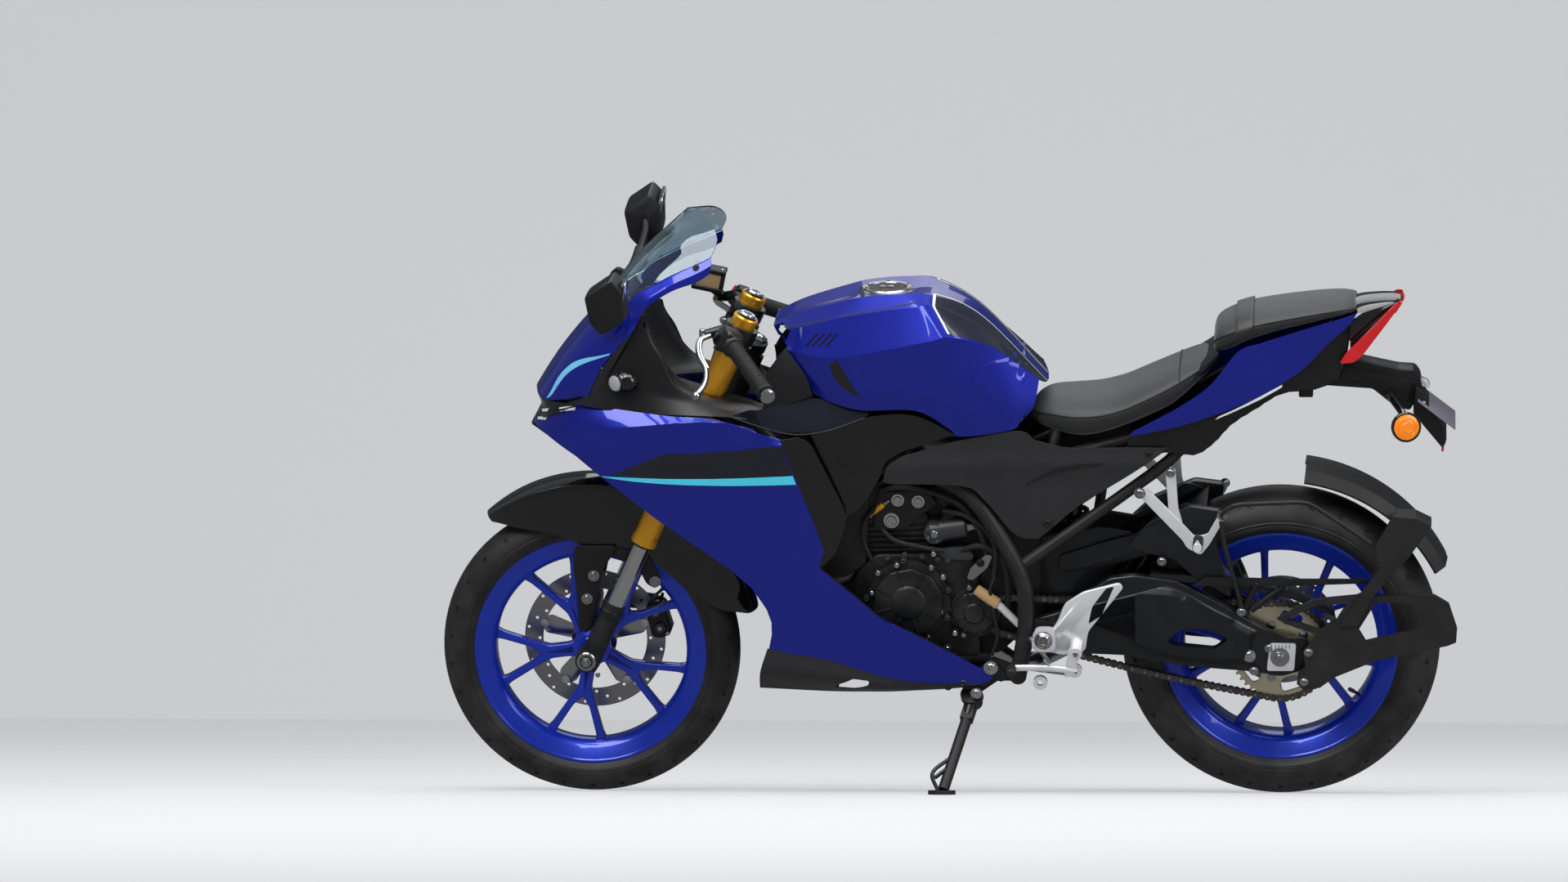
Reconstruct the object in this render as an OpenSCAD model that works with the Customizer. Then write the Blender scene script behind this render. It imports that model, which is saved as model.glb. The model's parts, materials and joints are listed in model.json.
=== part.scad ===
// Sport motorcycle with a half-faired body, standing on its side stand.
// Millimetres. The machine is laid out upright: +X to the rear, -Y to its
// left side, +Z up, x = 0 midway between the axles and z = 0 at the ground.
// parked() then leans it onto the side stand.

/* [Layout] */
// distance between the two axles
wheelbase = 1368; // [1200:1:1650]
// lean to the left on the side stand, degrees
lean = 15.2; // [10:0.1:18]
// steering head angle from the vertical, degrees
rake = 25; // [22:0.5:28]
// distance of the front axle ahead of the steering axis
axle_offset = 45; // [35:1:55]

/* [Front wheel] */
// outer radius of the front tyre
front_tyre_r = 296; // [240:1:360]
// section width of the front tyre
front_tyre_w = 100; // [80:1:125]
// radius of the front brake disc
front_disc_r = 141; // [115:1:170]
// diameter of the front axle
front_axle_d = 15; // [12:0.5:20]

/* [Rear wheel] */
// outer radius of the rear tyre
rear_tyre_r = 313; // [250:1:340]
// section width of the rear tyre
rear_tyre_w = 140; // [110:1:160]
// radius of the rear brake disc
rear_disc_r = 110; // [90:1:132]
// pitch radius of the rear sprocket
rear_sprocket_r = 96; // [80:1:116]
// diameter of the rear axle
rear_axle_d = 17; // [14:0.5:21]

/* [Fork and steering] */
// distance between the two fork legs
fork_spacing = 190; // [178:1:228]
// distance of the fork legs ahead of the steering axis
fork_offset = 40; // [32:1:46]
// diameter of the upper fork tubes
fork_outer_d = 50; // [42:1:56]
// diameter of the sliding fork tubes
fork_inner_d = 37; // [30:1:40]
// diameter of the steering stem
stem_d = 28; // [22:1:34]
// diameter of the grips
grip_d = 33; // [27:1:38]

/* [Body] */
// thickness of the fairing panels
panel_t = 4; // [3:0.2:5]
// scale of the fairing width
fairing_w = 1; // [0.9:0.01:1.1]
// diameter of the main frame tubes
frame_tube_d = 32; // [26:1:38]
// diameter of the fuel cap lid
cap_d = 74; // [60:1:88]

/* [Side stand] */
// diameter of the stand's leg
stand_leg_d = 22; // [18:0.5:26]
// diameter of the stand's pivot bolt
stand_bolt_d = 12; // [10:0.5:14]

/* [Hidden] */
$fn = 48;
// how far each end moves when the wheelbase changes
front_shift = -(wheelbase - 1368) / 2;
rear_shift = (wheelbase - 1368) / 2;
// crown radii of the tyres
front_crown = front_tyre_w * 0.52;
rear_crown = rear_tyre_w * 0.515;
// rise of the machine that brings the leaned rear tyre down to the ground
lift = rear_crown * (1 - cos(lean));
front_axle_z = front_tyre_r + (front_crown * (1 - cos(lean)) - lift) / cos(lean);
front_x = -684 + front_shift;
rear_x = 684 + rear_shift;
// the steering axis, measured up from its point level with the front axle
steer_base = [front_x + axle_offset * cos(rake) + 0.5, 0, 277];
// the whole machine is moved so that its origin is under the middle of it
origin_x = -24.995;
origin_y = 277.745;

// ---- helpers ----

function clamp01(t) = min(max(t, 0), 1);
function lerp(a, b, t) = a + (b - a) * t;
// x after a change of wheelbase: the middle stays, the ends move
function wx(x) = x + front_shift * clamp01((-x - 110) / 200)
    + rear_shift * clamp01((x - 150) / 330);
function w3(p) = [wx(p.x), p.y, p.z];
function flat(l) = [for (a = l) each a];
function volume(p, f) = [for (t = f) p[t[0]] * cross(p[t[1]], p[t[2]])]
    * [for (t = f) 1];
function turned(f) = [for (t = f) [t[2], t[1], t[0]]];

// leans the machine onto its stand
module parked() translate([origin_x, origin_y, lift]) rotate([lean, 0, 0]) children();
// a point on the ground, given in the upright layout
function from_ground(x, y, z) = [x, y * cos(lean) + (z - lift) * sin(lean),
    -y * sin(lean) + (z - lift) * cos(lean)];

module both() { children(); mirror([0, 1, 0]) children(); }

// round bar from p to q
module bar(p, q, d, fn = 32) {
    v = q - p;
    translate(p) rotate([0, acos(v.z / norm(v)), atan2(v.y, v.x)])
        cylinder(d = d, h = norm(v), $fn = fn);
}
// a path with each of its corners rounded off over a distance r
function eased(p, r, k = 2) = concat([p[0]], len(p) < 3 ? [] : flat([for (i = [1:len(p) - 2])
    let (u = p[i - 1] - p[i], v = p[i + 1] - p[i],
        a = p[i] + u / norm(u) * min(r, norm(u) * 0.45), b = p[i] + v / norm(v) * min(r, norm(v) * 0.45))
    [for (j = [0:k]) let (t = j / k) a * (1 - t) * (1 - t) + p[i] * 2 * t * (1 - t) + b * t * t]]),
    [p[len(p) - 1]]);
function square_to(v, t) = let (n = v - (v * t) * t) n / norm(n);
// puts its z axis along the line from p to q, starting at p
module along(p, q) let (v = q - p) translate(p) rotate([0, acos(v.z / norm(v)), atan2(v.y, v.x)]) children();
// bent round tube along a path
module bent(path, d, sides = 12, r = 40) {
    p = eased(path, r);
    n = len(p);
    t = [for (i = [0:n - 1]) let (v = p[min(i + 1, n - 1)] - p[max(i - 1, 0)]) v / norm(v)];
    u = [for (i = 0, f = square_to([0.31, 0.85, 0.42], t[0]); i < n; i = i + 1,
        f = i < n ? square_to(f, t[i]) : f) f];
    loft([for (i = [0:n - 1]) let (w = cross(t[i], u[i])) [for (k = [0:sides - 1])
        p[i] + d / 2 * (cos(360 * k / sides) * u[i] + sin(360 * k / sides) * w)]]);
}
// cylinder across the machine from y0 to y1
module cross_bar(x, z, y0, y1, d, fn = 32)
    translate([x, y1, z]) rotate([90, 0, 0]) cylinder(d = d, h = y1 - y0, $fn = fn);
// side-view outline given thickness from y0 to y1
module slab(pts, y0, y1)
    translate([0, y1, 0]) rotate([90, 0, 0]) linear_extrude(y1 - y0)
        polygon([for (p = pts) [wx(p.x), p.y]]);

// closed solid between two grids of points of the same size
module shell(a, b) {
    n = len(a); m = len(a[0]); k = n * m;
    top = flat([for (i = [0:n - 2], j = [0:m - 2])
        let (q = i * m + j) [[q, q + 1, q + m + 1], [q, q + m + 1, q + m]]]);
    low = [for (t = top) [t[2] + k, t[1] + k, t[0] + k]];
    rim = concat([for (j = [0:m - 2]) j], [for (i = [0:n - 2]) i * m + m - 1],
        [for (j = [m - 1:-1:1]) (n - 1) * m + j], [for (i = [n - 1:-1:1]) i * m]);
    side = flat([for (i = [0:len(rim) - 1]) let (p = rim[i], q = rim[(i + 1) % len(rim)])
        [[p, q + k, q], [p, p + k, q + k]]]);
    pts = concat(flat(a), flat(b));
    f = concat(top, low, side);
    polyhedron(pts, volume(pts, f) > 0 ? turned(f) : f);
}
// solid through closed rings of points
module loft(rings) {
    n = len(rings); m = len(rings[0]);
    mid = [for (r = [rings[0], rings[n - 1]]) [for (p = r) 1] * r / m];
    pts = concat(flat(rings), mid);
    f = concat(flat([for (i = [0:n - 2], j = [0:m - 1]) let (p = i * m + j, q = i * m + (j + 1) % m)
            [[p, q, q + m], [p, q + m, p + m]]]),
        [for (j = [0:m - 1]) [n * m, (j + 1) % m, j]],
        [for (j = [0:m - 1]) [n * m + 1, (n - 1) * m + j, (n - 1) * m + (j + 1) % m]]);
    polyhedron(pts, volume(pts, f) > 0 ? turned(f) : f);
}
// cross-section: half width w, from bottom b to top t, with power k for its roundness
function ring(x, w, b, t, k = 2.6, c = 24) = [for (i = [0:c - 1]) let (a = 360 * i / c,
    s = sin(a), u = cos(a)) [x, w * sign(u) * pow(abs(u), 2 / k),
    (b + t) / 2 + (t - b) / 2 * sign(s) * pow(abs(s), 2 / k)]];

// half widths of the fairing and of the middle and tail, by position
function fairing_half(x, z) = fairing_w
    * lookup(x, [[-800, 30], [-780, 75], [-740, 122], [-680, 165], [-600, 193], [-500, 208],
        [-400, 212], [-300, 205], [-200, 190], [-100, 176], [0, 164], [110, 152]])
    * lookup(z, [[235, 0.74], [262, 0.93], [330, 0.95], [450, 0.96], [600, 0.98], [700, 1],
        [790, 1], [840, 0.94], [900, 0.86], [960, 0.78], [1040, 0.68]]);
function body_half(x, z) =
    lookup(x, [[-260, 165], [-100, 152], [0, 146], [150, 134], [300, 130], [560, 122], [700, 108],
        [830, 88], [930, 62]])
    * lookup(z, [[520, 0.95], [650, 1], [800, 1], [1000, 0.94]]);
// thin panel on the left side between two edge curves [x, z]
module panel(a, b, n, t, kind = "fairing", in = 0) {
    g = [for (i = [0:len(a) - 1]) [for (j = [0:n]) let (p = lerp(a[i], b[i], j / n),
        y = (kind == "fairing" ? fairing_half(p.x, p.y) : body_half(p.x, p.y)) - in)
        [wx(p.x), -y, p.y]]];
    shell(g, [for (r = g) [for (q = r) q + [0, t, 0]]]);
}
// rounded panel across the nose from a centre line to an edge line, both sides
function bow(c, e, a) = [wx(lerp(c.x, e.x, 1 - cos(a))), e.y * sin(a), lerp(c.z, e.z, abs(a) / 90)];
module bowed(c, e, t, n = 16) {
    g = [for (i = [0:len(c) - 1]) [for (j = [0:n]) bow(c[i], e[i], 180 * j / n - 90)]];
    h = [for (i = [0:len(c) - 1]) [for (j = [0:n])
        bow(c[i] + [t, 0, -t / 3], e[i] + [t / 2, -t, 0], 180 * j / n - 90)]];
    shell(g, h);
}

// the frame that turns with the handlebars, z along the steering axis
module on_steering() translate(steer_base) rotate([0, rake, 0]) children();
module at_front_axle() translate([front_x, 0, front_axle_z]) rotate([90, 0, 0]) children();
module at_rear_axle() translate([rear_x, 0, rear_tyre_r]) rotate([90, 0, 0]) children();

// ---- wheels, drawn lying flat: z is across the machine, to its left ----

function arc(cx, cy, r, a0, a1, n) = [for (i = [0:n]) let (a = lerp(a0, a1, i / n))
    [cx + r * cos(a), cy + r * sin(a)]];
module tyre(r, w, crown, flange_r, rim_w) {
    cr = r - crown;
    rotate_extrude($fn = 96) polygon(concat(
        [[flange_r + 0.3, -rim_w - 1]], [[flange_r + 9, -w / 2 + 2]],
        arc(cr, 0, crown, -74, 74, 14),
        [[flange_r + 9, w / 2 - 2]], [[flange_r + 0.3, rim_w + 1]],
        [[flange_r + 0.3, rim_w - 4.4], [flange_r - 11, rim_w - 5.5], [flange_r - 11, rim_w - 17],
            [flange_r + 2, rim_w - 13]],
        arc(cr, 0, crown - 11, 62, -62, 8),
        [[flange_r + 2, 13 - rim_w], [flange_r - 11, 17 - rim_w], [flange_r - 11, 5.5 - rim_w],
            [flange_r + 0.3, 4.4 - rim_w]]));
}
module rim(flange_r, rim_w, spoke_r, hub_r, hub_l, hub_rt, bore, boss_l, boss_rt, boss_r) {
    h = [[flange_r, rim_w], [flange_r, rim_w - 4], [flange_r - 11.4, rim_w - 5],
        [flange_r - 11.4, rim_w - 19], [flange_r - 23, rim_w - 26], [flange_r - 23, 0]];
    g = [[spoke_r + 1, 0], [spoke_r + 3, rim_w - 22], [spoke_r + 14, rim_w - 8], [flange_r - 6, rim_w]];
    difference() {
        union() {
            rotate_extrude($fn = 96) polygon(concat([for (p = h) p],
                [for (i = [5:-1:0]) [h[i].x, -h[i].y]], [for (i = [3:-1:0]) [g[i].x, -g[i].y]],
                [for (p = g) p]));
            translate([0, 0, -hub_rt]) cylinder(r = hub_r, h = hub_rt + hub_l);
            translate([0, 0, -boss_rt]) cylinder(r = boss_r, h = boss_rt + boss_l);
            for (k = [0:4]) rotate([0, 0, 115 + 72 * k]) {
                translate([hub_r - 6, -13, -15]) cube([100 - hub_r, 26, 30]);
                for (s = [-1, 1]) let (u = [(spoke_r + 3) * cos(15.5) - 84, (spoke_r + 3) * sin(15.5) - 5])
                    translate([84, 5 * s, 0]) rotate([0, 0, s * atan2(u.y, u.x)])
                        translate([-4, -8, -12]) cube([norm(u) + 4, 16, 24]);
            }
        }
        translate([0, 0, -200]) cylinder(d = bore, h = 400);
    }
}

module front_tyre() color([0.06, 0.06, 0.06]) at_front_axle()
    tyre(front_tyre_r, front_tyre_w, front_crown, front_tyre_r - 65, 0.4 * front_tyre_w);
module front_rim() color([0.03, 0.1, 0.55]) at_front_axle()
    rim(front_tyre_r - 65, 0.4 * front_tyre_w, front_tyre_r - 108, 40, 32, 32, front_axle_d + 0.8, 46, 56, 26);
module front_disc() color([0.7, 0.7, 0.72]) at_front_axle() translate([0, 0, -62]) difference() {
    union() {
        difference() {
            cylinder(r = front_disc_r, h = 4, $fn = 72);
            translate([0, 0, -1]) cylinder(r = front_disc_r - 36, h = 6, $fn = 72);
        }
        for (a = [0:60:300]) rotate([0, 0, a]) translate([28, -9, 0]) cube([front_disc_r - 58, 18, 5]);
        translate([0, 0, 0]) cylinder(r = 38, h = 6);
    }
    translate([0, 0, -1]) cylinder(d = front_axle_d + 12, h = 9);
}
module rear_tyre() color([0.06, 0.06, 0.06]) at_rear_axle()
    tyre(rear_tyre_r, rear_tyre_w, rear_crown, rear_tyre_r - 82, 0.4 * rear_tyre_w);
module rear_rim() color([0.03, 0.1, 0.55]) at_rear_axle()
    rim(rear_tyre_r - 82, 0.4 * rear_tyre_w, rear_tyre_r - 125, 48, 50, 50, rear_axle_d + 0.8, 81, 76, 42);
module rear_disc() color([0.7, 0.7, 0.72]) at_rear_axle() translate([0, 0, -81]) difference() {
    union() {
        difference() {
            cylinder(r = rear_disc_r, h = 5, $fn = 72);
            translate([0, 0, -1]) cylinder(r = rear_disc_r - 34, h = 7, $fn = 72);
        }
        for (a = [0:72:288]) rotate([0, 0, a]) translate([30, -9, 0.6]) cube([rear_disc_r - 58, 18, 3.6]);
        translate([0, 0, -0.4]) cylinder(r = 40, h = 5.1);
    }
    translate([0, 0, -1]) cylinder(d = rear_axle_d + 10, h = 9);
}
module rear_sprocket() color([0.75, 0.68, 0.45]) at_rear_axle() translate([0, 0, 81]) difference() {
    cylinder(r = rear_sprocket_r - 3, h = 5, $fn = 72);
    translate([0, 0, -1]) cylinder(d = rear_axle_d + 12, h = 9);
    for (a = [0:45:315]) rotate([0, 0, a]) translate([66, 0, -1]) cylinder(r = 12, h = 9, $fn = 24);
}

// ---- front fork and steering ----

// height of parts along the steering axis
clip_s = 733;
module leg() translate([-fork_offset, -fork_spacing / 2, 0]) children();
module fork_outer_tubes() color([0.85, 0.55, 0.08]) on_steering() both() leg() difference() {
    union() {
        translate([0, 0, 275]) cylinder(d = fork_outer_d, h = 490);
        translate([0, 0, 262]) cylinder(d = fork_outer_d + 2, h = 50);
    }
    translate([0, 0, 261]) cylinder(d = fork_inner_d + 0.6, h = 300);
}
module fork_inner_tubes() color([0.75, 0.75, 0.77]) on_steering() both() leg() {
    translate([0, 0, 105]) cylinder(d = fork_inner_d, h = 440);
}
axle_s = [(front_x - steer_base.x) * cos(rake) - (front_axle_z - 277) * sin(rake), 0,
    (front_x - steer_base.x) * sin(rake) + (front_axle_z - 277) * cos(rake)];
module front_axle() color([0.12, 0.12, 0.13]) {
    // lower fork legs with their axle clamps, and the axle through them
    difference() {
        union() {
            on_steering() both() leg() translate([0, 0, axle_s.z + 18]) difference() {
                cylinder(d = fork_inner_d + 5, h = 108 - axle_s.z);
                translate([0, 0, 86.9 - axle_s.z]) cylinder(d = fork_inner_d + 0.2, h = 60);
            }
            both() cross_bar(front_x, front_axle_z, -fork_spacing / 2 - 19, -fork_spacing / 2 + 19, 46);
        }
        cross_bar(front_x, front_axle_z, -140, 140, front_axle_d);
    }
    difference() {
        union() {
            cross_bar(front_x, front_axle_z, -fork_spacing / 2 - 25, fork_spacing / 2 + 25, front_axle_d);
            cross_bar(front_x, front_axle_z, -fork_spacing / 2 - 27, -fork_spacing / 2 - 19, 26);
            cross_bar(front_x, front_axle_z, fork_spacing / 2 + 19, fork_spacing / 2 + 27, 26, 6);
        }
        cross_bar(front_x, front_axle_z, -140, 140, 8);
    }
}
module fork_clamps() color([0.12, 0.12, 0.13]) on_steering() difference() {
    union() {
        for (s = [[505, 34], [690, 24]]) translate([0, 0, s[0]]) {
            for (y = [-1, 1]) translate([-fork_offset, y * fork_spacing / 2, 0]) cylinder(d = fork_outer_d + 18, h = s[1]);
            translate([-fork_offset - 18, -fork_spacing / 2, 0]) cube([36, fork_spacing, s[1]]);
            cylinder(d = 64, h = s[1]);
            translate([-fork_offset, -28, 0]) cube([fork_offset, 56, s[1]]);
        }
        translate([0, 0, 506]) cylinder(d = stem_d, h = 232);
    }
    for (y = [-1, 1]) translate([-fork_offset, y * fork_spacing / 2, 500]) cylinder(d = fork_outer_d, h = 250);
    translate([0, 0, 500]) cylinder(d = 16, h = 60);
}
module handlebars() color([0.1, 0.1, 0.11]) both() {
    p = [-364, -fork_spacing / 2, 966] + [front_shift, 0, 0];
    q = [-352, -234, 937] + [front_shift, 0, 0];
    r = [-397, -150, 974] + [front_shift, 0, 0];
    e = [-299, -334, 893] + [front_shift, 0, 0];
    difference() {
        union() {
            on_steering() leg() translate([0, 0, clip_s - 14]) cylinder(d = fork_outer_d + 12, h = 26);
            bar(p + [-12, -18, -4], r, 24);
        }
        on_steering() leg() translate([0, 0, clip_s - 60]) cylinder(d = fork_outer_d, h = 140);
    }
    // bar tube with its open end, lever perch and switch housing, turned about the bar's axis
    along(r, e) rotate_extrude($fn = 40) polygon([[0, -6], [11.5, -6], [11.5, 28], [16, 28], [16, 46], [11.5, 46],
        [11.5, 50], [20, 50], [20, 88], [11, 90], [11, norm(e - r)], [6, norm(e - r)], [6, norm(e - r) - 28],
        [0, norm(e - r) - 28]]);
    bent([lerp(r, e, 0.16), [-432, -182, 965] + [front_shift, 0, 0], [-455, -250, 925] + [front_shift, 0, 0],
        [-429, -322, 885] + [front_shift, 0, 0]], 11);
}
module grips() color([0.08, 0.08, 0.08]) both() {
    r = [-397, -150, 974] + [front_shift, 0, 0];
    e = [-299, -334, 893] + [front_shift, 0, 0];
    difference() { bar(lerp(r, e, 0.42), lerp(r, e, 0.96), grip_d); bar(lerp(r, e, 0.3), e, 22); }
}
module front_mudguard() color([0.05, 0.05, 0.06]) {
    r = front_tyre_r + 42;
    at_front_axle() {
        rotate([0, 0, 14]) rotate_extrude(angle = 108, $fn = 96)
            polygon([[r, 0], [r - 4, 32], [r - 14, 52], [r - 40, 62], [r - 40, 59], [r - 16, 49],
                [r - 7, 31], [r - 3, 0], [r - 7, -31], [r - 16, -49], [r - 40, -59], [r - 40, -62],
                [r - 14, -52], [r - 4, -32]]);
        // side plates down to the fork legs
        for (s = [-1, 1]) translate([0, 0, s * 62 - 2]) linear_extrude(4) polygon([[-40, r - 32],
            [110, r - 42], [134, 230], [128, 165], [60, 152], [10, 160], [-12, 220]]);
        for (s = [-1, 1], b = [[18, 170], [118, 180]]) translate([b.x, b.y, s * 68.8 - 5]) cylinder(d = 16, h = 10);
    }
}
module front_caliper() color([0.1, 0.1, 0.1]) at_front_axle() difference() {
    union() {
        rotate([0, 0, 15]) translate([98, -44, -84]) cube([62, 88, 44]);
        rotate([0, 0, 15]) translate([60, -10, -73.5]) cube([60, 40, 9]);
        translate([30, 14, -73.5]) cube([50, 60, 9]);
    }
    translate([0, 0, -64]) cylinder(r = front_disc_r + 8, h = 8);
    translate([0, 0, -60]) cylinder(r = 88, h = 60);
}
module brake_hose() color([0.05, 0.05, 0.05])
    bent([for (p = [[-520, 128, 345], [-515, 140, 420], [-540, 142, 560], [-500, 140, 700],
        [-452, 138, 820], [-425, 140, 900], [-410, 150, 940]]) p + [front_shift, 0, 0]], 9, 10);

// ---- frame, engine and running gear ----

head = [for (s = [545, 684]) steer_base + s * [sin(rake), 0, cos(rake)]];
pivot = [225, 352];
module main_frame() color([0.08, 0.08, 0.09]) difference() {
    union() {
        bar(head[0], head[1], stem_d + 24);
        both() {
            // top rails, down tubes and pivot plates
            bent([lerp(head[0], head[1], 0.75) + [8, 8, 0], w3([-255, -92, 800]), w3([-60, -112, 705]),
                w3([82, -116, 640]), w3([160, -134, 520]), w3([190, -139, 450]), w3([184, -139, 330]),
                w3([168, -134, 282])], frame_tube_d);
            bent([lerp(head[0], head[1], 0.2) + [6, 8, 0], w3([-260, -90, 690]), w3([-190, -104, 640]),
                w3([-60, -112, 705])], frame_tube_d - 6);
            slab([[200, 330], [255, 330], [262, 375], [205, 390]], -139, -129);
            // seat rails
            bent([w3([100, -116, 636]), w3([240, -108, 706]), w3([470, -98, 768]), w3([640, -86, 872]),
                w3([800, -62, 930])], 26);
            bent([w3([186, -128, 500]), w3([330, -112, 600]), w3([470, -100, 700]), w3([600, -92, 846])], 24);
        }
        cross_bar(wx(170), 274, -139, 139, 34);
        cross_bar(wx(238), 704, -108, 108, 26);
        cross_bar(wx(640), 872, -86, 86, 22);
        cross_bar(wx(330), 600, -112, 112, 20);
        slab([[60, 246], [100, 241], [130, 262], [160, 262], [160, 290], [120, 305], [84, 275]], -130, -104);
        stand_frame() translate([0, 0, 12]) cylinder(d = 44, h = 12);
        stand_frame() translate([0, 0, -12]) cylinder(d = stand_bolt_d, h = 30);
        stand_frame() translate([0, 0, -15]) cylinder(d = 22, h = 6, $fn = 6);
    }
    translate(steer_base) rotate([0, rake, 0]) translate([0, 0, 500]) cylinder(d = stem_d + 1.2, h = 240);
    cross_bar(wx(pivot.x), pivot.y, -200, 200, 18.4);
}
module engine() color([0.1, 0.1, 0.11]) {
    slab([[-150, 330], [-150, 470], [-110, 510], [60, 512], [94, 488], [94, 302], [-70, 302]], -98, 98);
    slab([[90, 490], [112, 480], [160, 430], [162, 330], [130, 302], [90, 302]], -72, 98);
    slab([[-140, 505], [-176, 655], [-30, 690], [12, 505]], -88, 88);
    translate([-45, -98, 412]) rotate([90, 0, 0]) {
        cylinder(r = 82, h = 24, $fn = 64);
        cylinder(r = 48, h = 36, $fn = 48);
    }
    translate([92, -98, 392]) rotate([90, 0, 0]) { cylinder(r = 54, h = 20); cylinder(r = 36, h = 30); }
    translate([-30, 98, 400]) rotate([-90, 0, 0]) { cylinder(r = 92, h = 26, $fn = 64); cylinder(r = 50, h = 36); }
    translate([80, 98, 400]) rotate([-90, 0, 0]) cylinder(r = 56, h = 20);
}
module radiator() color([0.14, 0.14, 0.15]) {
    translate([wx(-300), -130, 470]) rotate([0, 12, 0]) cube([26, 260, 172]);
}
module exhaust() color([0.3, 0.3, 0.31]) {
    // two header pipes from the cylinder head, a collector and the silencer
    for (y = [-42, 42]) bent([[-188, y, 600], [-225, y, 560], [-222, y, 420], [-196, y * 0.8, 320],
        [-162, y * 0.4, 284]], 34);
    bent([[-178, 0, 284], [-140, 20, 277], [60, 70, 279], [106, 78, 279], [130, 88, 255], [152, 98, 236],
        [190, 112, 236], w3([250, 165, 250]), w3([306, 196, 276])], 36, 12, 12);
    along(w3([296, 196, 272]), w3([604, 196, 404])) rotate_extrude() polygon([[0, 0], [30, 0], [52, 50], [54, 300],
        [44, 332], [26, 332], [26, 290], [0, 290]]);
}
module swingarm() color([0.09, 0.09, 0.1]) difference() {
    union() {
        both() slab([[209, 325], [209, 384], [240, 392], [350, 466], [486, 460], [600, 395], [668, 352],
            [728, 344], [744, 320], [728, 286], [632, 276], [500, 290], [377, 315], [240, 318]], -125, -100);
        cross_bar(wx(pivot.x), pivot.y, -68, 102, 56);
        cross_bar(wx(pivot.x), pivot.y, -102, -66, 34);
        slab([[240, 345], [240, 388], [262, 400], [326, 430], [332, 420], [332, 330]], -70, 102);
        cross_bar(wx(pivot.x), pivot.y, -164, 164, 18);
    }
    both() slab([[480, 352], [490, 372], [560, 362], [590, 345], [575, 326], [490, 334]], -130, -95);
    cross_bar(rear_x, rear_tyre_r, -130, 130, rear_axle_d);
}
module rear_axle() color([0.7, 0.7, 0.72]) {
    difference() {
        union() {
            cross_bar(rear_x, rear_tyre_r, -138, 138, rear_axle_d);
            both() cross_bar(rear_x, rear_tyre_r, -99.5, -87.5, rear_axle_d + 10);
            cross_bar(rear_x, rear_tyre_r, -142, -131, 30, 6);
            cross_bar(rear_x, rear_tyre_r, 131, 142, 30, 6);
        }
        cross_bar(rear_x, rear_tyre_r, -150, 150, 9);
    }
    both() difference() {
        translate([rear_x - 22, -131, rear_tyre_r - 22]) cube([44, 6, 44]);
        cross_bar(rear_x, rear_tyre_r, -150, -100, rear_axle_d);
    }
    // threaded bosses for a paddock stand
    both() difference() {
        cross_bar(rear_x - 60, rear_tyre_r, -138, -125, 26);
        cross_bar(rear_x - 60, rear_tyre_r, -140, -120, 8);
    }
}
module shock_absorber() color([0.12, 0.12, 0.13]) {
    p = w3([318, 0, 432]);
    q = w3([242, 0, 690]);
    bar(p, q, 30);
    for (i = [0:6]) bar(lerp(p, q, 0.16 + i * 0.1), lerp(p, q, 0.2 + i * 0.1), 62);
}
// outline of a belt round two circles
function belt(a, ra, b, rb, n = 14) = let (d = norm(b - a), t = atan2(b.y - a.y, b.x - a.x),
    f = acos((ra - rb) / d)) concat(arc(a.x, a.y, ra, t + f, t + 360 - f, n), arc(b.x, b.y, rb, t - f, t + f, n));
module drive_chain() color([0.2, 0.19, 0.18]) {
    a = [145, 384];
    b = [rear_x, rear_tyre_r];
    for (y = [-92, -80.2]) translate([0, y + 3.6, 0]) rotate([90, 0, 0]) linear_extrude(3.6) difference() {
        polygon(belt(a, 46, b, rear_sprocket_r + 8));
        polygon(belt(a, 32, b, rear_sprocket_r - 6));
    }
    for (x = [215:60:515]) {
        cross_bar(x, lerp(423, rear_tyre_r + rear_sprocket_r + 2, (x - 145) / (rear_x - 145)), -90, -78, 9, 16);
        cross_bar(x, lerp(345, rear_tyre_r - rear_sprocket_r, (x - 145) / (rear_x - 145)), -90, -78, 9, 16);
    }
}
module chain_guard() color([0.06, 0.06, 0.06]) {
    slab([[430, 476], [520, 470], [700, 440], [790, 400], [790, 392], [700, 430], [520, 460], [430, 466]], -118, -74);
}
module rear_mudguard() color([0.05, 0.05, 0.06]) {
    // fender behind the tyre, and the inner fender ahead of it
    r = rear_tyre_r + 50;
    at_rear_axle() rotate([0, 0, 27]) rotate_extrude(angle = 55, $fn = 96)
        polygon([[r, -62], [r + 5, 0], [r, 62], [r - 20, 80], [r - 24, 78], [r - 4, 60], [r + 1, 0], [r - 4, -60],
            [r - 24, -78], [r - 20, -80]]);
    at_rear_axle() rotate([0, 0, 128]) rotate_extrude(angle = 32, $fn = 96)
        polygon([[r - 20, -60], [r - 20, 60], [r - 23, 60], [r - 23, -60]]);
}
// bracket bolted to the left end of the swingarm: a loop round the wheel's edge and an arm that holds the fender
module wheel_guard() color([0.06, 0.06, 0.06]) {
    difference() {
        slab([[679, 393], [713, 413], [750, 432], [841, 441], [986, 441], [1014, 424], [1030, 374], [1028, 347],
            [1012, 340], [871, 309], [790, 275], [762, 254], [730, 250], [717, 262], [719, 280], [734, 296],
            [730, 328], [745, 345], [758, 362], [713, 377]], -147, -131);
        slab([[698, 393], [756, 422], [816, 425], [795, 391], [764, 370]], -160, -120);
        slab([[872, 428], [952, 424], [957, 379], [947, 371], [852, 348], [838, 372]], -160, -120);
    }
    slab([[800, 380], [841, 441], [880, 500], [872, 540], [905, 602], [950, 598], [980, 583], [936, 520],
        [912, 497], [866, 440], [836, 383]], -153, -135);
    slab([[900, 560], [910, 600], [950, 598], [980, 583], [950, 545]], -140, -80.3);
}
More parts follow.
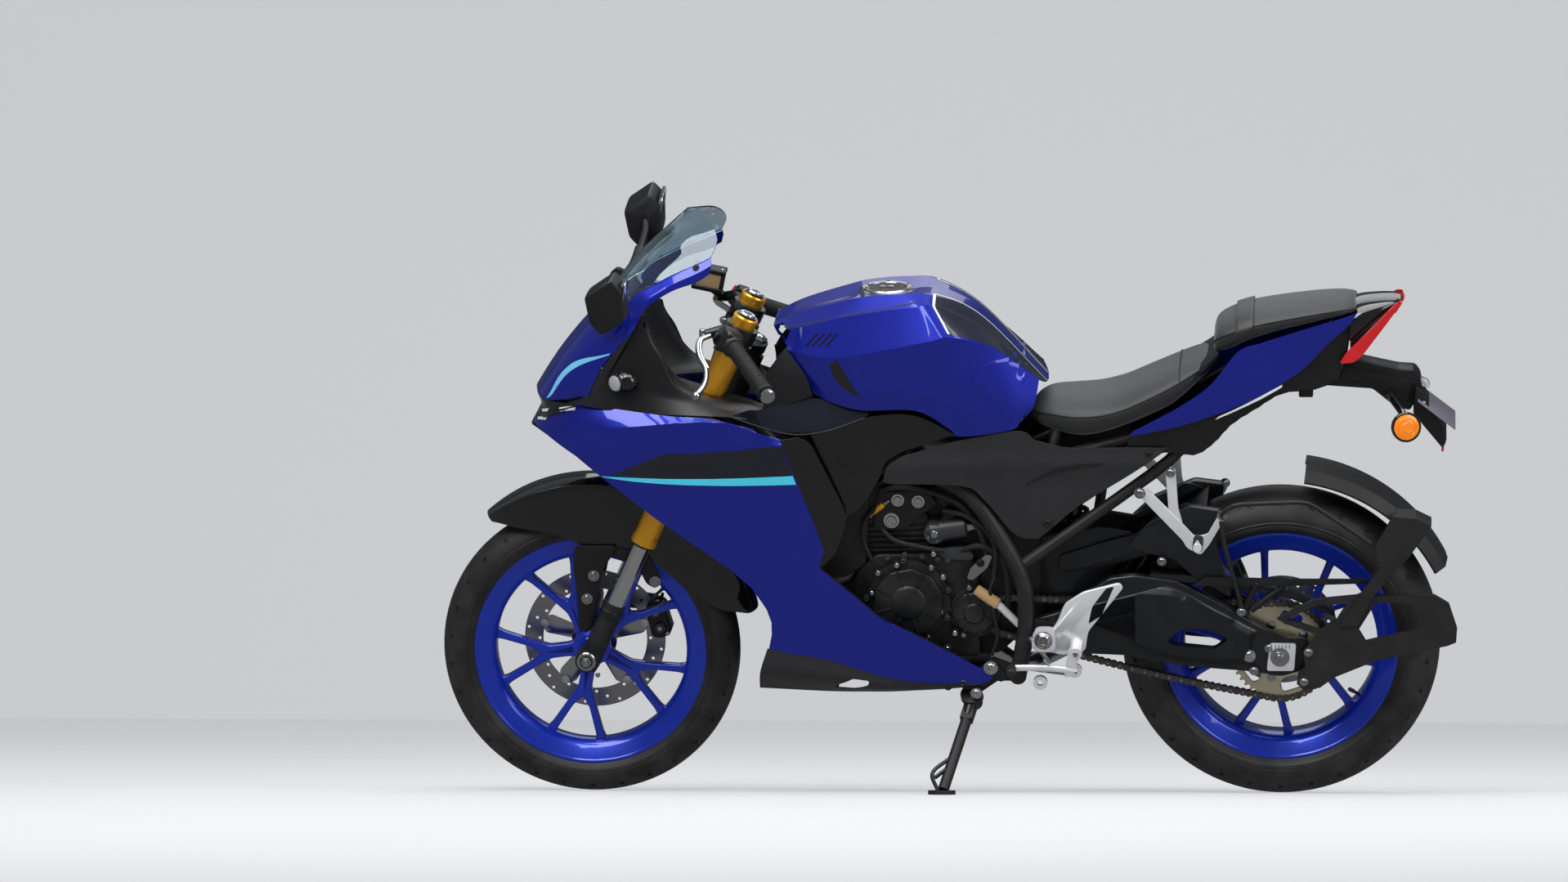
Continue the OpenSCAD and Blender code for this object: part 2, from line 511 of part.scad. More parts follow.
module guard_rails() color([0.1, 0.1, 0.1]) {
    // wheel guard rods on the left, from the passenger peg to the bracket
    bent([w3([569, -136, 600]), w3([592, -144, 624]), w3([740, -144, 630]), w3([862, -144, 546])], 9, 10, 20);
    bent([w3([612, -129, 404]), w3([577, -144, 541]), w3([571, -144, 590])], 9, 10, 20);
}
module rear_caliper() color([0.1, 0.1, 0.1]) at_rear_axle() difference() {
    rotate([0, 0, 128]) translate([78, -34, -99.5]) cube([52, 68, 34]);
    translate([0, 0, -84]) cylinder(r = rear_disc_r + 6, h = 11);
    translate([0, 0, -79]) cylinder(r = 86, h = 60);
}

// ---- body ----

tank = [[-294, 56, 876, 930], [-266, 88, 854, 958], [-228, 118, 838, 984], [-190, 136, 828, 1000], [-93, 146, 814, 1022],
    [7, 148, 812, 1029], [67, 142, 780, 1012], [107, 134, 772, 982], [147, 122, 770, 938], [207, 98, 785, 866],
    [232, 70, 800, 832]];
module fuel_tank() color([0.03, 0.1, 0.6]) difference() {
    union() {
        loft([for (s = tank) ring(wx(s[0]), s[1], s[2], s[3])]);
        translate([cap_x, 0, 990]) cylinder(d = cap_d + 34, h = 36);
    }
    translate([cap_x, 0, 1018]) cylinder(d = cap_d + 3, h = 40);
    translate([cap_x, 0, 950]) cylinder(d = 46, h = 100);
    translate([cap_x - cap_d / 2 - 12, -16, 1014]) cube([22, 32, 40]);
}
cap_x = -85;
cap_hinge = [cap_x - cap_d / 2 - 2, 0, 1029];
module fuel_cap() color([0.1, 0.1, 0.1]) {
    translate([cap_x, 0, 1019]) cylinder(d = cap_d, h = 9);
    translate([cap_x - cap_d / 2 - 4, -12, 1023]) cube([20, 24, 5]);
    translate(cap_hinge + [0, 12, 0]) rotate([90, 0, 0]) cylinder(d = 7, h = 24);
}
module rider_seat() color([0.1, 0.1, 0.11]) loft([for (s = [[237, 78, 762, 806], [252, 104, 758, 816],
    [333, 134, 758, 818], [413, 136, 782, 848], [480, 124, 822, 878], [535, 100, 866, 898],
    [552, 80, 882, 900]]) ring(wx(s[0]), s[1], s[2], s[3], 3.4)]);
module pillion_seat() color([0.1, 0.1, 0.11]) loft([for (s = [[566, 86, 912, 940], [580, 100, 914, 962],
    [640, 108, 944, 990], [720, 106, 966, 1000], [800, 96, 984, 1006], [826, 84, 990, 1004]])
    ring(wx(s[0]), s[1], s[2], s[3], 3.2)]);
module tail_panels() color([0.03, 0.1, 0.6]) {
    both() panel([[392, 758], [470, 768], [547, 792], [653, 838], [700, 878], [745, 918], [790, 955]],
        [[400, 764], [470, 806], [547, 852], [620, 932], [690, 955], [760, 976], [825, 993]], 3, panel_t, "body");
    // black tail end
    loft([for (s = [[832, 80, 925, 1002], [850, 76, 935, 1003], [905, 58, 985, 1003], [918, 44, 992, 1002]])
        ring(wx(s[0]), s[1], s[2], s[3], 3)]);
}
module tail_light() color([0.6, 0.02, 0.02]) loft([for (s = [[802, 62, 884, 890], [812, 66, 884, 905],
    [828, 70, 890, 921], [850, 66, 912, 932], [905, 52, 970, 982]]) ring(wx(s[0]), s[1], s[2], s[3], 3)]);
module plate_holder() color([0.07, 0.07, 0.07]) {
    slab([[690, 842], [700, 872], [795, 880], [945, 862], [950, 838], [905, 802], [880, 828], [760, 832]], -34, 34);
    // number plate
    translate([wx(950), 0, 815]) rotate([0, -42, 0]) translate([0, -85, -110]) cube([3, 170, 150]);
    cross_bar(wx(918), 790, -110, 110, 14);
}
module turn_signals() color([0.95, 0.45, 0.02]) {
    both() cross_bar(wx(930), 782, -166, -138, 56);
    both() cross_bar(wx(930), 790, -138, -110.2, 16);
    both() bar(w3([-640, -190, 880]), w3([-612, -236, 874]), 34);
}
nose_c = [[-794, 0, 753], [-780, 0, 832], [-735, 0, 900], [-686, 0, 959], [-645, 0, 1003]];
nose_e = [[-700, 156, 838], [-666, 172, 866], [-615, 174, 905], [-582, 162, 950], [-562, 142, 990]];
module nose_fairing() color([0.03, 0.1, 0.6]) {
    bowed(nose_c, nose_e, panel_t + 1);
    both() shell([for (p = [[-585, 1026], [-500, 1056], [-424, 1084]]) [[wx(p.x), -146, p.y - 16], [wx(p.x), -138, p.y]]],
        [for (p = [[-585, 1026], [-500, 1056], [-424, 1084]]) [[wx(p.x), -141, p.y - 16], [wx(p.x), -133, p.y]]]);
}
module headlight() color([0.8, 0.85, 0.9])
    translate([wx(-752), 0, 790]) rotate([0, 90, 0]) cylinder(d = 60, h = 60);
module windscreen() color([0.7, 0.8, 0.9, 0.4])
    bowed([[-638, 0, 1008], [-600, 0, 1052], [-535, 0, 1118], [-466, 0, 1172]],
        [[-560, 136, 1010], [-520, 134, 1044], [-470, 128, 1072], [-421, 104, 1100]], 3);
module side_fairings() color([0.03, 0.1, 0.6]) both()
    panel([[-768, 783], [-735, 762], [-700, 737], [-653, 703], [-600, 662], [-533, 610], [-480, 570], [-420, 512],
            [-373, 463], [-313, 397], [-307, 370], [-313, 331], [-200, 318], [-133, 292], [-67, 272], [13, 263],
            [100, 261]],
        [[-764, 791], [-735, 797], [-690, 812], [-600, 815], [-449, 809], [-330, 790], [-262, 762], [-235, 650], [-205, 560],
            [-215, 510], [-150, 442], [-93, 397], [-45, 362], [0, 333], [53, 317], [93, 306], [110, 285],
            [127, 268]], 6, panel_t);
// one U-shaped section of the belly pan, inset by t
function belly(p, t) = let (w = fairing_half(p[0], p[1]) - t, b = fairing_half(p[0], p[2]) * 0.74 - t)
    [for (k = [[-w, p[1]], [-w * 0.99, lerp(p[1], p[2], 0.55)], [-b, p[2] + 3 + t], [-b * 0.5, p[2] + t],
        [0, p[2] + t], [b * 0.5, p[2] + t], [b, p[2] + 3 + t], [w * 0.99, lerp(p[1], p[2], 0.55)], [w, p[1]]])
        [wx(p[0]), k[0], k[1]]];
module belly_pan() color([0.09, 0.09, 0.1]) {
    // ends ahead of the stand's bracket
    s = [[-325, 329, 254], [-200, 316, 238], [-133, 290, 236], [-67, 270, 234], [13, 261, 246], [60, 260, 251]];
    shell([for (p = s) belly(p, 0)], [for (p = s) belly(p, 3)]);
}
module inner_panels() color([0.04, 0.04, 0.05]) both() {
    // dark panel between the fairing and the tank, and the one below it
    panel([[-320, 812], [-260, 768], [-160, 778]], [[-306, 838], [-240, 830], [-130, 806]], 2, panel_t, "body");
    panel([[-237, 762], [-200, 660], [-174, 603]], [[-20, 800], [-90, 700], [-120, 632]], 3, panel_t, "body", 6);
    panel([[-640, 838], [-560, 816], [-470, 816]], [[-560, 960], [-500, 930], [-440, 850]], 2, panel_t, "fairing", 8);
}
module side_covers() color([0.13, 0.13, 0.14]) both()
    panel([[-85, 674], [0, 664], [76, 657], [130, 602], [173, 548], [213, 552], [347, 638], [440, 716]],
        [[-53, 724], [10, 740], [63, 752], [150, 764], [200, 752], [255, 738], [370, 736], [470, 732]], 3, panel_t, "body");
module dashboard() color([0.05, 0.05, 0.05])
    translate([wx(-545), -90, 975]) rotate([0, 35, 0]) cube([60, 180, 26]);
module mirrors() color([0.05, 0.05, 0.05]) both() {
    bar(w3([-590, -150, 1012]), w3([-618, -360, 1078]), 14);
    hull() for (d = [[-338, 1112], [-436, 1118], [-446, 1078], [-350, 1070]])
        translate([wx(-632), d[0], d[1]]) rotate([0, 90, 0]) cylinder(d = 12, h = 34, $fn = 20);
}
module footrests() color([0.75, 0.75, 0.76]) both() {
    difference() {
        slab([[253, 383], [262, 426], [300, 452], [372, 470], [378, 460], [330, 400], [306, 370], [302, 332],
            [262, 328], [204, 334], [202, 368], [240, 374]], -164, -154);
        cross_bar(wx(pivot.x), pivot.y, -170, -120, 18.4);
    }
    bar(w3([288, -158, 348]), w3([288, -240, 348]), 24);
    bent([w3([270, -169, 292]), w3([210, -169, 300]), w3([157, -169, 299])], 12);
    slab([[262, 280], [280, 284], [296, 338], [272, 340]], -173, -163);
    // passenger pegs and their hangers
    slab([[409, 652], [473, 693], [480, 680], [530, 545], [512, 535], [486, 600]], -128, -120);
    bar(w3([524, -126, 560]), w3([524, -205, 560]), 24);
}

// ---- side stand ----

stand_pivot = [79, -112, 216];
stand_foot = from_ground(26, -298, 0);
stand_leg = (stand_foot - stand_pivot) / norm(stand_foot - stand_pivot);
stand_axis = let (a = cross(stand_leg, [1, -0.05, 0.05])) a / norm(a);
module stand_frame() {
    u = stand_leg;
    v = cross(stand_axis, u);
    w = stand_axis;
    multmatrix([[u.x, v.x, w.x, stand_pivot.x], [u.y, v.y, w.y, stand_pivot.y], [u.z, v.z, w.z, stand_pivot.z],
        [0, 0, 0, 1]]) children();
}
module side_stand() color([0.06, 0.06, 0.07]) {
    difference() {
        union() {
            stand_frame() {
                translate([0, 0, -8]) cylinder(d = 38, h = 19);
                translate([0, -12, -8]) cube([50, 24, 19]);
                rotate([0, 90, 0]) translate([0, 0, 40]) cylinder(d = stand_leg_d, h = norm(stand_foot - stand_pivot) - 50);
            }
            translate(stand_foot) rotate([-lean, 0, 0]) cylinder(d = 54, h = 8);
        }
        stand_frame() translate([0, 0, -40]) cylinder(d = stand_bolt_d + 0.8, h = 90);
    }
}

parked() {
    main_frame();
    engine();
    radiator();
    exhaust();
    swingarm();
    rear_axle();
    shock_absorber();
    drive_chain();
    chain_guard();
    rear_mudguard();
    wheel_guard();
    guard_rails();
    rear_caliper();
    fuel_tank();
    rider_seat();
    pillion_seat();
    tail_panels();
    tail_light();
    plate_holder();
    turn_signals();
    nose_fairing();
    headlight();
    windscreen();
    side_fairings();
    belly_pan();
    inner_panels();
    side_covers();
    dashboard();
    mirrors();
    footrests();
    fork_clamps();
    fork_outer_tubes();
    fork_inner_tubes();
    front_axle();
    handlebars();
    grips();
    front_mudguard();
    front_caliper();
    brake_hose();
    front_tyre();
    front_rim();
    front_disc();
    rear_tyre();
    rear_rim();
    rear_disc();
    rear_sprocket();
    side_stand();
    fuel_cap();
}
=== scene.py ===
"""Looks of a parked sport motorcycle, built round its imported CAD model.

Every shape is drawn in millimetres with the machine upright: x runs to the
rear, -y is the machine's left side, z is up, x = 0 lies midway between the
axles and z = 0 is the ground. The layout then leans each piece onto the side
stand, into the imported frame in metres.
"""

import json
import logging
import math
from dataclasses import dataclass, field
from enum import Enum
from typing import Callable, Sequence

import bmesh
import bpy
from mathutils import Matrix, Vector


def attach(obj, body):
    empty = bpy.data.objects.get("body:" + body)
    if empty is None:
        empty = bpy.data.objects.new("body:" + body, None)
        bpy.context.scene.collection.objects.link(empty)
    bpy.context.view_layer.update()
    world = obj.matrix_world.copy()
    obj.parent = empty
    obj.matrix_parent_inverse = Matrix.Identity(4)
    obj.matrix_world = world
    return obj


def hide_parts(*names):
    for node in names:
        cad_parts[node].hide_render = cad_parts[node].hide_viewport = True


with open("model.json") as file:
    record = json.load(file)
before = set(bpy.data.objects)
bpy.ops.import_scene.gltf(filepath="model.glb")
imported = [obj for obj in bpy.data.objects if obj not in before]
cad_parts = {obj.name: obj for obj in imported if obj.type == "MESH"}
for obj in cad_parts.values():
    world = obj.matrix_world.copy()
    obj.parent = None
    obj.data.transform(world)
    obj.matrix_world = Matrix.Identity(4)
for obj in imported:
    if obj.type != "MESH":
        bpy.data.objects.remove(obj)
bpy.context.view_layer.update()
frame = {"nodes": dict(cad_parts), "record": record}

log = logging.getLogger("motorcycle")
logging.basicConfig(level=logging.INFO, format="%(message)s")

Point = tuple[float, float, float]
Flat = tuple[float, float]
Colour = tuple[float, float, float]


# --------------------------------------------------------------------------
# Layout and curves
# --------------------------------------------------------------------------


@dataclass(frozen=True)
class Layout:
    """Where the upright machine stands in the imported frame.

    Args:
        lean: lean onto the side stand, in radians.
        origin: packed position of the upright layout's own origin, in metres.
        rake: angle of the steering axis from the vertical, in radians.
    """

    lean: float
    origin: Point
    rake: float

    @classmethod
    def from_joints(cls, joints: Sequence[dict]) -> "Layout":
        """Reads the lean and the origin from the wheel and steering joints.

        Args:
            joints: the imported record's joints.

        Returns:
            The layout of this machine.
        """
        by_name = {j["name"]: j for j in joints}
        rear = by_name["rear_wheel_spin"]
        _, c, s = rear["axis"]
        lean = math.atan2(s, c)
        hub = Vector(rear["pos_m"])
        upright = Vector((0.684, 0.0, 0.313))
        origin = hub - Matrix.Rotation(lean, 3, "X") @ upright
        ax = Vector(by_name["steering_turn"]["axis"])
        up = Matrix.Rotation(-lean, 3, "X") @ ax
        return cls(lean, tuple(origin), math.atan2(up.x, up.z))

    def park(self) -> Matrix:
        """The matrix from upright millimetres to packed metres."""
        return (
            Matrix.Translation(self.origin)
            @ Matrix.Rotation(self.lean, 4, "X")
            @ Matrix.Scale(0.001, 4)
        )


LAYOUT = Layout.from_joints(frame["record"]["behaviour"]["joints"])
PARK = LAYOUT.park()


def lerp(a: float, b: float, t: float) -> float:
    """The value a fraction t of the way from a to b."""
    return a + (b - a) * t


def smooth_knots(knots: Sequence[Flat], x: float) -> float:
    """A smooth curve through knots, read at x.

    Args:
        knots: pairs of position and value, in rising order of position.
        x: where to read it.

    Returns:
        The value there, held level past both ends.
    """
    if x <= knots[0][0]:
        return knots[0][1]
    if x >= knots[-1][0]:
        return knots[-1][1]
    i = max(k for k in range(len(knots) - 1) if knots[k][0] <= x)
    (x0, y0), (x1, y1) = knots[i], knots[i + 1]
    h = x1 - x0

    def slope(k: int) -> float:
        """The slope at knot k, level at a turn so the curve never overshoots."""
        if k in (0, len(knots) - 1):
            j = min(k, len(knots) - 2)
            return (knots[j + 1][1] - knots[j][1]) / (knots[j + 1][0] - knots[j][0])
        a = (knots[k][1] - knots[k - 1][1]) / (knots[k][0] - knots[k - 1][0])
        b = (knots[k + 1][1] - knots[k][1]) / (knots[k + 1][0] - knots[k][0])
        return 0.0 if a * b <= 0 else 2 * a * b / (a + b)

    t = (x - x0) / h
    return (
        y0 * (1 + 2 * t) * (1 - t) ** 2
        + slope(i) * h * t * (1 - t) ** 2
        + y1 * t * t * (3 - 2 * t)
        + slope(i + 1) * h * t * t * (t - 1)
    )


class Line:
    """A smooth line through points, broken at its corners.

    Args:
        points: the points, of two or three numbers each.
        corners: indices of the points where the line turns sharply.
    """

    def __init__(self, points: Sequence[Sequence[float]], corners: Sequence[int] = ()) -> None:
        self.points = [tuple(float(c) for c in p) for p in points]
        self.corners = set(corners) | {0, len(points) - 1}

    def at(self, t: float) -> tuple[float, ...]:
        """The point a fraction t of the way along, counted in control points."""
        n = len(self.points) - 1
        s = min(max(t, 0.0), 1.0) * n
        i = min(int(s), n - 1)
        u = s - i
        a, b = self.points[i], self.points[i + 1]
        before = a if i in self.corners else self.points[i - 1]
        after = b if i + 1 in self.corners else self.points[i + 2]
        out = []
        for p, q, r, w in zip(before, a, b, after):
            m0 = (r - p) / (1 if i in self.corners else 2)
            m1 = (w - q) / (1 if i + 1 in self.corners else 2)
            out.append(
                q * (1 + 2 * u) * (1 - u) ** 2
                + m0 * u * (1 - u) ** 2
                + r * u * u * (3 - 2 * u)
                + m1 * u * u * (u - 1)
            )
        return tuple(out)

    def run(self, steps: int) -> list[tuple[float, ...]]:
        """The line as steps + 1 points."""
        return [self.at(k / steps) for k in range(steps + 1)]


def turned(direction: Vector) -> Matrix:
    """A rotation that brings the z axis onto a direction."""
    return Vector((0, 0, 1)).rotation_difference(direction.normalized()).to_matrix().to_4x4()


# --------------------------------------------------------------------------
# Finishes
# --------------------------------------------------------------------------


class Texture(Enum):
    """The small-scale surface that a finish has."""

    SMOOTH = "smooth"
    FLAKE = "flake"
    PEBBLE = "pebble"
    CAST = "cast"
    BRUSHED = "brushed"
    TURNED = "turned"


def new_group(name: str, inputs: dict[str, float], outputs: Sequence[str]) -> bpy.types.NodeTree:
    """A shader node group with a Coordinates input.

    Args:
        name: the group's name.
        inputs: its value inputs and their defaults.
        outputs: its value outputs.

    Returns:
        The empty group with its two end nodes, named "in" and "out".
    """
    tree = bpy.data.node_groups.new(name, "ShaderNodeTree")
    tree.interface.new_socket("Coordinates", in_out="INPUT", socket_type="NodeSocketVector")
    for key, value in inputs.items():
        tree.interface.new_socket(key, in_out="INPUT", socket_type="NodeSocketFloat").default_value = value
    for key in outputs:
        tree.interface.new_socket(key, in_out="OUTPUT", socket_type="NodeSocketFloat")
    tree.nodes.new("NodeGroupInput").name = "in"
    tree.nodes.new("NodeGroupOutput").name = "out"
    return tree


def noise(tree: bpy.types.NodeTree, coords, scale: float, detail: float = 3.0, kind: str = "noise"):
    """A noise or cell texture in a node tree.

    Args:
        tree: the tree it is added to.
        coords: the socket its coordinates come from.
        scale: its scale, per metre.
        detail: its detail, for noise.
        kind: "noise" or "cells".

    Returns:
        The socket its value comes out of.
    """
    if kind == "cells":
        tex = tree.nodes.new("ShaderNodeTexVoronoi")
        out = tex.outputs["Distance"]
    else:
        tex = tree.nodes.new("ShaderNodeTexNoise")
        tex.inputs["Detail"].default_value = detail
        out = tex.outputs["Fac"]
    tex.inputs["Scale"].default_value = scale
    tree.links.new(coords, tex.inputs["Vector"])
    return out


def calc(tree: bpy.types.NodeTree, op: str, a, b, clamp: bool = False):
    """A Math node on two sockets or numbers; returns its output socket."""
    node = tree.nodes.new("ShaderNodeMath")
    node.operation = op
    node.use_clamp = clamp
    for socket, value in zip(node.inputs, (a, b)):
        if isinstance(value, (int, float)):
            socket.default_value = value
        else:
            tree.links.new(value, socket)
    return node.outputs[0]


def surface_group(texture: Texture) -> bpy.types.NodeTree:
    """The shared group that gives a texture's height and its blotches.

    Args:
        texture: which small-scale surface.

    Returns:
        A group with outputs Height and Blotch, both about 0 to 1.
    """
    name = "surface_" + texture.value
    if name in bpy.data.node_groups:
        return bpy.data.node_groups[name]
    tree = new_group(name, {"Fine": 400.0}, ("Height", "Blotch"))
    ends = tree.nodes["in"].outputs, tree.nodes["out"].inputs
    coords = ends[0]["Coordinates"]
    fine = {
        Texture.SMOOTH: ("noise", 60.0, 2.0),
        Texture.FLAKE: ("cells", 2200.0, 0.0),
        Texture.PEBBLE: ("cells", 1100.0, 0.0),
        Texture.CAST: ("noise", 900.0, 4.0),
        Texture.BRUSHED: ("noise", 500.0, 2.0),
        Texture.TURNED: ("noise", 500.0, 2.0),
    }[texture]
    at = coords
    if texture is Texture.BRUSHED:
        stretch = tree.nodes.new("ShaderNodeMapping")
        stretch.inputs["Scale"].default_value = (0.06, 1.0, 1.0)
        tree.links.new(coords, stretch.inputs["Vector"])
        at = stretch.outputs[0]
    height = noise(tree, at, fine[1], fine[2], fine[0])
    tree.links.new(height, ends[1]["Height"])
    broad = noise(tree, coords, 7.0, 4.0)
    mid = noise(tree, coords, 46.0, 3.0)
    mixed = calc(tree, "MULTIPLY_ADD", broad, 0.6)
    mixed.node.inputs[2].default_value = 0.0
    total = calc(tree, "ADD", mixed, calc(tree, "MULTIPLY", mid, 0.4), clamp=True)
    tree.links.new(total, ends[1]["Blotch"])
    return tree


def dust_group() -> bpy.types.NodeTree:
    """The shared group that gives how much road dust lies on a surface.

    Returns:
        A group with input Amount and output Dust, thickest near the ground.
    """
    name = "road_dust"
    if name in bpy.data.node_groups:
        return bpy.data.node_groups[name]
    tree = new_group(name, {"Amount": 0.1}, ("Dust",))
    ends = tree.nodes["in"].outputs, tree.nodes["out"].inputs
    split = tree.nodes.new("ShaderNodeSeparateXYZ")
    tree.links.new(ends[0]["Coordinates"], split.inputs[0])
    low = calc(tree, "SUBTRACT", 0.75, split.outputs["Z"], clamp=True)
    specks = calc(tree, "SUBTRACT", noise(tree, ends[0]["Coordinates"], 22.0, 6.0), 0.42, clamp=True)
    spread = calc(tree, "MULTIPLY", calc(tree, "ADD", low, 0.25), calc(tree, "MULTIPLY", specks, 4.0), clamp=True)
    tree.links.new(calc(tree, "MULTIPLY", spread, ends[0]["Amount"], clamp=True), ends[1]["Dust"])
    return tree


@dataclass(frozen=True)
class Finish:
    """A surface finish, made into a material once.

    Args:
        name: the material's name.
        colour: its colour, linear.
        metallic: how metallic it is.
        rough: its roughness.
        coat: weight of its clear coat.
        texture: its small-scale surface.
        bump: depth of that surface, in millimetres.
        mottle: how far the colour varies.
        gloss_spread: how far the roughness varies.
        dust: how much road dust it shows.
        clear: how much light it lets through.
        glow: strength of its own light; on a part that is no lamp, such as the rear reflector, it is a painted glow.
        sheen: its cloth sheen.
        ior: its index of refraction.
    """

    name: str
    colour: Colour
    metallic: float = 0.0
    rough: float = 0.5
    coat: float = 0.0
    texture: Texture = Texture.SMOOTH
    bump: float = 0.0
    mottle: float = 0.1
    gloss_spread: float = 0.06
    dust: float = 0.0
    clear: float = 0.0
    glow: float = 0.0
    sheen: float = 0.0
    ior: float = 1.5

    def material(self) -> bpy.types.Material:
        """The finish's material, built on first use."""
        if self.name in bpy.data.materials:
            return bpy.data.materials[self.name]
        mat = bpy.data.materials.new(self.name)
        mat.use_nodes = True
        tree = mat.node_tree
        shader = tree.nodes["Principled BSDF"]
        where = tree.nodes.new("ShaderNodeTexCoord").outputs["Object"]
        surface = tree.nodes.new("ShaderNodeGroup")
        surface.node_tree = surface_group(self.texture)
        tree.links.new(where, surface.inputs["Coordinates"])
        blotch = surface.outputs["Blotch"]
        tint = tree.nodes.new("ShaderNodeMix")
        tint.data_type = "RGBA"
        dark = tuple(c * (1 - self.mottle) for c in self.colour)
        lightest = tuple(min(1.0, c * (1 + self.mottle)) for c in self.colour)
        tint.inputs["A"].default_value = (*dark, 1)
        tint.inputs["B"].default_value = (*lightest, 1)
        tree.links.new(blotch, tint.inputs["Factor"])
        colour = tint.outputs["Result"]
        rough = calc(tree, "MULTIPLY_ADD", blotch, self.gloss_spread * 2)
        rough.node.inputs[2].default_value = self.rough - self.gloss_spread
        if self.dust > 0:
            dust = tree.nodes.new("ShaderNodeGroup")
            dust.node_tree = dust_group()
            dust.inputs["Amount"].default_value = self.dust
            tree.links.new(where, dust.inputs["Coordinates"])
            dusty = tree.nodes.new("ShaderNodeMix")
            dusty.data_type = "RGBA"
            dusty.inputs["B"].default_value = (0.30, 0.27, 0.23, 1)
            tree.links.new(dust.outputs["Dust"], dusty.inputs["Factor"])
            tree.links.new(colour, dusty.inputs["A"])
            colour = dusty.outputs["Result"]
            rough = calc(tree, "ADD", rough, calc(tree, "MULTIPLY", dust.outputs["Dust"], 0.4), clamp=True)
        tree.links.new(colour, shader.inputs["Base Color"])
        tree.links.new(rough, shader.inputs["Roughness"])
        shader.inputs["Metallic"].default_value = self.metallic
        shader.inputs["IOR"].default_value = self.ior
        shader.inputs["Coat Weight"].default_value = self.coat
        shader.inputs["Coat Roughness"].default_value = 0.03
        shader.inputs["Sheen Weight"].default_value = self.sheen
        shader.inputs["Transmission Weight"].default_value = self.clear
        if self.glow > 0:
            shader.inputs["Emission Color"].default_value = (*self.colour, 1)
            shader.inputs["Emission Strength"].default_value = self.glow
        if self.bump > 0:
            bump = tree.nodes.new("ShaderNodeBump")
            bump.inputs["Strength"].default_value = 1.0
            bump.inputs["Distance"].default_value = self.bump / 1000
            tree.links.new(surface.outputs["Height"], bump.inputs["Height"])
            tree.links.new(bump.outputs["Normal"], shader.inputs["Normal"])
        return mat


BLUE = Finish("metallic_blue_paint", (0.004, 0.014, 0.36), 0.62, 0.34, 1.0, Texture.FLAKE, 0.012, 0.12)
WHEEL_BLUE = Finish("wheel_blue_paint", (0.003, 0.032, 0.52), 0.45, 0.28, 0.9, Texture.FLAKE, 0.01, 0.15, dust=0.03)
NAVY_BLACK = Finish("navy_black_paint", (0.006, 0.008, 0.018), 0.2, 0.22, 1.0, Texture.SMOOTH, 0.0, 0.2)
CYAN = Finish("cyan_stripe", (0.05, 0.60, 0.80), 0.0, 0.3, 0.8, mottle=0.05)
PALE_CYAN = Finish("pale_stripe", (0.16, 0.50, 0.75), 0.0, 0.3, 0.8, mottle=0.05)
GLOSS_BLACK = Finish("gloss_black_plastic", (0.004, 0.004, 0.005), 0.0, 0.12, 0.9, mottle=0.3, dust=0.0)
SATIN_BLACK = Finish("satin_black_plastic", (0.007, 0.007, 0.008), 0.0, 0.36, 0.0, Texture.PEBBLE, 0.05, 0.2,
    dust=0.02)
MATT_BLACK = Finish("matt_black_plastic", (0.011, 0.011, 0.012), 0.0, 0.55, 0.0, Texture.PEBBLE, 0.08, 0.2, dust=0.03)
MATT_GREY = Finish("matt_grey_plastic", (0.019, 0.019, 0.021), 0.0, 0.46, 0.0, Texture.PEBBLE, 0.06, 0.15, dust=0.02)
FRAME_BLACK = Finish("frame_black_paint", (0.009, 0.010, 0.013), 0.3, 0.33, 0.30, Texture.CAST, 0.02, 0.15, dust=0.03)
ENGINE_BLACK = Finish("engine_black", (0.018, 0.019, 0.021), 0.55, 0.42, 0.0, Texture.CAST, 0.18, 0.35, 0.1, 0.15)
ENGINE_GREY = Finish("engine_grey", (0.075, 0.078, 0.085), 0.7, 0.4, 0.0, Texture.CAST, 0.15, 0.3, 0.1, 0.1)
SILVER_CAST = Finish("cast_aluminium", (0.80, 0.80, 0.82), 0.45, 0.36, 0.15, Texture.CAST, 0.06, 0.08)
STEEL = Finish("bright_steel", (0.55, 0.55, 0.56), 1.0, 0.22, 0.0, Texture.BRUSHED, 0.02, 0.12)
DISC_STEEL = Finish("brake_disc_steel", (0.48, 0.48, 0.49), 1.0, 0.33, 0.0, Texture.TURNED, 0.05, 0.18)
CHROME = Finish("hard_chrome", (0.80, 0.80, 0.82), 1.0, 0.10, 0.0, mottle=0.03, gloss_spread=0.02)
GOLD = Finish("gold_anodised", (1.0, 0.46, 0.03), 0.70, 0.28, 0.3, Texture.SMOOTH, 0.0, 0.06)
SPROCKET_GOLD = Finish("sprocket_plating", (0.78, 0.72, 0.50), 0.85, 0.36, 0.0, Texture.CAST, 0.05, 0.15)
CHAIN_STEEL = Finish("chain_steel", (0.15, 0.14, 0.13), 0.9, 0.36, 0.0, Texture.CAST, 0.05, 0.3)
RUBBER = Finish("soft_rubber", (0.012, 0.012, 0.012), 0.0, 0.62, 0.0, Texture.PEBBLE, 0.06, 0.2)
TYRE = Finish("tyre_rubber", (0.014, 0.014, 0.015), 0.0, 0.5, 0.0, Texture.CAST, 0.10, 0.12, 0.1, 0.07)
SEAT = Finish("seat_cover", (0.012, 0.013, 0.016), 0.0, 0.50, 0.0, Texture.PEBBLE, 0.14, 0.2, sheen=0.25)
SEAT_SIDE = Finish("seat_side_cover", (0.013, 0.013, 0.014), 0.0, 0.45, 0.0, Texture.PEBBLE, 0.10, 0.2, sheen=0.15)
SCREEN = Finish("tinted_screen", (0.62, 0.78, 0.86), 0.0, 0.02, 0.0, mottle=0.0, gloss_spread=0.0, clear=1.0,
    ior=1.49)
LENS = Finish("clear_lens", (0.86, 0.88, 0.90), 0.0, 0.05, 0.0, mottle=0.02, gloss_spread=0.01, clear=0.6, ior=1.5)
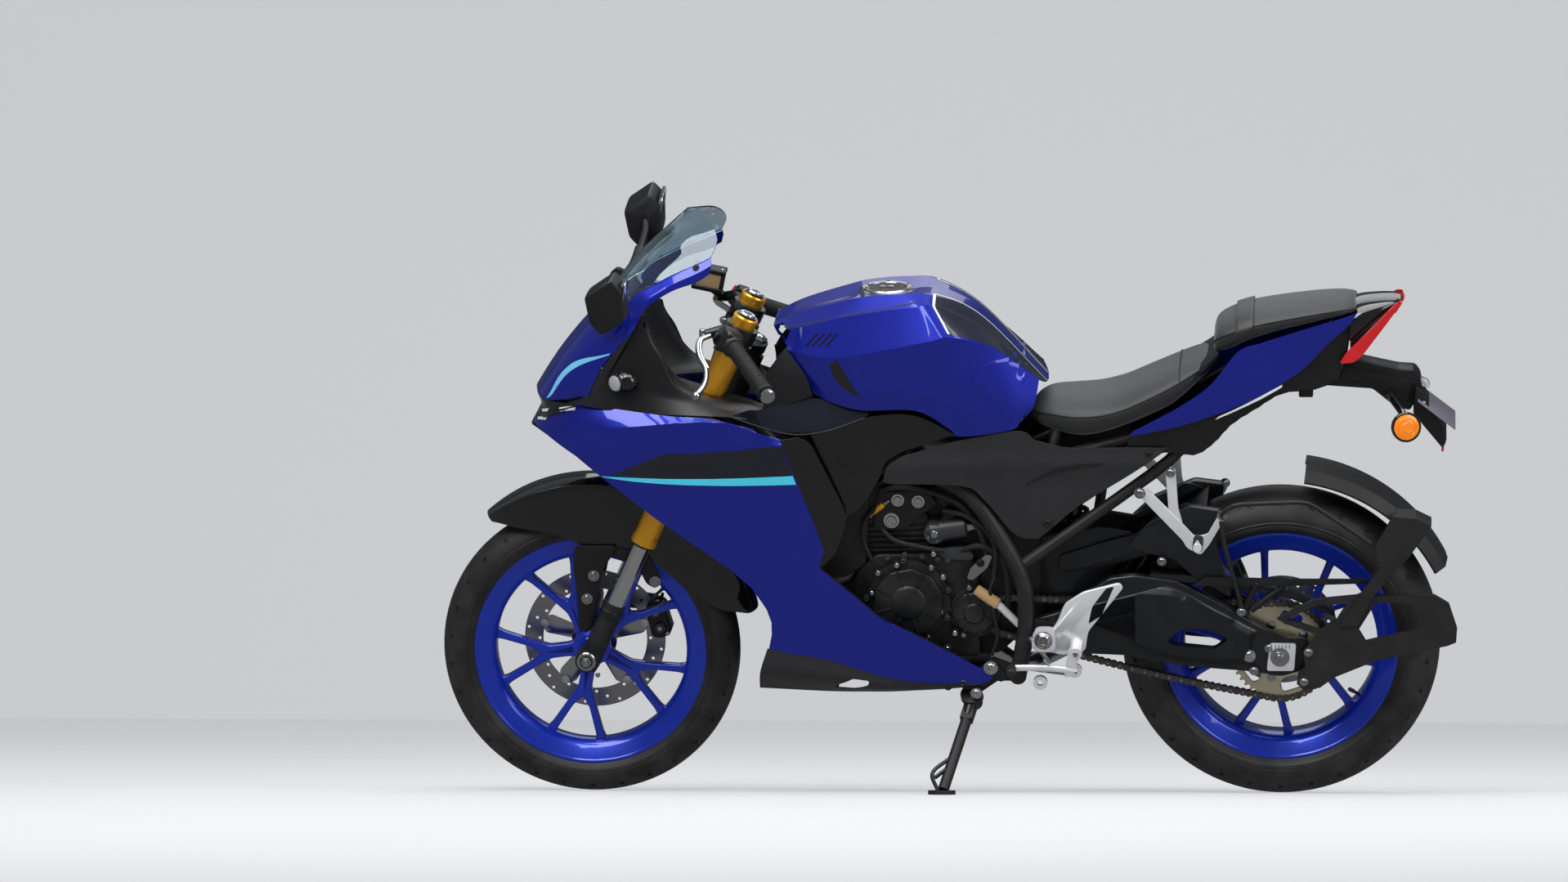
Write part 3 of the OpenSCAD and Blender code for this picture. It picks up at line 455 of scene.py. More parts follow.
AMBER = Finish("amber_lens", (0.95, 0.24, 0.004), 0.0, 0.16, 0.8, Texture.CAST, 0.4, 0.08, glow=0.12)
# Its faint glow suits the tail light; on the rear reflector, which shares this finish, it is a painted glow.
RED_LENS = Finish("red_lens", (0.55, 0.004, 0.008), 0.0, 0.18, 0.9, mottle=0.15, glow=0.08)
RED = Finish("red_switch", (0.55, 0.01, 0.01), 0.0, 0.35, 0.3)
MIRROR = Finish("mirror_glass", (0.80, 0.82, 0.84), 1.0, 0.03, 0.0, mottle=0.0, gloss_spread=0.0)
WHITE_LINE = Finish("pale_edging", (0.75, 0.78, 0.82), 0.2, 0.3, 0.5)
PLATE = Finish("blank_plate", (0.16, 0.15, 0.19), 0.0, 0.4, 0.3, mottle=0.08)
EXHAUST = Finish("silencer_black", (0.022, 0.022, 0.024), 0.6, 0.38, 0.0, Texture.CAST, 0.08, 0.25, dust=0.1)
FILM = Finish("dark_film", (0.01, 0.012, 0.03), 0.1, 0.25, 1.0, mottle=0.2)
TAN = Finish("amber_window", (0.42, 0.27, 0.12), 0.0, 0.25, 0.3, mottle=0.2)


# --------------------------------------------------------------------------
# Building pieces
# --------------------------------------------------------------------------

ACROSS = Matrix.Rotation(math.pi / 2, 4, "X")


def across(x: float, z: float, y: float = 0.0) -> Matrix:
    """A place whose x and y axes lie along x and z, with its z axis to the left side."""
    return Matrix.Translation((x, y, z)) @ ACROSS


def aimed(p: Sequence[float], q: Sequence[float]) -> Matrix:
    """A place at p whose z axis points to q."""
    return Matrix.Translation(p) @ turned(Vector(q) - Vector(p))


def rounded(points: Sequence[Flat], radius: float | Sequence[float], steps: int = 4) -> list[Flat]:
    """An outline with its corners rounded off.

    Args:
        points: the outline's corners.
        radius: one radius, or one for each corner.
        steps: pieces in each rounded corner.

    Returns:
        The rounded outline.
    """
    out: list[Flat] = []
    n = len(points)
    for i, p in enumerate(points):
        here = Vector(p)
        u = Vector(points[i - 1]) - here
        v = Vector(points[(i + 1) % n]) - here
        r = radius if isinstance(radius, (int, float)) else radius[i]
        if r <= 0:
            out.append((here.x, here.y))
            continue
        reach = min(r, u.length * 0.45, v.length * 0.45)
        a, b = here + u.normalized() * reach, here + v.normalized() * reach
        for k in range(steps + 1):
            t = k / steps
            q = a * (1 - t) ** 2 + here * 2 * t * (1 - t) + b * t * t
            out.append((q.x, q.y))
    return out


def circle_outline(cx: float, cy: float, r: float, steps: int = 24) -> list[Flat]:
    """A round outline."""
    return [
        (cx + r * math.cos(math.tau * k / steps), cy + r * math.sin(math.tau * k / steps))
        for k in range(steps)
    ]


class Piece:
    """One visual piece, drawn upright in millimetres and then parked.

    Args:
        name: the piece's name.
        finish: its main finish.
        body: the CAD body that it rides on.
    """

    def __init__(self, name: str, finish: Finish, body: str = "chassis") -> None:
        self.name = name
        self.body = body
        self.finishes = [finish]
        self.bm = bmesh.new()

    def _index(self, finish: Finish | None) -> int:
        """The material index of a finish on this piece."""
        if finish is None:
            return 0
        if finish not in self.finishes:
            self.finishes.append(finish)
        return self.finishes.index(finish)

    def _take(self, other: bmesh.types.BMesh, place: Matrix, finish: Finish | None) -> "Piece":
        """Moves a shape into place, paints it and adds it to the piece."""
        index = self._index(finish)
        if finish is not None or len(self.finishes) == 1:
            for face in other.faces:
                face.material_index = index
        bmesh.ops.transform(other, matrix=place, verts=other.verts)
        if place.determinant() < 0:
            bmesh.ops.reverse_faces(other, faces=other.faces)
        scratch = bpy.data.meshes.new("scratch")
        other.to_mesh(scratch)
        other.free()
        self.bm.from_mesh(scratch)
        bpy.data.meshes.remove(scratch)
        return self

    def lathe(
        self,
        profile: Sequence[Flat],
        place: Matrix = Matrix(),
        steps: int = 48,
        finish: Finish | None = None,
        sweep: float = math.tau,
    ) -> "Piece":
        """Turns a profile of radius and height about the place's z axis.

        Args:
            profile: points of radius and height; a closed one ends on its first point.
            place: where the axis is.
            steps: steps round the turn.
            finish: this part's own finish.
            sweep: angle of the turn, a full one unless told otherwise.

        Returns:
            The piece.
        """
        bm = bmesh.new()
        verts = [bm.verts.new((r, 0, z)) for r, z in profile]
        edges = [bm.edges.new(pair) for pair in zip(verts, verts[1:])]
        bmesh.ops.spin(
            bm,
            geom=verts + edges,
            axis=(0, 0, 1),
            cent=(0, 0, 0),
            steps=steps,
            angle=sweep,
            use_merge=sweep >= math.tau - 1e-6,
        )
        bmesh.ops.remove_doubles(bm, verts=bm.verts, dist=1e-3)
        bmesh.ops.recalc_face_normals(bm, faces=bm.faces)
        return self._take(bm, place, finish)

    def prism(
        self,
        outline: Sequence[Flat],
        low: float,
        high: float,
        place: Matrix = Matrix(),
        edge: float = 0.8,
        finish: Finish | None = None,
        segments: int = 2,
        taper: float = 0.0,
    ) -> "Piece":
        """A plate: an outline given thickness along the place's z axis.

        Args:
            outline: its corners, in the place's x and y.
            low: where it starts.
            high: where it ends.
            place: where it lies.
            edge: width of its softened edges.
            finish: this part's own finish.
            segments: steps across a softened edge.
            taper: how far the far face is inset.

        Returns:
            The piece.
        """
        bm = bmesh.new()
        base = bm.faces.new([bm.verts.new((x, y, low)) for x, y in outline])
        top = bmesh.ops.extrude_face_region(bm, geom=[base])["geom"]
        bmesh.ops.translate(bm, vec=(0, 0, high - low), verts=[v for v in top if isinstance(v, bmesh.types.BMVert)])
        if taper:
            cap = [f for f in top if isinstance(f, bmesh.types.BMFace)]
            bmesh.ops.inset_region(bm, faces=cap, thickness=abs(taper), depth=math.copysign(abs(taper), taper))
        bmesh.ops.recalc_face_normals(bm, faces=bm.faces)
        if edge > 0:
            sharp = [e for e in bm.edges if e.calc_face_angle(0) > math.radians(35)]
            bmesh.ops.bevel(
                bm, geom=sharp, offset=edge, offset_type="OFFSET", segments=segments,
                profile=0.5, affect="EDGES", clamp_overlap=True, material=-1,
            )
        return self._take(bm, place, finish)

    def slab(
        self, outline: Sequence[Flat], y0: float, y1: float, edge: float = 0.8,
        finish: Finish | None = None, segments: int = 2, taper: float = 0.0,
    ) -> "Piece":
        """A plate drawn in side view, from y0 to y1; the taper is on its left face."""
        return self.prism(outline, -y1, -y0, ACROSS, edge, finish, segments, taper)

    def box(
        self, size: Point, place: Matrix, edge: float = 1.0, finish: Finish | None = None, segments: int = 2,
    ) -> "Piece":
        """A block with softened edges, centred on its place."""
        x, y, z = (s / 2 for s in size)
        return self.prism([(-x, -y), (x, -y), (x, y), (-x, y)], -z, z, place, edge, finish, segments)

    def rod(
        self, p: Sequence[float], q: Sequence[float], r: float, r2: float | None = None,
        finish: Finish | None = None, steps: int = 20, edge: float = 0.7,
    ) -> "Piece":
        """A round rod from p to q with softened ends; r2 is its radius at q."""
        h = (Vector(q) - Vector(p)).length
        s = r if r2 is None else r2
        e = min(edge, r * 0.45, s * 0.45, h * 0.3)
        profile = [(0, 0), (r - e, 0), (r, e), (s, h - e), (s - e, h), (0, h)]
        return self.lathe(profile, aimed(p, q), steps, finish)

    def turn(
        self, p: Sequence[float], q: Sequence[float], profile: Sequence[Flat],
        finish: Finish | None = None, steps: int = 28,
    ) -> "Piece":
        """A turned part whose profile of radius and distance runs from p towards q."""
        return self.lathe(profile, aimed(p, q), steps, finish)

    def tube(
        self, points: Sequence[Point], r: float, finish: Finish | None = None,
        sides: int = 12, steps: int = 0, corners: Sequence[int] = (),
    ) -> "Piece":
        """A round tube along a smooth line.

        Args:
            points: the line's points.
            r: the tube's radius.
            finish: this part's own finish.
            sides: sides round the tube.
            steps: steps along it, or 0 for eight to each stretch.
            corners: indices of sharp corners.

        Returns:
            The piece.
        """
        curve = bpy.data.curves.new("path", "CURVE")
        curve.dimensions = "3D"
        curve.bevel_depth = r
        curve.bevel_resolution = max(1, sides // 4)
        curve.use_fill_caps = True
        line = Line(points, corners).run(steps or 8 * (len(points) - 1))
        spline = curve.splines.new("POLY")
        spline.points.add(len(line) - 1)
        for dot, p in zip(spline.points, line):
            dot.co = (*p, 1)
        holder = bpy.data.objects.new("path", curve)
        mesh = bpy.data.meshes.new_from_object(holder)
        bm = bmesh.new()
        bm.from_mesh(mesh)
        bmesh.ops.remove_doubles(bm, verts=bm.verts, dist=1e-3)
        bmesh.ops.recalc_face_normals(bm, faces=bm.faces)
        bpy.data.meshes.remove(mesh)
        bpy.data.objects.remove(holder)
        bpy.data.curves.remove(curve)
        return self._take(bm, Matrix(), finish)

    def skin(
        self,
        at: Callable[[float, float], Sequence[float]],
        nu: int,
        nv: int,
        bands: Sequence[tuple[float, Finish]] = (),
        closed: bool = False,
        place: Matrix = Matrix(),
        finish: Finish | None = None,
    ) -> "Piece":
        """A curved sheet: a grid laid on a surface.

        Args:
            at: the surface, as a point for u and v from 0 to 1.
            nu: steps along u.
            nv: steps along v.
            bands: pairs of upper v and finish, in rising order.
            closed: whether v runs right round to its start.
            place: where the surface's own axes lie.
            finish: this part's own finish.

        Returns:
            The piece.
        """
        bm = bmesh.new()
        bmesh.ops.create_grid(bm, x_segments=nu, y_segments=nv, size=0.5)
        for face in bm.faces:
            v = face.calc_center_median().y + 0.5
            for limit, paint in bands:
                if v <= limit:
                    face.material_index = self._index(paint)
                    break
        for vert in bm.verts:
            vert.co = at(round(vert.co.x + 0.5, 6), round(vert.co.y + 0.5, 6))
        bmesh.ops.remove_doubles(bm, verts=bm.verts, dist=0.01)
        bmesh.ops.dissolve_degenerate(bm, dist=0.005, edges=bm.edges)
        if closed:
            ends = [e for e in bm.edges if e.is_boundary]
            bmesh.ops.holes_fill(bm, edges=ends, sides=0)
            bmesh.ops.recalc_face_normals(bm, faces=bm.faces)
        if finish is None and bands:
            bmesh.ops.transform(bm, matrix=place, verts=bm.verts)
            scratch = bpy.data.meshes.new("scratch")
            bm.to_mesh(scratch)
            bm.free()
            self.bm.from_mesh(scratch)
            bpy.data.meshes.remove(scratch)
            return self
        return self._take(bm, place, finish)

    def ball(
        self, centre: Sequence[float], size: Sequence[float], place: Matrix = Matrix(),
        finish: Finish | None = None, steps: int = 20,
    ) -> "Piece":
        """A rounded blob of three half sizes."""
        bm = bmesh.new()
        bmesh.ops.create_uvsphere(bm, u_segments=steps, v_segments=steps // 2, radius=1.0)
        bmesh.ops.scale(bm, vec=size, verts=bm.verts)
        bmesh.ops.translate(bm, vec=centre, verts=bm.verts)
        return self._take(bm, place, finish)

    def bolt(
        self, p: Sequence[float], out: Sequence[float], r: float = 6.0, finish: Finish | None = None,
        washer: bool = True, socket: bool = True, high: float | None = None,
    ) -> "Piece":
        """A bolt head standing on a surface.

        Args:
            p: where it meets the surface.
            out: the direction it stands out in.
            r: the head's radius.
            finish: its own finish.
            washer: whether it sits on a wider flange.
            socket: a six-sided socket in a round head, or else a six-sided head.
            high: height of the head.

        Returns:
            The piece.
        """
        h = high if high is not None else r * 0.8
        place = aimed(p, Vector(p) + Vector(out))
        if washer:
            self.lathe([(0, 0), (r * 1.4, 0), (r * 1.4, h * 0.16), (r * 1.3, h * 0.22), (0, h * 0.22)], place, 18,
                finish)
        if socket:
            head = [(0, 0), (r, 0), (r, h * 0.8), (r * 0.86, h), (r * 0.52, h), (r * 0.46, h * 0.9)]
            self.lathe(head, place, 18, finish)
            self.lathe([(r * 0.47, h * 0.93), (r * 0.4, h * 0.35), (0, h * 0.3)], place, 6, finish)
        else:
            hexagon = [(r * math.cos(k * math.pi / 3), r * math.sin(k * math.pi / 3)) for k in range(6)]
            self.prism(hexagon, 0, h, place, r * 0.1, finish)
        return self

    def mirror(self) -> "Piece":
        """Adds the piece's mirror image on the other side of the machine."""
        copy = self.bm.copy()
        bmesh.ops.scale(copy, vec=(1, -1, 1), verts=copy.verts)
        bmesh.ops.reverse_faces(copy, faces=copy.faces)
        scratch = bpy.data.meshes.new("scratch")
        copy.to_mesh(scratch)
        copy.free()
        self.bm.from_mesh(scratch)
        bpy.data.meshes.remove(scratch)
        return self

    def make(
        self,
        replaces: Sequence[str] = (),
        wall: float = 0.0,
        edge: float = 0.0,
        smooth: int = 0,
        holes: "Piece | None" = None,
        angle: float = 32.0,
        merge: float = 0.0,
    ) -> bpy.types.Object:
        """Finishes the piece: modifiers, parking, paint and its body.

        Args:
            replaces: the CAD nodes it stands for.
            wall: thickness given inwards to an open sheet, in millimetres.
            edge: width of softened edges added last.
            smooth: levels of subdivision.
            holes: a piece cut out of this one.
            angle: angle above which an edge stays sharp.
            merge: distance at which meeting points join first.

        Returns:
            The finished object.
        """
        if merge:
            bmesh.ops.remove_doubles(self.bm, verts=self.bm.verts, dist=merge)
        mesh = bpy.data.meshes.new(self.name)
        for finish in self.finishes:
            mesh.materials.append(finish.material())
        self.bm.normal_update()
        self.bm.to_mesh(mesh)
        self.bm.free()
        obj = bpy.data.objects.new(self.name, mesh)
        bpy.context.scene.collection.objects.link(obj)
        cutter = None
        if smooth:
            mod = obj.modifiers.new("round", "SUBSURF")
            mod.levels = mod.render_levels = smooth
        if wall:
            mod = obj.modifiers.new("wall", "SOLIDIFY")
            mod.thickness = wall
            mod.offset = -1
            mod.use_even_offset = False
            mod.thickness_clamp = 1.5
        if holes is not None:
            drill = bpy.data.meshes.new("holes")
            holes.bm.to_mesh(drill)
            holes.bm.free()
            cutter = bpy.data.objects.new("holes", drill)
            bpy.context.scene.collection.objects.link(cutter)
            mod = obj.modifiers.new("holes", "BOOLEAN")
            mod.operation = "DIFFERENCE"
            mod.solver = "EXACT"
            mod.use_self = True
            mod.object = cutter
        if edge:
            mod = obj.modifiers.new("edge", "BEVEL")
            mod.width = edge
            mod.segments = 2
            mod.limit_method = "ANGLE"
            mod.angle_limit = math.radians(40)
            mod.use_clamp_overlap = True
        if obj.modifiers:
            bpy.context.view_layer.update()
            ready = obj.evaluated_get(bpy.context.evaluated_depsgraph_get())
            done = bpy.data.meshes.new_from_object(ready)
            obj.modifiers.clear()
            obj.data = done
            done.name = self.name
            bpy.data.meshes.remove(mesh)
            mesh = done
        if cutter is not None:
            bpy.data.objects.remove(cutter)
        mesh.transform(PARK)
        mesh.shade_smooth()
        mesh.set_sharp_from_angle(angle=math.radians(angle))
        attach(obj, self.body)
        if replaces:
            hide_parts(*replaces)
        log.info("%s: %d faces", self.name, len(mesh.polygons))
        return obj


# --------------------------------------------------------------------------
# Wheels and drive
# --------------------------------------------------------------------------


@dataclass
class Wheel:
    """A cast wheel with its tyre, drawn lying flat about its axle.

    Args:
        name: front or rear.
        x: place of the axle along the machine.
        z: height of the axle.
        radius: outer radius of the tyre.
        width: width of the tyre.
        crown: radius of the tyre's crown.
        flange: outer radius of the rim.
        well: inner radius of the rim's barrel.
        rim_half: half width of the rim.
        hub: radius of the hub.
        hub_half: half length of the hub.
        valve: angle of the valve stem, in degrees.
    """

    name: str
    x: float
    z: float
    radius: float
    width: float
    crown: float
    flange: float
    well: float
    rim_half: float
    hub: float
    hub_half: float
    valve: float
    body: str = field(init=False)

    def __post_init__(self) -> None:
        self.body = self.name + "_wheel"

    @property
    def place(self) -> Matrix:
        """The wheel's place, with its z axis along the axle to the left."""
        return across(self.x, self.z)

    def tyre(self) -> None:
        """The tyre: round crown with cut grooves, ribbed side walls and beads."""
        cr = self.radius - self.crown
        side = self.width / 2 - 2
        low = self.flange + 1
        crown = [(cr + self.crown * math.cos(a), self.crown * math.sin(a))
                 for a in (math.radians(lerp(-74, 74, k / 30)) for k in range(31))]
        left = [(low + 8, side), (low + 2, self.rim_half + 4), (low - 1, self.rim_half + 1.5)]
        right = [(r, -z) for r, z in reversed(left)]
        rib = self.crown * math.sin(math.radians(74))
        shoulder = [(lerp(crown[-1][0], low + 8, t), lerp(rib, side, t) + (1.2 if k % 2 else 0))
                    for k, t in enumerate((0.25, 0.32, 0.62, 0.66, 0.84, 0.87))]
        profile = right + [(r, -z) for r, z in reversed(shoulder)] + crown + shoulder + left
        groups, per = 30, 4
        first = len(right) + len(shoulder)
        last = first + len(crown) - 1
        n = len(profile) - 1

        def at(u: float, v: float) -> Point:
            """A point of the tyre for steps round and across it."""
            i = round(u * groups * per)
            j = round(v * n)
            group, part = divmod(i, per)
            share = (0.0, 0.13, 0.42, 0.71)[part]
            r, z = profile[j]
            spread = min(max((j - first) / (last - first), 0), 1) * 2 - 1
            slant = 0.16 * abs(spread) ** 1.3 * math.sin(abs(spread) * math.pi)
            half = 0.5 / groups if spread < 0 else 0.0
            angle = math.tau * ((group + share) / groups + slant + half * min(1.0, abs(spread) * 4))
            return (r * math.cos(angle), r * math.sin(angle), z)

        piece = Piece(self.name + "_tyre_visual", TYRE, self.body)
        piece.skin(at, groups * per, n, place=self.place)
        piece.bm.faces.ensure_lookup_table()
        cut = []
        centre = Vector((self.x, 0, self.z))
        for face in piece.bm.faces:
            d = face.calc_center_median() - centre
            reach = math.hypot(d.x, d.z)
            lean = math.degrees(math.atan2(abs(d.y), reach - cr))
            if not (12 < lean < 62) or reach < cr:
                continue
            longest = max(e.calc_length() for e in face.edges)
            shortest = min((face.verts[k].co - face.verts[k - 1].co).length for k in range(4))
            angle_a = [math.atan2(v.co.z - self.z, v.co.x - self.x) for v in face.verts]
            span = max(angle_a) - min(angle_a)
            if span > math.pi:
                angle_a = [a % math.tau for a in angle_a]
                span = max(angle_a) - min(angle_a)
            face.tag = span < math.tau / groups * 0.24 or False
            if longest > 0 and shortest < math.tau * reach / groups * 0.16 and face.tag:
                cut.append(face)
        bmesh.ops.recalc_face_normals(piece.bm, faces=piece.bm.faces)
        if cut:
            bmesh.ops.inset_region(piece.bm, faces=cut, thickness=0.5, depth=-2.6, use_even_offset=True)
        piece.make([self.name + "_tyre"], angle=40)

    def rim(self) -> None:
        """The cast rim with five forked spokes, its hub and the valve stem."""
        f, w, r0 = self.flange, self.rim_half, self.well
        piece = Piece(self.name + "_rim_visual", WHEEL_BLUE, self.body)
        lip = [(f, w), (f + 1.2, w - 1.5), (f + 1, w - 4), (f - 9, w - 6), (f - 11, w - 18), (f - 20, w - 24)]
        inner = [(r0 + 2, w - 24), (r0 + 4, w - 20), (r0 + 14, w - 9), (f - 8, w - 2.5), (f - 5, w)]
        outer = [(r, z) for r, z in lip] + [(r, -z) for r, z in reversed(lip)]
        under = [(r, -z) for r, z in reversed(inner)] + [(r, z) for r, z in inner]
        piece.lathe(outer + under + [outer[0]], self.place, 96)
        hh = self.hub_half
        piece.lathe(
            [(9, hh), (self.hub * 0.62, hh), (self.hub * 0.68, hh - 2), (self.hub * 0.72, hh - 12),
             (self.hub * 0.98, hh - 18), (self.hub, hh - 22), (self.hub, -hh + 22), (self.hub * 0.98, -hh + 18),
             (self.hub * 0.72, -hh + 12), (self.hub * 0.68, -hh + 2), (self.hub * 0.62, -hh), (9, -hh), (9, hh)],
            self.place, 48,
        )
        for k in range(5):
            self._spoke(piece, 115 + 72 * k, hh - 20)
        a = math.radians(self.valve)
        foot = Vector((math.cos(a), math.sin(a), 0))
        p = self.place @ (foot * (r0 + 4) + Vector((0, 0, w * 0.3)))
        q = self.place @ (foot * (r0 - 26) + Vector((0, 0, w * 0.55)))
        piece.turn(p, q, [(0, 0), (6, 0), (6, 3), (3.4, 5), (3.0, 18), (4.2, 19), (4.2, 30), (3.0, 32), (0, 32)],
            GLOSS_BLACK, 14)
        piece.make([self.name + "_rim"])

    def _spoke(self, piece: Piece, angle: float, half: float) -> None:
        """One forked spoke at an angle; half is its half thickness at the hub."""
        end = self.well + 7
        tip = math.radians(15.5)
        wide = 7.5

        def off(r: float, side: float) -> Flat:
            """A point at radius r on the branch's line, set off sideways."""
            t = (r - 84) / (end - 84)
            x, y = lerp(84, end * math.cos(tip), t), lerp(5, end * math.sin(tip), t)
            d = Vector((end * math.cos(tip) - 84, end * math.sin(tip) - 5)).normalized()
            return (x - d.y * side, y + d.x * side)

        upper = [(self.hub - 8, 17), (self.hub + 8, 13.5), off(86, wide + 0.8), off(120, wide - 0.6),
            off(end - 16, wide), off(end, wide + 4)]
        inner = [off(end, -wide - 4), off(end - 16, -wide), off(124, -wide + 1), (104, 0)]
        lower = [(x, -y) for x, y in reversed(inner[:-1])] + [(x, -y) for x, y in reversed(upper)]
        outline = rounded(upper + inner + lower, 5, 2)
        place = self.place @ Matrix.Rotation(math.radians(angle), 4, "Z")
        piece.prism(outline, -12, 12, place, 3.6, segments=3)
        web = rounded([(self.hub - 10, 9), (66, 5), (92, 2.5), (92, -2.5), (66, -5), (self.hub - 10, -9)], 3, 2)
        piece.prism(web, -half, half, place, 2.5)

    def build(self) -> None:
        """Builds the wheel."""
        self.tyre()
        self.rim()


FRONT = Wheel("front", -684, 295.27, 296, 100, 52, 231, 188, 40, 38, 32, 40)
REAR = Wheel("rear", 684, 313, 313, 140, 72.1, 231, 188, 56, 48, 48, -35)


STEER_BASE: Point = (-642.7, 0, 277)
STEER_AXIS: Point = (0.4226, 0, 0.9063)
STEER_LIMIT = 32
STEER_STEP = 4


def steering_sweep(paths: Sequence[tuple[Sequence[Point], float]], back: bool, low: int) -> Piece:
    """The room that steering parts pass through, cut out of what stands beside them.

    Args:
        paths: middle lines on the left side, each with a radius.
        back: true for the side that swings to the rear.
        low: the smallest steering angle that matters, in degrees.

    Returns:
        A piece to be used as holes.
    """
    cut = Piece("steering_sweep", RUBBER)
    base, axis = Vector(STEER_BASE), Vector(STEER_AXIS)
    for degrees in range(low, STEER_LIMIT + 3, STEER_STEP):
        angle = math.radians(degrees if back else -degrees)
        turn = Matrix.Translation(base) @ Matrix.Rotation(angle, 4, axis) @ Matrix.Translation(-base)
        for points, r in paths:
            for p, q in zip(points, points[1:]):
                cut.rod(tuple(turn @ Vector(p)), tuple(turn @ Vector(q)), r, steps=20)
    cut.mirror()
    return cut


def fork_room() -> Piece:
    """The room behind the turning fork tubes, clamps and handlebar rings."""
    def leg(s: float) -> Point:
        """A point up the left fork leg."""
        return (-678.95 + 0.4226 * s, -95, 293.9 + 0.9063 * s)

    return steering_sweep([([leg(480), leg(782)], 32), ([leg(682), leg(756)], 42)], True, 6)


# --------------------------------------------------------------------------
# Surfaces of the bodywork
# --------------------------------------------------------------------------

FAIRING_BY_X = (
    (-800, 30), (-780, 75), (-740, 122), (-680, 165), (-600, 193), (-500, 208), (-400, 212),
    (-300, 205), (-200, 190), (-100, 176), (0, 164), (110, 152),
)
FAIRING_BY_Z = (
    (235, 0.74), (262, 0.93), (330, 0.95), (450, 0.96), (600, 0.98), (700, 1.0), (790, 1.0),
    (840, 0.94), (900, 0.86), (960, 0.78), (1040, 0.68),
)
BODY_BY_X = (
    (-260, 165), (-100, 152), (0, 146), (150, 134), (300, 130), (560, 122), (700, 108), (830, 88), (930, 62),
)
BODY_BY_Z = ((520, 0.95), (650, 1.0), (800, 1.0), (1000, 0.94))
BAND_TOP = ((-775, 750), (-674, 738), (-617, 744), (-451, 746), (-378, 751), (-290, 759))
CREASE = ((-775, 768), (-712, 781), (-657, 787), (-547, 796), (-478, 803), (-409, 806), (-330, 785), (-283, 764))
TOP_EDGE = (
    (-786, 772), (-710, 821), (-675, 827), (-616, 823), (-501, 813), (-409, 809.5), (-377, 802),
    (-341, 787), (-300, 773), (-284, 766),
)


def fairing_half(x: float, z: float) -> float:
    """Half width of the machine across its fairing."""
    return smooth_knots(FAIRING_BY_X, x) * smooth_knots(FAIRING_BY_Z, z)


def body_half(x: float, z: float) -> float:
    """Half width of the machine across its middle and tail."""
    return smooth_knots(BODY_BY_X, x) * smooth_knots(BODY_BY_Z, z)


def fairing_relief(x: float, z: float) -> float:
    """Half width of the side fairing, with its crease and its rolled top."""
    marks = ((660, 0), (smooth_knots(BAND_TOP, x), 6), (smooth_knots(CREASE, x), -1),
        (smooth_knots(TOP_EDGE, x) + 1, -15))
    lift = marks[-1][1]
    if z < marks[0][0]:
        lift = 0
    else:
        for (z0, a), (z1, b) in zip(marks, marks[1:]):
            if z <= z1:
                lift = lerp(a, b, (z - z0) / max(z1 - z0, 1e-6))
                break
    return fairing_half(x, z) + lift


class Surface:
    """A smooth surface through rows of points, given front to rear.

    Args:
        rows: lines of equally many points, from the outer edge inwards or upwards.
        corners: indices of the points where every row turns sharply.
        creases: indices of the rows along which the surface is creased.
    """

    def __init__(
        self, rows: Sequence[Sequence[Point]], corners: Sequence[int] = (), creases: Sequence[int] = (),
    ) -> None:
        self.rows = [Line(row, corners) for row in rows]
        self.creases = creases

    def at(self, u: float, v: float) -> Point:
        """The point at u along the rows and v across them."""
        return Line([row.at(u) for row in self.rows], self.creases).at(v)

    def normal(self, u: float, v: float) -> Vector:
        """The unit normal, with the rows' direction turned towards v."""
        h = 0.004
        a, b = min(u, 1 - h), min(v, 1 - h)
        here = Vector(self.at(a, b))
        n = (Vector(self.at(a + h, b)) - here).cross(Vector(self.at(a, b + h)) - here)
        return n.normalized()

    def lifted(self, out: float, u0: float = 0, u1: float = 1, v0: float = 0, v1: float = 1) -> Callable:
        """A part of the surface, moved along its normal.

        Args:
            out: how far it is moved.
            u0: where the part starts along the rows.
            u1: where it ends.
            v0: where it starts across them.
            v1: where it ends.

        Returns:
            The part, as a function of its own u and v from 0 to 1.
        """

        def at(u: float, v: float) -> Point:
            """The moved point for the part's own u and v."""
            a, b = lerp(u0, u1, u), lerp(v0, v1, v)
            return tuple(Vector(self.at(a, b)) + self.normal(a, b) * out)

        return at

    def find(self, x: float, z: float) -> tuple[float, float]:
        """The u and v whose point lies at x and z in side view."""
        best = min(
            ((i / 24, j / 16) for i in range(25) for j in range(17)),
            key=lambda q: (self.at(*q)[0] - x) ** 2 + (self.at(*q)[2] - z) ** 2,
        )
        u, w = best
        for _ in range(6):
            h = 1e-3
            p = self.at(u, w)
            pu, pw = self.at(u + h if u < 1 - h else u - h, w), self.at(u, w + h if w < 1 - h else w - h)
            su, sw = (h if u < 1 - h else -h), (h if w < 1 - h else -h)
            a, b = (pu[0] - p[0]) / su, (pw[0] - p[0]) / sw
            c, d = (pu[2] - p[2]) / su, (pw[2] - p[2]) / sw
            det = a * d - b * c
            if abs(det) < 1e-3:
                break
            ex, ez = x - p[0], z - p[2]
            u = min(max(u + (d * ex - b * ez) / det, 0), 1)
            w = min(max(w + (a * ez - c * ex) / det, 0), 1)
        return u, w

    def draped(self, lines: Sequence[Sequence[Flat]], out: float) -> Callable:
        """A patch whose edges are drawn in side view, laid on the surface.

        Args:
            lines: its edge lines from bottom to top, front to rear.
            out: how far it stands off.

        Returns:
            The patch as a function of u and v.
        """
        drawn = [Line(line) for line in lines]

        def at(u: float, v: float) -> Point:
            """The point of the patch for u and v."""
            x, z = Line([line.at(u) for line in drawn]).at(v)
            a, b = self.find(x, z)
            return tuple(Vector(self.at(a, b)) + self.normal(a, b) * out)

        return at


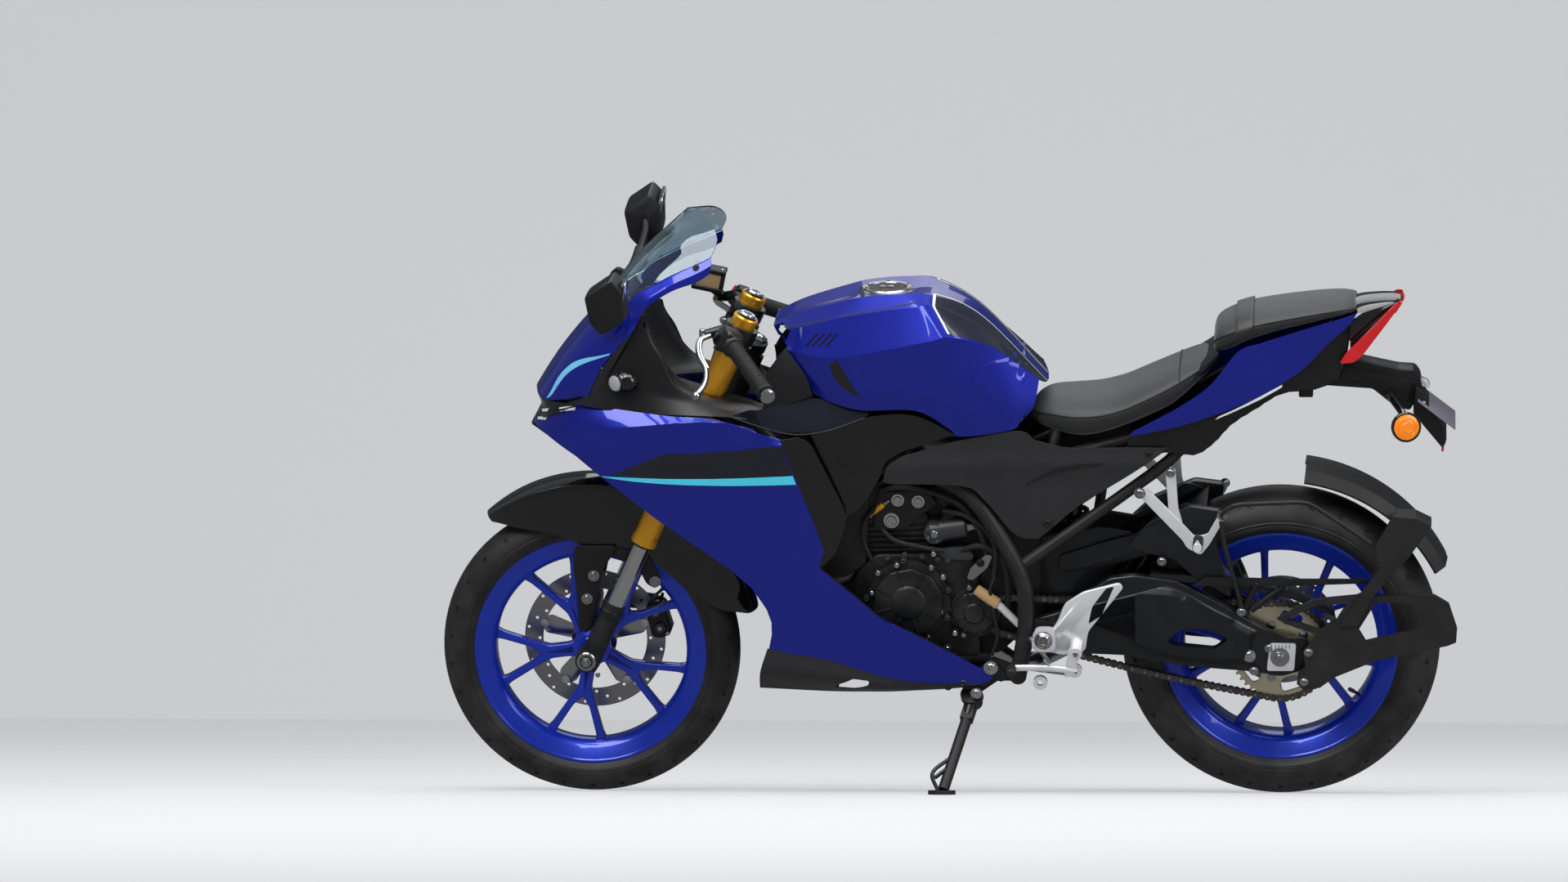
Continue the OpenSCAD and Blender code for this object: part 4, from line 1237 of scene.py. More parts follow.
def side_sheet(
    lines: Sequence[Sequence[Flat]], half: Callable[[float, float], float], out: float = 0.0,
    corners: Sequence[int] = (), smooth: bool = False,
) -> Callable:
    """A left-hand panel drawn in side view.

    Args:
        lines: its lines from bottom to top, each from front to rear.
        half: the half width there.
        out: how far it stands off that half width.
        corners: indices of the points where the lines turn sharply.
        smooth: whether it runs smoothly across the lines.

    Returns:
        The panel as a function of u and v.
    """
    drawn = [Line(line, corners) for line in lines]
    n = len(drawn) - 1

    def at(u: float, v: float) -> Point:
        """The point of the panel for u and v."""
        if smooth:
            x, z = Line([line.at(u) for line in drawn]).at(v)
        else:
            i = min(int(v * n + 1e-9), n - 1)
            a, b = drawn[i].at(u), drawn[i + 1].at(u)
            t = v * n - i
            x, z = lerp(a[0], b[0], t), lerp(a[1], b[1], t)
        return (x, -(half(x, z) + out), z)

    return at


@dataclass
class SideFairings:
    """The two blue side fairings with their stripes and the black pieces behind them."""

    wall: float = 3.0
    decal: float = 0.45

    def lines(self) -> list[list[Flat]]:
        """The fairing's lines in side view, from its lower edge to its top."""
        return [
            [(-315, 343), (-200, 316), (-133, 292), (-67, 272), (13, 262), (100, 260), (118, 268)],
            [(-309, 372), (-200, 345), (-105, 318), (-30, 298), (45, 284), (98, 276), (121, 273)],
            [(-309, 398), (-200, 368), (-100, 338), (-15, 315), (50, 300), (95, 291), (118, 279)],
            [(-318, 425), (-225, 398), (-140, 378), (-75, 365), (-35, 356), (0, 336), (52, 318)],
            [(-345, 468), (-285, 450), (-230, 432), (-190, 425), (-160, 418), (-130, 420), (-98, 401)],
            [(-388, 508), (-345, 500), (-310, 495), (-275, 492), (-250, 494), (-230, 498), (-214, 506)],
            [(-440, 545), (-400, 540), (-360, 537), (-320, 536), (-280, 536), (-240, 538), (-204, 542)],
            [(-533, 610), (-480, 605), (-425, 602), (-370, 601), (-320, 602), (-270, 604), (-226, 608)],
            [(-600, 661), (-540, 658), (-480, 656), (-425, 655), (-370, 655), (-305, 656), (-245, 658)],
            [(-690, 727), (-640, 737), (-585, 745), (-525, 744), (-451, 746), (-378, 751), (-280, 757)],
            [(-760, 762), (-705, 781), (-657, 787), (-580, 793), (-478, 803), (-395, 802), (-284, 763)],
            [(-784, 772), (-737, 802), (-690, 825), (-616, 823), (-501, 813), (-395, 806), (-284, 767)],
        ]

    def build(self) -> None:
        """Builds the fairings, their stripes and the black pieces behind them."""
        piece = Piece("side_fairings_visual", BLUE)
        lines = self.lines()
        piece.skin(side_sheet(lines, fairing_relief), 72, 4 * (len(lines) - 1))
        piece.mirror()
        piece.make(["side_fairings"], wall=self.wall, edge=0.6, angle=14)
        stripes = Piece("side_stripes", NAVY_BLACK)
        band = [
            [(-618, 694), (-526, 692), (-450, 692), (-388, 694), (-320, 695), (-262, 697)],
            [(-509, 743.5), (-470, 744), (-430, 746), (-378, 750), (-330, 754), (-281, 757)],
        ]
        stripes.skin(side_sheet(band, fairing_relief, self.decal), 40, 6)
        cyan = [
            [(-637, 689.5), (-573, 684), (-481, 680), (-420, 679), (-366, 678.5), (-255, 678)],
            [(-637, 690.5), (-573, 691.5), (-481, 692), (-420, 693), (-366, 694), (-261, 696)],
        ]
        stripes.skin(side_sheet(cyan, fairing_relief, self.decal + 0.1), 40, 2, finish=CYAN)
        stripes.mirror()
        stripes.make(wall=0.4)
        wedge = Piece("fairing_rear_panels", GLOSS_BLACK)
        wedge.skin(
            side_sheet(
                [
                    [(-215, 500), (-200, 512), (-184, 528)],
                    [(-209, 545), (-188, 560), (-166, 578)],
                    [(-218, 578), (-190, 592), (-163, 611)],
                    [(-240, 627), (-213, 645), (-186, 668)],
                    [(-260, 679), (-234, 696), (-209, 718)],
                    [(-275, 726), (-250, 742), (-228, 757)],
                    [(-290, 766), (-270, 768), (-250, 771)],
                ],
                lambda x, z: fairing_half(x, z) - 6 - 0.22 * max(0.0, x + 240), smooth=True,
            ),
            10, 36,
        )
        wedge.mirror()
        wedge.make(wall=2.5, edge=0.8)
        self.triangle()
        self.inner()

    def triangle(self) -> None:
        """The smoked panel on top, between the fairing and the tank."""
        top = Piece("fairing_top_panels", NAVY_BLACK)
        top.skin(
            side_sheet(
                [
                    [(-379, 806), (-330, 791), (-290, 778), (-251, 772), (-206, 775), (-159, 786), (-125, 797)],
                    [(-379, 808), (-342, 812), (-300, 808), (-255, 802), (-206, 800), (-160, 800), (-118, 801)],
                    [(-379, 810), (-350, 818), (-325, 819), (-270, 830), (-227, 836), (-160, 824), (-113, 809)],
                ],
                lambda x, z: 186 - 0.16 * (x + 380) - 0.45 * max(0.0, z - 780), smooth=True,
            ),
            40, 10,
        )
        top.tube([(-379, -186, 809), (-330, -180, 790), (-285, -176, 776), (-245, -172, 771), (-190, -160, 777),
            (-122, -146, 798)], 1.6, SATIN_BLACK)
        top.mirror()
        top.make(wall=2.5)

    def inner(self) -> None:
        """The gloss panel beside the cylinder head, with its pressed swoosh."""

        def half(x: float, z: float) -> float:
            """Half width, with a hollow where the swoosh is pressed in."""
            along = Vector((0.62, -0.78))
            d = Vector((x + 165, z - 725))
            a = d.dot(along) / 52
            b = (d.x * along.y - d.y * along.x) / 20
            dent = 9 * math.exp(-((a * a + b * b) ** 1.5))
            return 140 - 0.06 * (x + 200) - dent

        panel = Piece("inner_panels_visual", GLOSS_BLACK)
        panel.skin(
            side_sheet(
                [
                    [(-186, 535), (-180, 555), (-172, 580), (-160, 597), (-140, 612), (-121, 632)],
                    [(-190, 610), (-180, 625), (-165, 640), (-148, 650), (-125, 660), (-98, 672)],
                    [(-214, 690), (-190, 695), (-165, 702), (-140, 710), (-105, 718), (-70, 714)],
                    [(-232, 745), (-190, 745), (-140, 745), (-90, 746), (-30, 744), (30, 752)],
                    [(-246, 770), (-206, 774), (-146, 785), (-110, 799), (-26, 799), (59, 756)],
                ],
                half, smooth=True,
            ),
            48, 40,
        )
        panel.mirror()
        panel.make(["inner_panels"], wall=2.5, edge=0.6)


@dataclass
class Nose:
    """The nose panel with its screen, light strips and the black cowl inside it."""

    wall: float = 3.0

    def panel(self) -> Surface:
        """The blue upper panel, from its outer edge to the centre line."""
        return Surface(
            [
                [(-702, -138, 834), (-664, -156, 846), (-653, -161, 868), (-634, -163, 905), (-600, -161, 946),
                (-570, -152, 985)],
                [(-746, -116, 827), (-712, -138, 852), (-683, -146, 880), (-655, -150, 912), (-624, -149, 952),
                (-586, -142, 1008)],
                [(-765, -88, 829), (-736, -105, 864), (-706, -112, 897), (-676, -116, 930), (-646, -117, 962),
                (-606, -112, 1016)],
                [(-774, -55, 831), (-749, -64, 868), (-722, -68, 904), (-694, -71, 938), (-665, -74, 970),
                (-630, -74, 1010)],
                [(-780, 0, 833), (-757, 0, 870), (-731, 0, 908), (-705, 0, 941), (-678, 0, 972), (-648, 0, 1002)],
            ],
        )

    def build(self) -> None:
        """Builds the nose, the screen and all that belongs to them."""
        skin = self.panel()
        piece = Piece("nose_fairing_visual", BLUE)
        piece.skin(skin.at, 48, 40)
        arm = Surface(
            [
                [(-600, -161, 946), (-574, -160, 972), (-556, -160, 1006), (-536, -159, 1030), (-492, -156, 1056),
                (-448, -152, 1071), (-421, -146, 1086)],
                [(-590, -156, 966), (-568, -156, 1000), (-550, -156, 1030), (-528, -155, 1047), (-488, -152, 1070),
                (-446, -147, 1088), (-417, -142, 1103)],
                [(-586, -142, 1008), (-578, -141, 1034), (-556, -141, 1052), (-527, -140, 1067), (-490, -138, 1086),
                (-449, -134, 1103), (-419, -130, 1117)],
            ],
            creases=[1],
        )
        piece.skin(arm.at, 48, 8)
        piece.mirror()
        piece.make(["nose_fairing"], wall=self.wall, edge=0.6, merge=1.2, angle=24)
        stripes = Piece("nose_stripes", PALE_CYAN)
        line = [
            [(-752, 829), (-739, 838), (-714, 874), (-689, 896), (-662, 911), (-634, 923), (-620, 928)],
            [(-746, 833), (-724, 874), (-698, 901), (-672, 915), (-645, 923.5), (-630, 928), (-617, 932)],
        ]
        stripes.skin(skin.draped([line[0], [(x, z) for x, z in line[1]]], 0.5), 44, 2)
        stripes.mirror()
        stripes.make(wall=0.5)
        self.screen()
        self.cowl()
        self.lights()

    def screen(self) -> None:
        """The clear screen, standing in its frame on screws."""
        glass = Surface(
            [
                [(-580, -138, 1030), (-558, -138, 1049), (-520, -137, 1068), (-470, -134, 1091), (-420, -128, 1114)],
                [(-600, -118, 1026), (-580, -118, 1052), (-540, -116, 1084), (-480, -112, 1120), (-408, -106, 1148)],
                [(-628, -72, 1012), (-602, -74, 1054), (-560, -74, 1100), (-502, -72, 1146), (-428, -66, 1176)],
                [(-644, 0, 1004), (-614, 0, 1046), (-578, 0, 1090), (-530, 0, 1138), (-474, 0, 1188)],
            ],
        )
        piece = Piece("windscreen_visual", SCREEN)
        piece.skin(glass.at, 32, 24)
        piece.mirror()
        piece.make(["windscreen"], wall=2.6, merge=0.5, angle=50)
        fit = Piece("screen_fittings", GLOSS_BLACK)
        for x, z in ((-541, 1056), (-447, 1098)):
            fit.bolt((x, -140, z), (0.1, -0.9, 0.4), 5, MATT_BLACK, high=3)
        fit.tube([(-646, 0, 1003), (-630, -72, 1011), (-602, -118, 1024), (-582, -139, 1030)], 2.2, RUBBER)
        fit.mirror()
        fit.make()

    def cowl(self) -> None:
        """The black cowl inside the nose, with its grey flange."""
        piece = Piece("inner_cowl", SATIN_BLACK)
        rows = [
            [(-704, -150, 831), (-650, -166, 824), (-590, -172, 817), (-520, -176, 813), (-450, -178, 811),
            (-380, -176, 807), (-330, -168, 797)],
            [(-682, -154, 838), (-634, -160, 852), (-585, -158, 866), (-524, -160, 848), (-464, -160, 834),
            (-395, -158, 818), (-325, -150, 812)],
            [(-664, -152, 843), (-622, -152, 892), (-572, -148, 940), (-521, -144, 920), (-492, -146, 868),
            (-430, -142, 838), (-322, -134, 818)],
            [(-656, -146, 850), (-614, -146, 902), (-556, -140, 1002), (-534, -132, 946), (-506, -128, 894),
            (-450, -122, 846), (-322, -118, 820)],
        ]
        piece.skin(Surface(rows, creases=[1]).at, 48, 18)
        dash = [
            [(-556, -140, 1002), (-534, -132, 946), (-506, -128, 894), (-450, -122, 846), (-322, -118, 820)],
            [(-560, -96, 1008), (-540, -92, 950), (-520, -88, 900), (-480, -84, 858), (-400, -84, 838)],
            [(-600, 0, 1014), (-590, 0, 960), (-580, 0, 905), (-560, 0, 870), (-520, 0, 850)],
        ]
        piece.skin(Surface(dash).at, 24, 14)
        piece.mirror()
        piece.make(["dashboard"], wall=2.5, merge=0.6,
            holes=steering_sweep([([(-424, -160, 968), (-436, -186, 962), (-440, -222, 943), (-424, -256, 922)], 15)],
            False, 6))
        flange = Piece("cowl_flange", MATT_GREY)
        flange.skin(
            Surface(
                [
                    [(-643, -156, 846), (-630, -156, 872), (-617, -156, 896), (-598, -155, 930), (-577, -153, 964)],
                    [(-659, -160, 847), (-648, -161, 876), (-633, -162, 902), (-615, -161, 926), (-588, -157, 964)],
                ],
            ).at, 20, 3,
        )
        flange.mirror()
        flange.make(wall=2)

    def lights(self) -> None:
        """The dark front intake with its two rows of running lights and the lamp."""
        chin = Piece("nose_intake", GLOSS_BLACK)
        rows = [
            [(-690, -150, 828), (-688, -149, 822), (-712, -136, 812), (-760, -80, 774)],
            [(-746, -112, 826), (-742, -116, 812), (-752, -104, 796), (-776, -58, 768)],
            [(-768, -70, 829), (-762, -74, 812), (-766, -66, 794), (-786, -34, 760)],
            [(-779, 0, 832), (-768, 0, 812), (-770, 0, 794), (-791, 0, 754)],
        ]
        chin.skin(Surface(rows).at, 18, 24)
        chin.skin(
            Surface(
                [
                    [(-690, -140, 722), (-730, -116, 742), (-786, -62, 766)],
                    [(-700, -90, 724), (-740, -74, 742), (-789, -30, 760)],
                    [(-705, 0, 726), (-745, 0, 740), (-792, 0, 754)],
                ]
            ).at, 18, 12,
        )
        chin.mirror()
        chin.make(wall=2.5, merge=0.6)
        strips = Piece("running_lights", WHITE_LINE)
        for low, high in (
            (((-757, -100, 801), (-722, -128, 808), (-688, -146, 815)),
            ((-758, -99, 806), (-722, -127, 816), (-686, -146, 825))),
            (((-770, -80, 781), (-752, -97, 783), (-734, -112, 786)),
            ((-768, -81, 786), (-748, -98, 791), (-727, -113, 796))),
        ):
            strips.skin(Surface([[(x - 3, y - 3, z) for x, y, z in low], [(x - 3, y - 3, z) for x, y, z in high]]).at,
                20, 2)
        strips.mirror()
        strips.make(wall=3, edge=0.5)
        lamp = Piece("headlight_visual", LENS)
        lamp.lathe([(0, 0), (14, 1.5), (24, 6), (30, 14), (31, 30), (0, 30)],
            Matrix.Translation((-772, 0, 790)) @ turned(Vector((1, 0, 0))), 36)
        lamp.lathe([(31, 12), (35, 14), (35, 44), (33, 46), (0, 46)],
            Matrix.Translation((-768, 0, 790)) @ turned(Vector((1, 0, 0))), 36, GLOSS_BLACK)
        lamp.make(["headlight"])


@dataclass
class Tank:
    """The fuel tank with its film, louvres and filler ring."""

    cap_x: float = -85.0
    cap_z: float = 1021.0

    def skin(self) -> Surface:
        """The tank's left half, from its lower edge to its centre line."""
        return Surface(
            [
                [(-222, -132, 845), (-187, -140, 828), (-127, -146, 814), (-22, -148, 813), (42, -147, 777),
                (66, -146, 761), (161, -134, 771), (182, -118, 786)],
                [(-262, -124, 890), (-205, -145, 872), (-132, -152, 850), (-25, -156, 852), (40, -154, 836),
                (82, -149, 826), (160, -128, 822), (206, -104, 812)],
                [(-294, -112, 934), (-236, -142, 925), (-171, -152, 921), (-84, -155, 936), (10, -152, 954),
                (48, -146, 960), (130, -116, 930), (216, -84, 862)],
                [(-302, -92, 962), (-240, -122, 976), (-172, -128, 994), (-86, -126, 1008), (-22, -120, 1014),
                (14, -112, 1014), (112, -80, 956), (224, -62, 852)],
                [(-304, -54, 968), (-250, -64, 992), (-162, -74, 1017), (-120, -78, 1026), (-50, -80, 1031),
                (14, -74, 1027), (104, -52, 978), (229, -38, 846)],
                [(-306, 0, 962), (-250, 0, 984), (-165, 0, 1006), (-120, 0, 1018), (-50, 0, 1022), (14, 0, 1026),
                (102, 0, 984), (231, 0, 842)],
            ],
            creases=[2, 3, 4],
        )

    def build(self) -> None:
        """Builds the tank and everything fixed to it."""
        skin = self.skin()
        piece = Piece("fuel_tank_visual", BLUE)
        piece.skin(skin.at, 84, 50)
        ends = [
            [(-222, -132, 845), (-262, -124, 890), (-294, -112, 934), (-302, -92, 962), (-304, -54, 968),
            (-306, 0, 962)],
            [(-222, -60, 845), (-250, -60, 890), (-270, -50, 930), (-290, -40, 940), (-300, -20, 945),
            (-300, 0, 945)],
        ]
        piece.skin(lambda u, v: Surface(ends).at(u, v), 20, 3)
        piece.mirror()
        piece.make(["fuel_tank"], wall=3, merge=0.8, angle=20, holes=fork_room())
        film = Piece("tank_film", FILM)
        film.skin(skin.lifted(0.5, 5 / 7, 1, 0.415, 0.83), 30, 16)
        film.skin(skin.lifted(0.8, 5 / 7 - 0.008, 5 / 7 + 0.003, 0.42, 0.83), 2, 20, finish=WHITE_LINE)
        film.skin(skin.lifted(0.8, 5 / 7, 1, 0.828, 0.842), 30, 2, finish=WHITE_LINE)
        film.skin(skin.lifted(0.6, 0.72, 0.985, 0.62, 0.64), 30, 1, finish=RUBBER)
        film.mirror()
        film.make(wall=0.4)
        marks = Piece("tank_louvres", GLOSS_BLACK)
        for k in range(4):
            x = -238 + 13 * k
            marks.skin(skin.draped([[(x, 941), (x + 12, 953), (x + 24, 966)],
                [(x + 4, 941), (x + 16, 953), (x + 28, 966)]], 0.5), 8, 1)
        marks.skin(
            skin.draped(
                [
                    [(-190, 905), (-180, 880), (-160, 858), (-131, 841)],
                    [(-176, 917), (-162, 895), (-148, 868), (-129, 843)],
                ],
                0.5,
            ),
            14, 4,
        )
        for line in (
            [(-289, 966), (-220, 983), (-153, 999), (-86, 1010), (-20, 1020)],
        ):
            marks.skin(skin.draped([line, [(x, z + 1.4) for x, z in line]], 0.4), 30, 1, finish=RUBBER)
        marks.mirror()
        marks.make(wall=0.4)
        self.knee()
        self.cap()

    def knee(self) -> None:
        """The lighter pressed patches where the rider's knees rest."""
        skin = self.skin()
        knee = Piece("tank_knee_pads", BLUE)
        knee.skin(
            skin.draped(
                [
                    [(90, 868), (115, 838), (141, 822), (152, 800), (162, 789), (170, 812)],
                    [(83, 879), (111, 903), (140, 908), (165, 910), (185, 900), (197, 888)],
                ],
                1.0,
            ),
            26, 12,
        )
        knee.mirror()
        knee.make(wall=1.0, edge=0.4)
        cover = Piece("tank_front_covers", SATIN_BLACK)
        cover.skin(
            Surface(
                [
                    [(-320, -150, 815), (-290, -150, 822), (-258, -148, 832), (-224, -146, 843)],
                    [(-318, -142, 856), (-296, -144, 866), (-270, -144, 874), (-236, -142, 880)],
                    [(-322, -132, 900), (-306, -134, 908), (-286, -134, 912), (-262, -132, 916)],
                    [(-313, -122, 944), (-306, -122, 950), (-300, -120, 955), (-294, -118, 955)],
                ]
            ).at, 16, 20,
        )
        cover.mirror()
        cover.make(wall=2.5, holes=fork_room())

    def cap(self) -> None:
        """The filler ring on the tank and the hinged cap in it."""
        place = Matrix.Translation((self.cap_x, 0, self.cap_z))
        ring = Piece("filler_ring", STEEL)
        ring.lathe([(38.4, -6), (38.4, 5), (40, 7.5), (48, 8), (52.5, 5.5), (54, 0), (54, -6), (38.4, -6)], place, 56)
        for k in range(6):
            a = math.tau * (k + 0.5) / 6
            ring.bolt((self.cap_x + 46 * math.cos(a), 46 * math.sin(a), self.cap_z + 7), (0, 0, 1), 3, GLOSS_BLACK,
                washer=False, high=2)
        ring.make()
        cap = Piece("fuel_cap_visual", MATT_GREY, "fuel_cap")
        cap.lathe([(0, -1), (36.2, -1), (37, 0), (37, 5.5), (35, 7), (26, 7.6), (24, 6.6), (0, 6.8)], place, 56)
        cap.prism(rounded([(-14, -8), (14, -8), (14, 8), (-14, 8)], 6, 4), 6, 9.5, place, 1, STEEL)
        cap.prism(circle_outline(0, 0, 4.4), 9, 10.4, place, 0.4, GLOSS_BLACK)
        cap.rod((self.cap_x - 39, -12, 1029), (self.cap_x - 39, 12, 1029), 3.4, finish=STEEL)
        cap.box((14, 22, 4), Matrix.Translation((self.cap_x - 35, 0, 1026)), 1, STEEL)
        cap.make(["fuel_cap"])


@dataclass
class Seats:
    """The rider's stepped seat and the passenger's pad with its strap."""

    rider: tuple = (
        (200, 52, 776, 796), (214, 84, 766, 808), (240, 110, 757, 816), (285, 130, 748, 818), (333, 137, 753, 821),
        (380, 139, 768, 832), (430, 135, 788, 854), (480, 126, 814, 877), (530, 106, 858, 897), (556, 84, 884, 902),
    )
    pillion: tuple = (
        (556, 66, 916, 934), (562, 88, 910, 956), (585, 101, 916, 972), (630, 108, 938, 986), (690, 108, 957, 996),
        (750, 103, 972, 1003), (800, 95, 984, 1007), (828, 80, 991, 1005), (834, 60, 994, 1002),
    )

    @staticmethod
    def ring(stations: Sequence[tuple], u: float, v: float, puff: float) -> Point:
        """A point of a cushion.

        Args:
            stations: places along it with half width, bottom and top.
            u: how far along it, 0 to 1.
            v: how far round it, 0 to 1.
            puff: height of the crown across it.

        Returns:
            The point.
        """
        x, w, low, top = Line(stations).at(u)
        a = math.tau * v - math.pi / 2
        c, s = math.cos(a), math.sin(a)
        y = w * math.copysign(abs(c) ** 0.62, c)
        z = (low + top) / 2 + (top - low) / 2 * math.copysign(abs(s) ** 0.7, s)
        if s > 0:
            z += puff * (1 - (y / w) ** 2) * min(1.0, 6 * u, 6 * (1 - u))
            y -= math.copysign(5 * s, c)
        return (x, y, z)

    def cushion(self, name: str, stations: Sequence[tuple], puff: float, node: str) -> None:
        """One upholstered cushion: its cover, and its welts as a second piece."""
        piece = Piece(name, SEAT)
        around = 72
        piece.skin(
            lambda u, v: self.ring(stations, u, v, puff), 64, around,
            bands=[(0.2, SEAT_SIDE), (0.285, SEAT_SIDE), (0.715, SEAT), (1.01, SEAT_SIDE)],
        )
        ends = [e for e in piece.bm.edges if e.is_boundary]
        bmesh.ops.holes_fill(piece.bm, edges=ends, sides=0)
        bmesh.ops.recalc_face_normals(piece.bm, faces=piece.bm.faces)
        obj = piece.make([node], smooth=1, merge=0.05, angle=60)
        ease = bpy.data.textures.new(name + "_folds", "CLOUDS")
        ease.noise_scale = 0.07
        folds = obj.modifiers.new("folds", "DISPLACE")
        folds.texture = ease
        folds.strength = 0.0022
        folds.mid_level = 0.5
        welt = Piece(name + "_welts", RUBBER)
        for v in (0.285, 0.715):
            line = [self.ring(stations, u / 40, v, puff) for u in range(1, 40)]
            welt.tube([(x, y * 1.004, z) for x, y, z in line], 1.7, sides=8, steps=76)
        if "rider" in name:
            cross = [self.ring(stations, 0.80, 0.285 + 0.43 * k / 16, puff) for k in range(17)]
            welt.tube([(x, y, z + 0.2) for x, y, z in cross], 1.5, sides=8, steps=32)
        welt.make()

    def build(self) -> None:
        """Builds both cushions, the strap and the lip behind the rider."""
        self.cushion("rider_cushion", self.rider, 5, "rider_seat")
        self.cushion("pillion_cushion", self.pillion, 6, "pillion_seat")
        strap = Piece("pillion_strap", SEAT_SIDE)

        def band(u: float, v: float) -> Point:
            """A point of the strap: u along the machine, v across the cushion."""
            x, y, z = self.ring(self.pillion, lerp(0.30, 0.385, u), lerp(0.2, 0.8, v), 6)
            return (x, y * 1.02, z + 2.4)

        strap.skin(band, 6, 40)
        strap.make(wall=2.6, edge=0.8)
        lip = Piece("seat_step", GLOSS_BLACK)
        lip.skin(
            Surface(
                [
                    [(520, -112, 862), (545, -106, 880), (566, -96, 905)],
                    [(530, -104, 890), (548, -100, 902), (566, -92, 918)],
                    [(536, 0, 898), (552, 0, 908), (566, 0, 922)],
                ]
            ).at, 12, 16,
        )
        lip.mirror()
        lip.make(wall=3)


@dataclass
class Tail:
    """The tail: blue panels, black underside, light, plate carrier and signals."""

    wall: float = 3.0
    signal_x: float = 930.0
    signal_z: float = 782.0

    def build(self) -> None:
        """Builds the tail and its fittings."""
        piece = Piece("tail_panels_visual", BLUE)
        lines = [
            [(392, 757), (440, 766), (490, 777), (547, 795), (600, 814), (653, 838), (695, 862), (735, 890),
            (775, 930), (826, 975)],
            [(396, 762), (445, 780), (496, 800), (552, 822), (607, 850), (660, 880), (705, 905), (745, 930),
            (785, 955), (830, 984)],
            [(400, 768), (450, 794), (500, 822), (552, 860), (605, 924), (650, 940), (700, 955), (745, 968),
            (790, 980), (836, 993)],
        ]
        bulge = lambda x, z: body_half(x, z) + 3
        piece.skin(side_sheet(lines, bulge, smooth=False), 60, 12)
        piece.mirror()
        piece.make(["tail_panels"], wall=self.wall, edge=0.8, angle=12)
        under = Piece("tail_underside", SATIN_BLACK)
        below = [
            [(385, 700), (425, 716), (470, 724), (520, 719), (556, 742), (590, 778), (640, 810), (690, 838),
            (760, 846), (800, 866)],
            [(388, 730), (430, 742), (480, 752), (533, 760), (578, 782), (620, 805), (668, 834), (712, 860),
            (768, 880), (815, 905)],
            [(392, 758), (440, 767), (490, 778), (547, 796), (600, 815), (653, 840), (695, 864), (735, 892),
            (775, 932), (826, 978)],
        ]
        under.skin(side_sheet(below, lambda x, z: body_half(x, z) - 8, smooth=True), 60, 10)
        under.mirror()
        floor = [
            [(x, -(body_half(x, z) - 8), z) for x, z in below[0]],
            [(x, -40, z - 4) for x, z in below[0]],
            [(x, 0, z - 4) for x, z in below[0]],
        ]
        under.skin(Surface(floor).at, 40, 8)
        other = [[(x, -y, z) for x, y, z in row] for row in floor]
        under.skin(Surface(other[::-1]).at, 40, 8)
        under.make(wall=2.5, merge=0.6)
        edging = Piece("tail_edging", WHITE_LINE)
        edging.skin(
            side_sheet([[(560, 790), (600, 807), (650, 830), (690, 852)],
            [(566, 796), (606, 814), (650, 836), (690, 857)]], bulge, 1.0), 24, 1,
        )
        edging.mirror()
        edging.make(wall=0.6)
        end = Piece("tail_end", GLOSS_BLACK)
        sections = [(822, 86, 905, 1002), (846, 80, 932, 1008), (880, 66, 966, 1011), (905, 52, 990, 1011),
            (920, 40, 1000, 1009)]

        def body(u: float, v: float) -> Point:
            """A point of the black tail end."""
            x, w, low, top = Line(sections).at(u)
            a = math.tau * v - math.pi / 2
            c, s = math.cos(a), math.sin(a)
            return (x, w * math.copysign(abs(c) ** 0.7, c),
                (low + top) / 2 + (top - low) / 2 * math.copysign(abs(s) ** 0.8, s))

        end.skin(body, 20, 48, closed=True)
        end.make(angle=30, merge=0.05)
        light = Piece("tail_light_visual", RED_LENS)
        light.skin(
            Surface(
                [
                    [(803, -98, 899), (818, -95, 921), (862, -85, 962), (905, -64, 1003), (920, -48, 1010)],
                    [(806, -96, 895), (836, -89, 902), (872, -77, 944), (904, -62, 984), (925, -47, 1008)],
                ]
            ).at, 30, 6,
        )
        light.mirror()
        light.skin(
            Surface(
                [
                    [(922, -46, 1008), (925, 0, 1009), (922, 46, 1008)],
                    [(908, -48, 986), (912, 0, 984), (908, 48, 986)],
                ]
            ).at, 16, 6,
        )
        light.make(["tail_light"], wall=4, edge=0.8)
        self.plate()
        self.signals()

    def plate(self) -> None:
        """The plate carrier's arm, the blank plate, its lamp and reflector."""
        piece = Piece("plate_holder_visual", SATIN_BLACK)
        arm = rounded([(752, 838), (865, 830), (905, 797), (938, 786), (962, 830), (958, 852), (948, 866), (915, 868),
            (797, 894)], 6)
        piece.slab(arm, -34, 34, 4, taper=0)
        rib = rounded([(800, 850), (870, 842), (912, 812), (936, 806), (944, 846), (900, 856), (806, 878)], 5)
        piece.slab(rib, -38, 38, 2)
        carrier = rounded([(944, 786), (1000, 717), (1006, 722), (1010, 736), (957, 832), (950, 838)], 4)
        piece.slab(carrier, -56, 56, 2.5)
        piece.prism(rounded([(-14, -12), (14, -12), (14, 12), (-14, 12)], 4), -30, 30, across(735, 823), 3)
        piece.make(["plate_holder"])
        plate = Piece("blank_number_plate", PLATE)
        lean = Matrix.Translation((990, 0, 786)) @ Matrix.Rotation(math.radians(-52), 4, "Y")
        plate.box((2.0, 150, 92),
            lean @ Matrix.Rotation(math.radians(90), 4, "Y") @ Matrix.Rotation(math.radians(-90), 4, "Y"), 0.6)
        for y in (-55, 55):
            plate.bolt(tuple(lean @ Vector((1, y, 32))), (0.62, 0, 0.79), 4, STEEL)
        plate.make()
        # The reflector takes the red lens finish and with it a faint glow: painted glow, since a reflector gives no
        # light of its own.
        red = Piece("rear_reflector", RED_LENS)
        red.slab(rounded([(999, 700), (1004, 700), (1006, 734), (1001, 734)], 2), -22, 22, 1)
        red.make()
        lamp = Piece("plate_lamp", LENS)
        lamp.slab(rounded([(956, 846), (974, 838), (978, 826), (962, 830)], 4), -16, 16, 1.5)
        lamp.make()

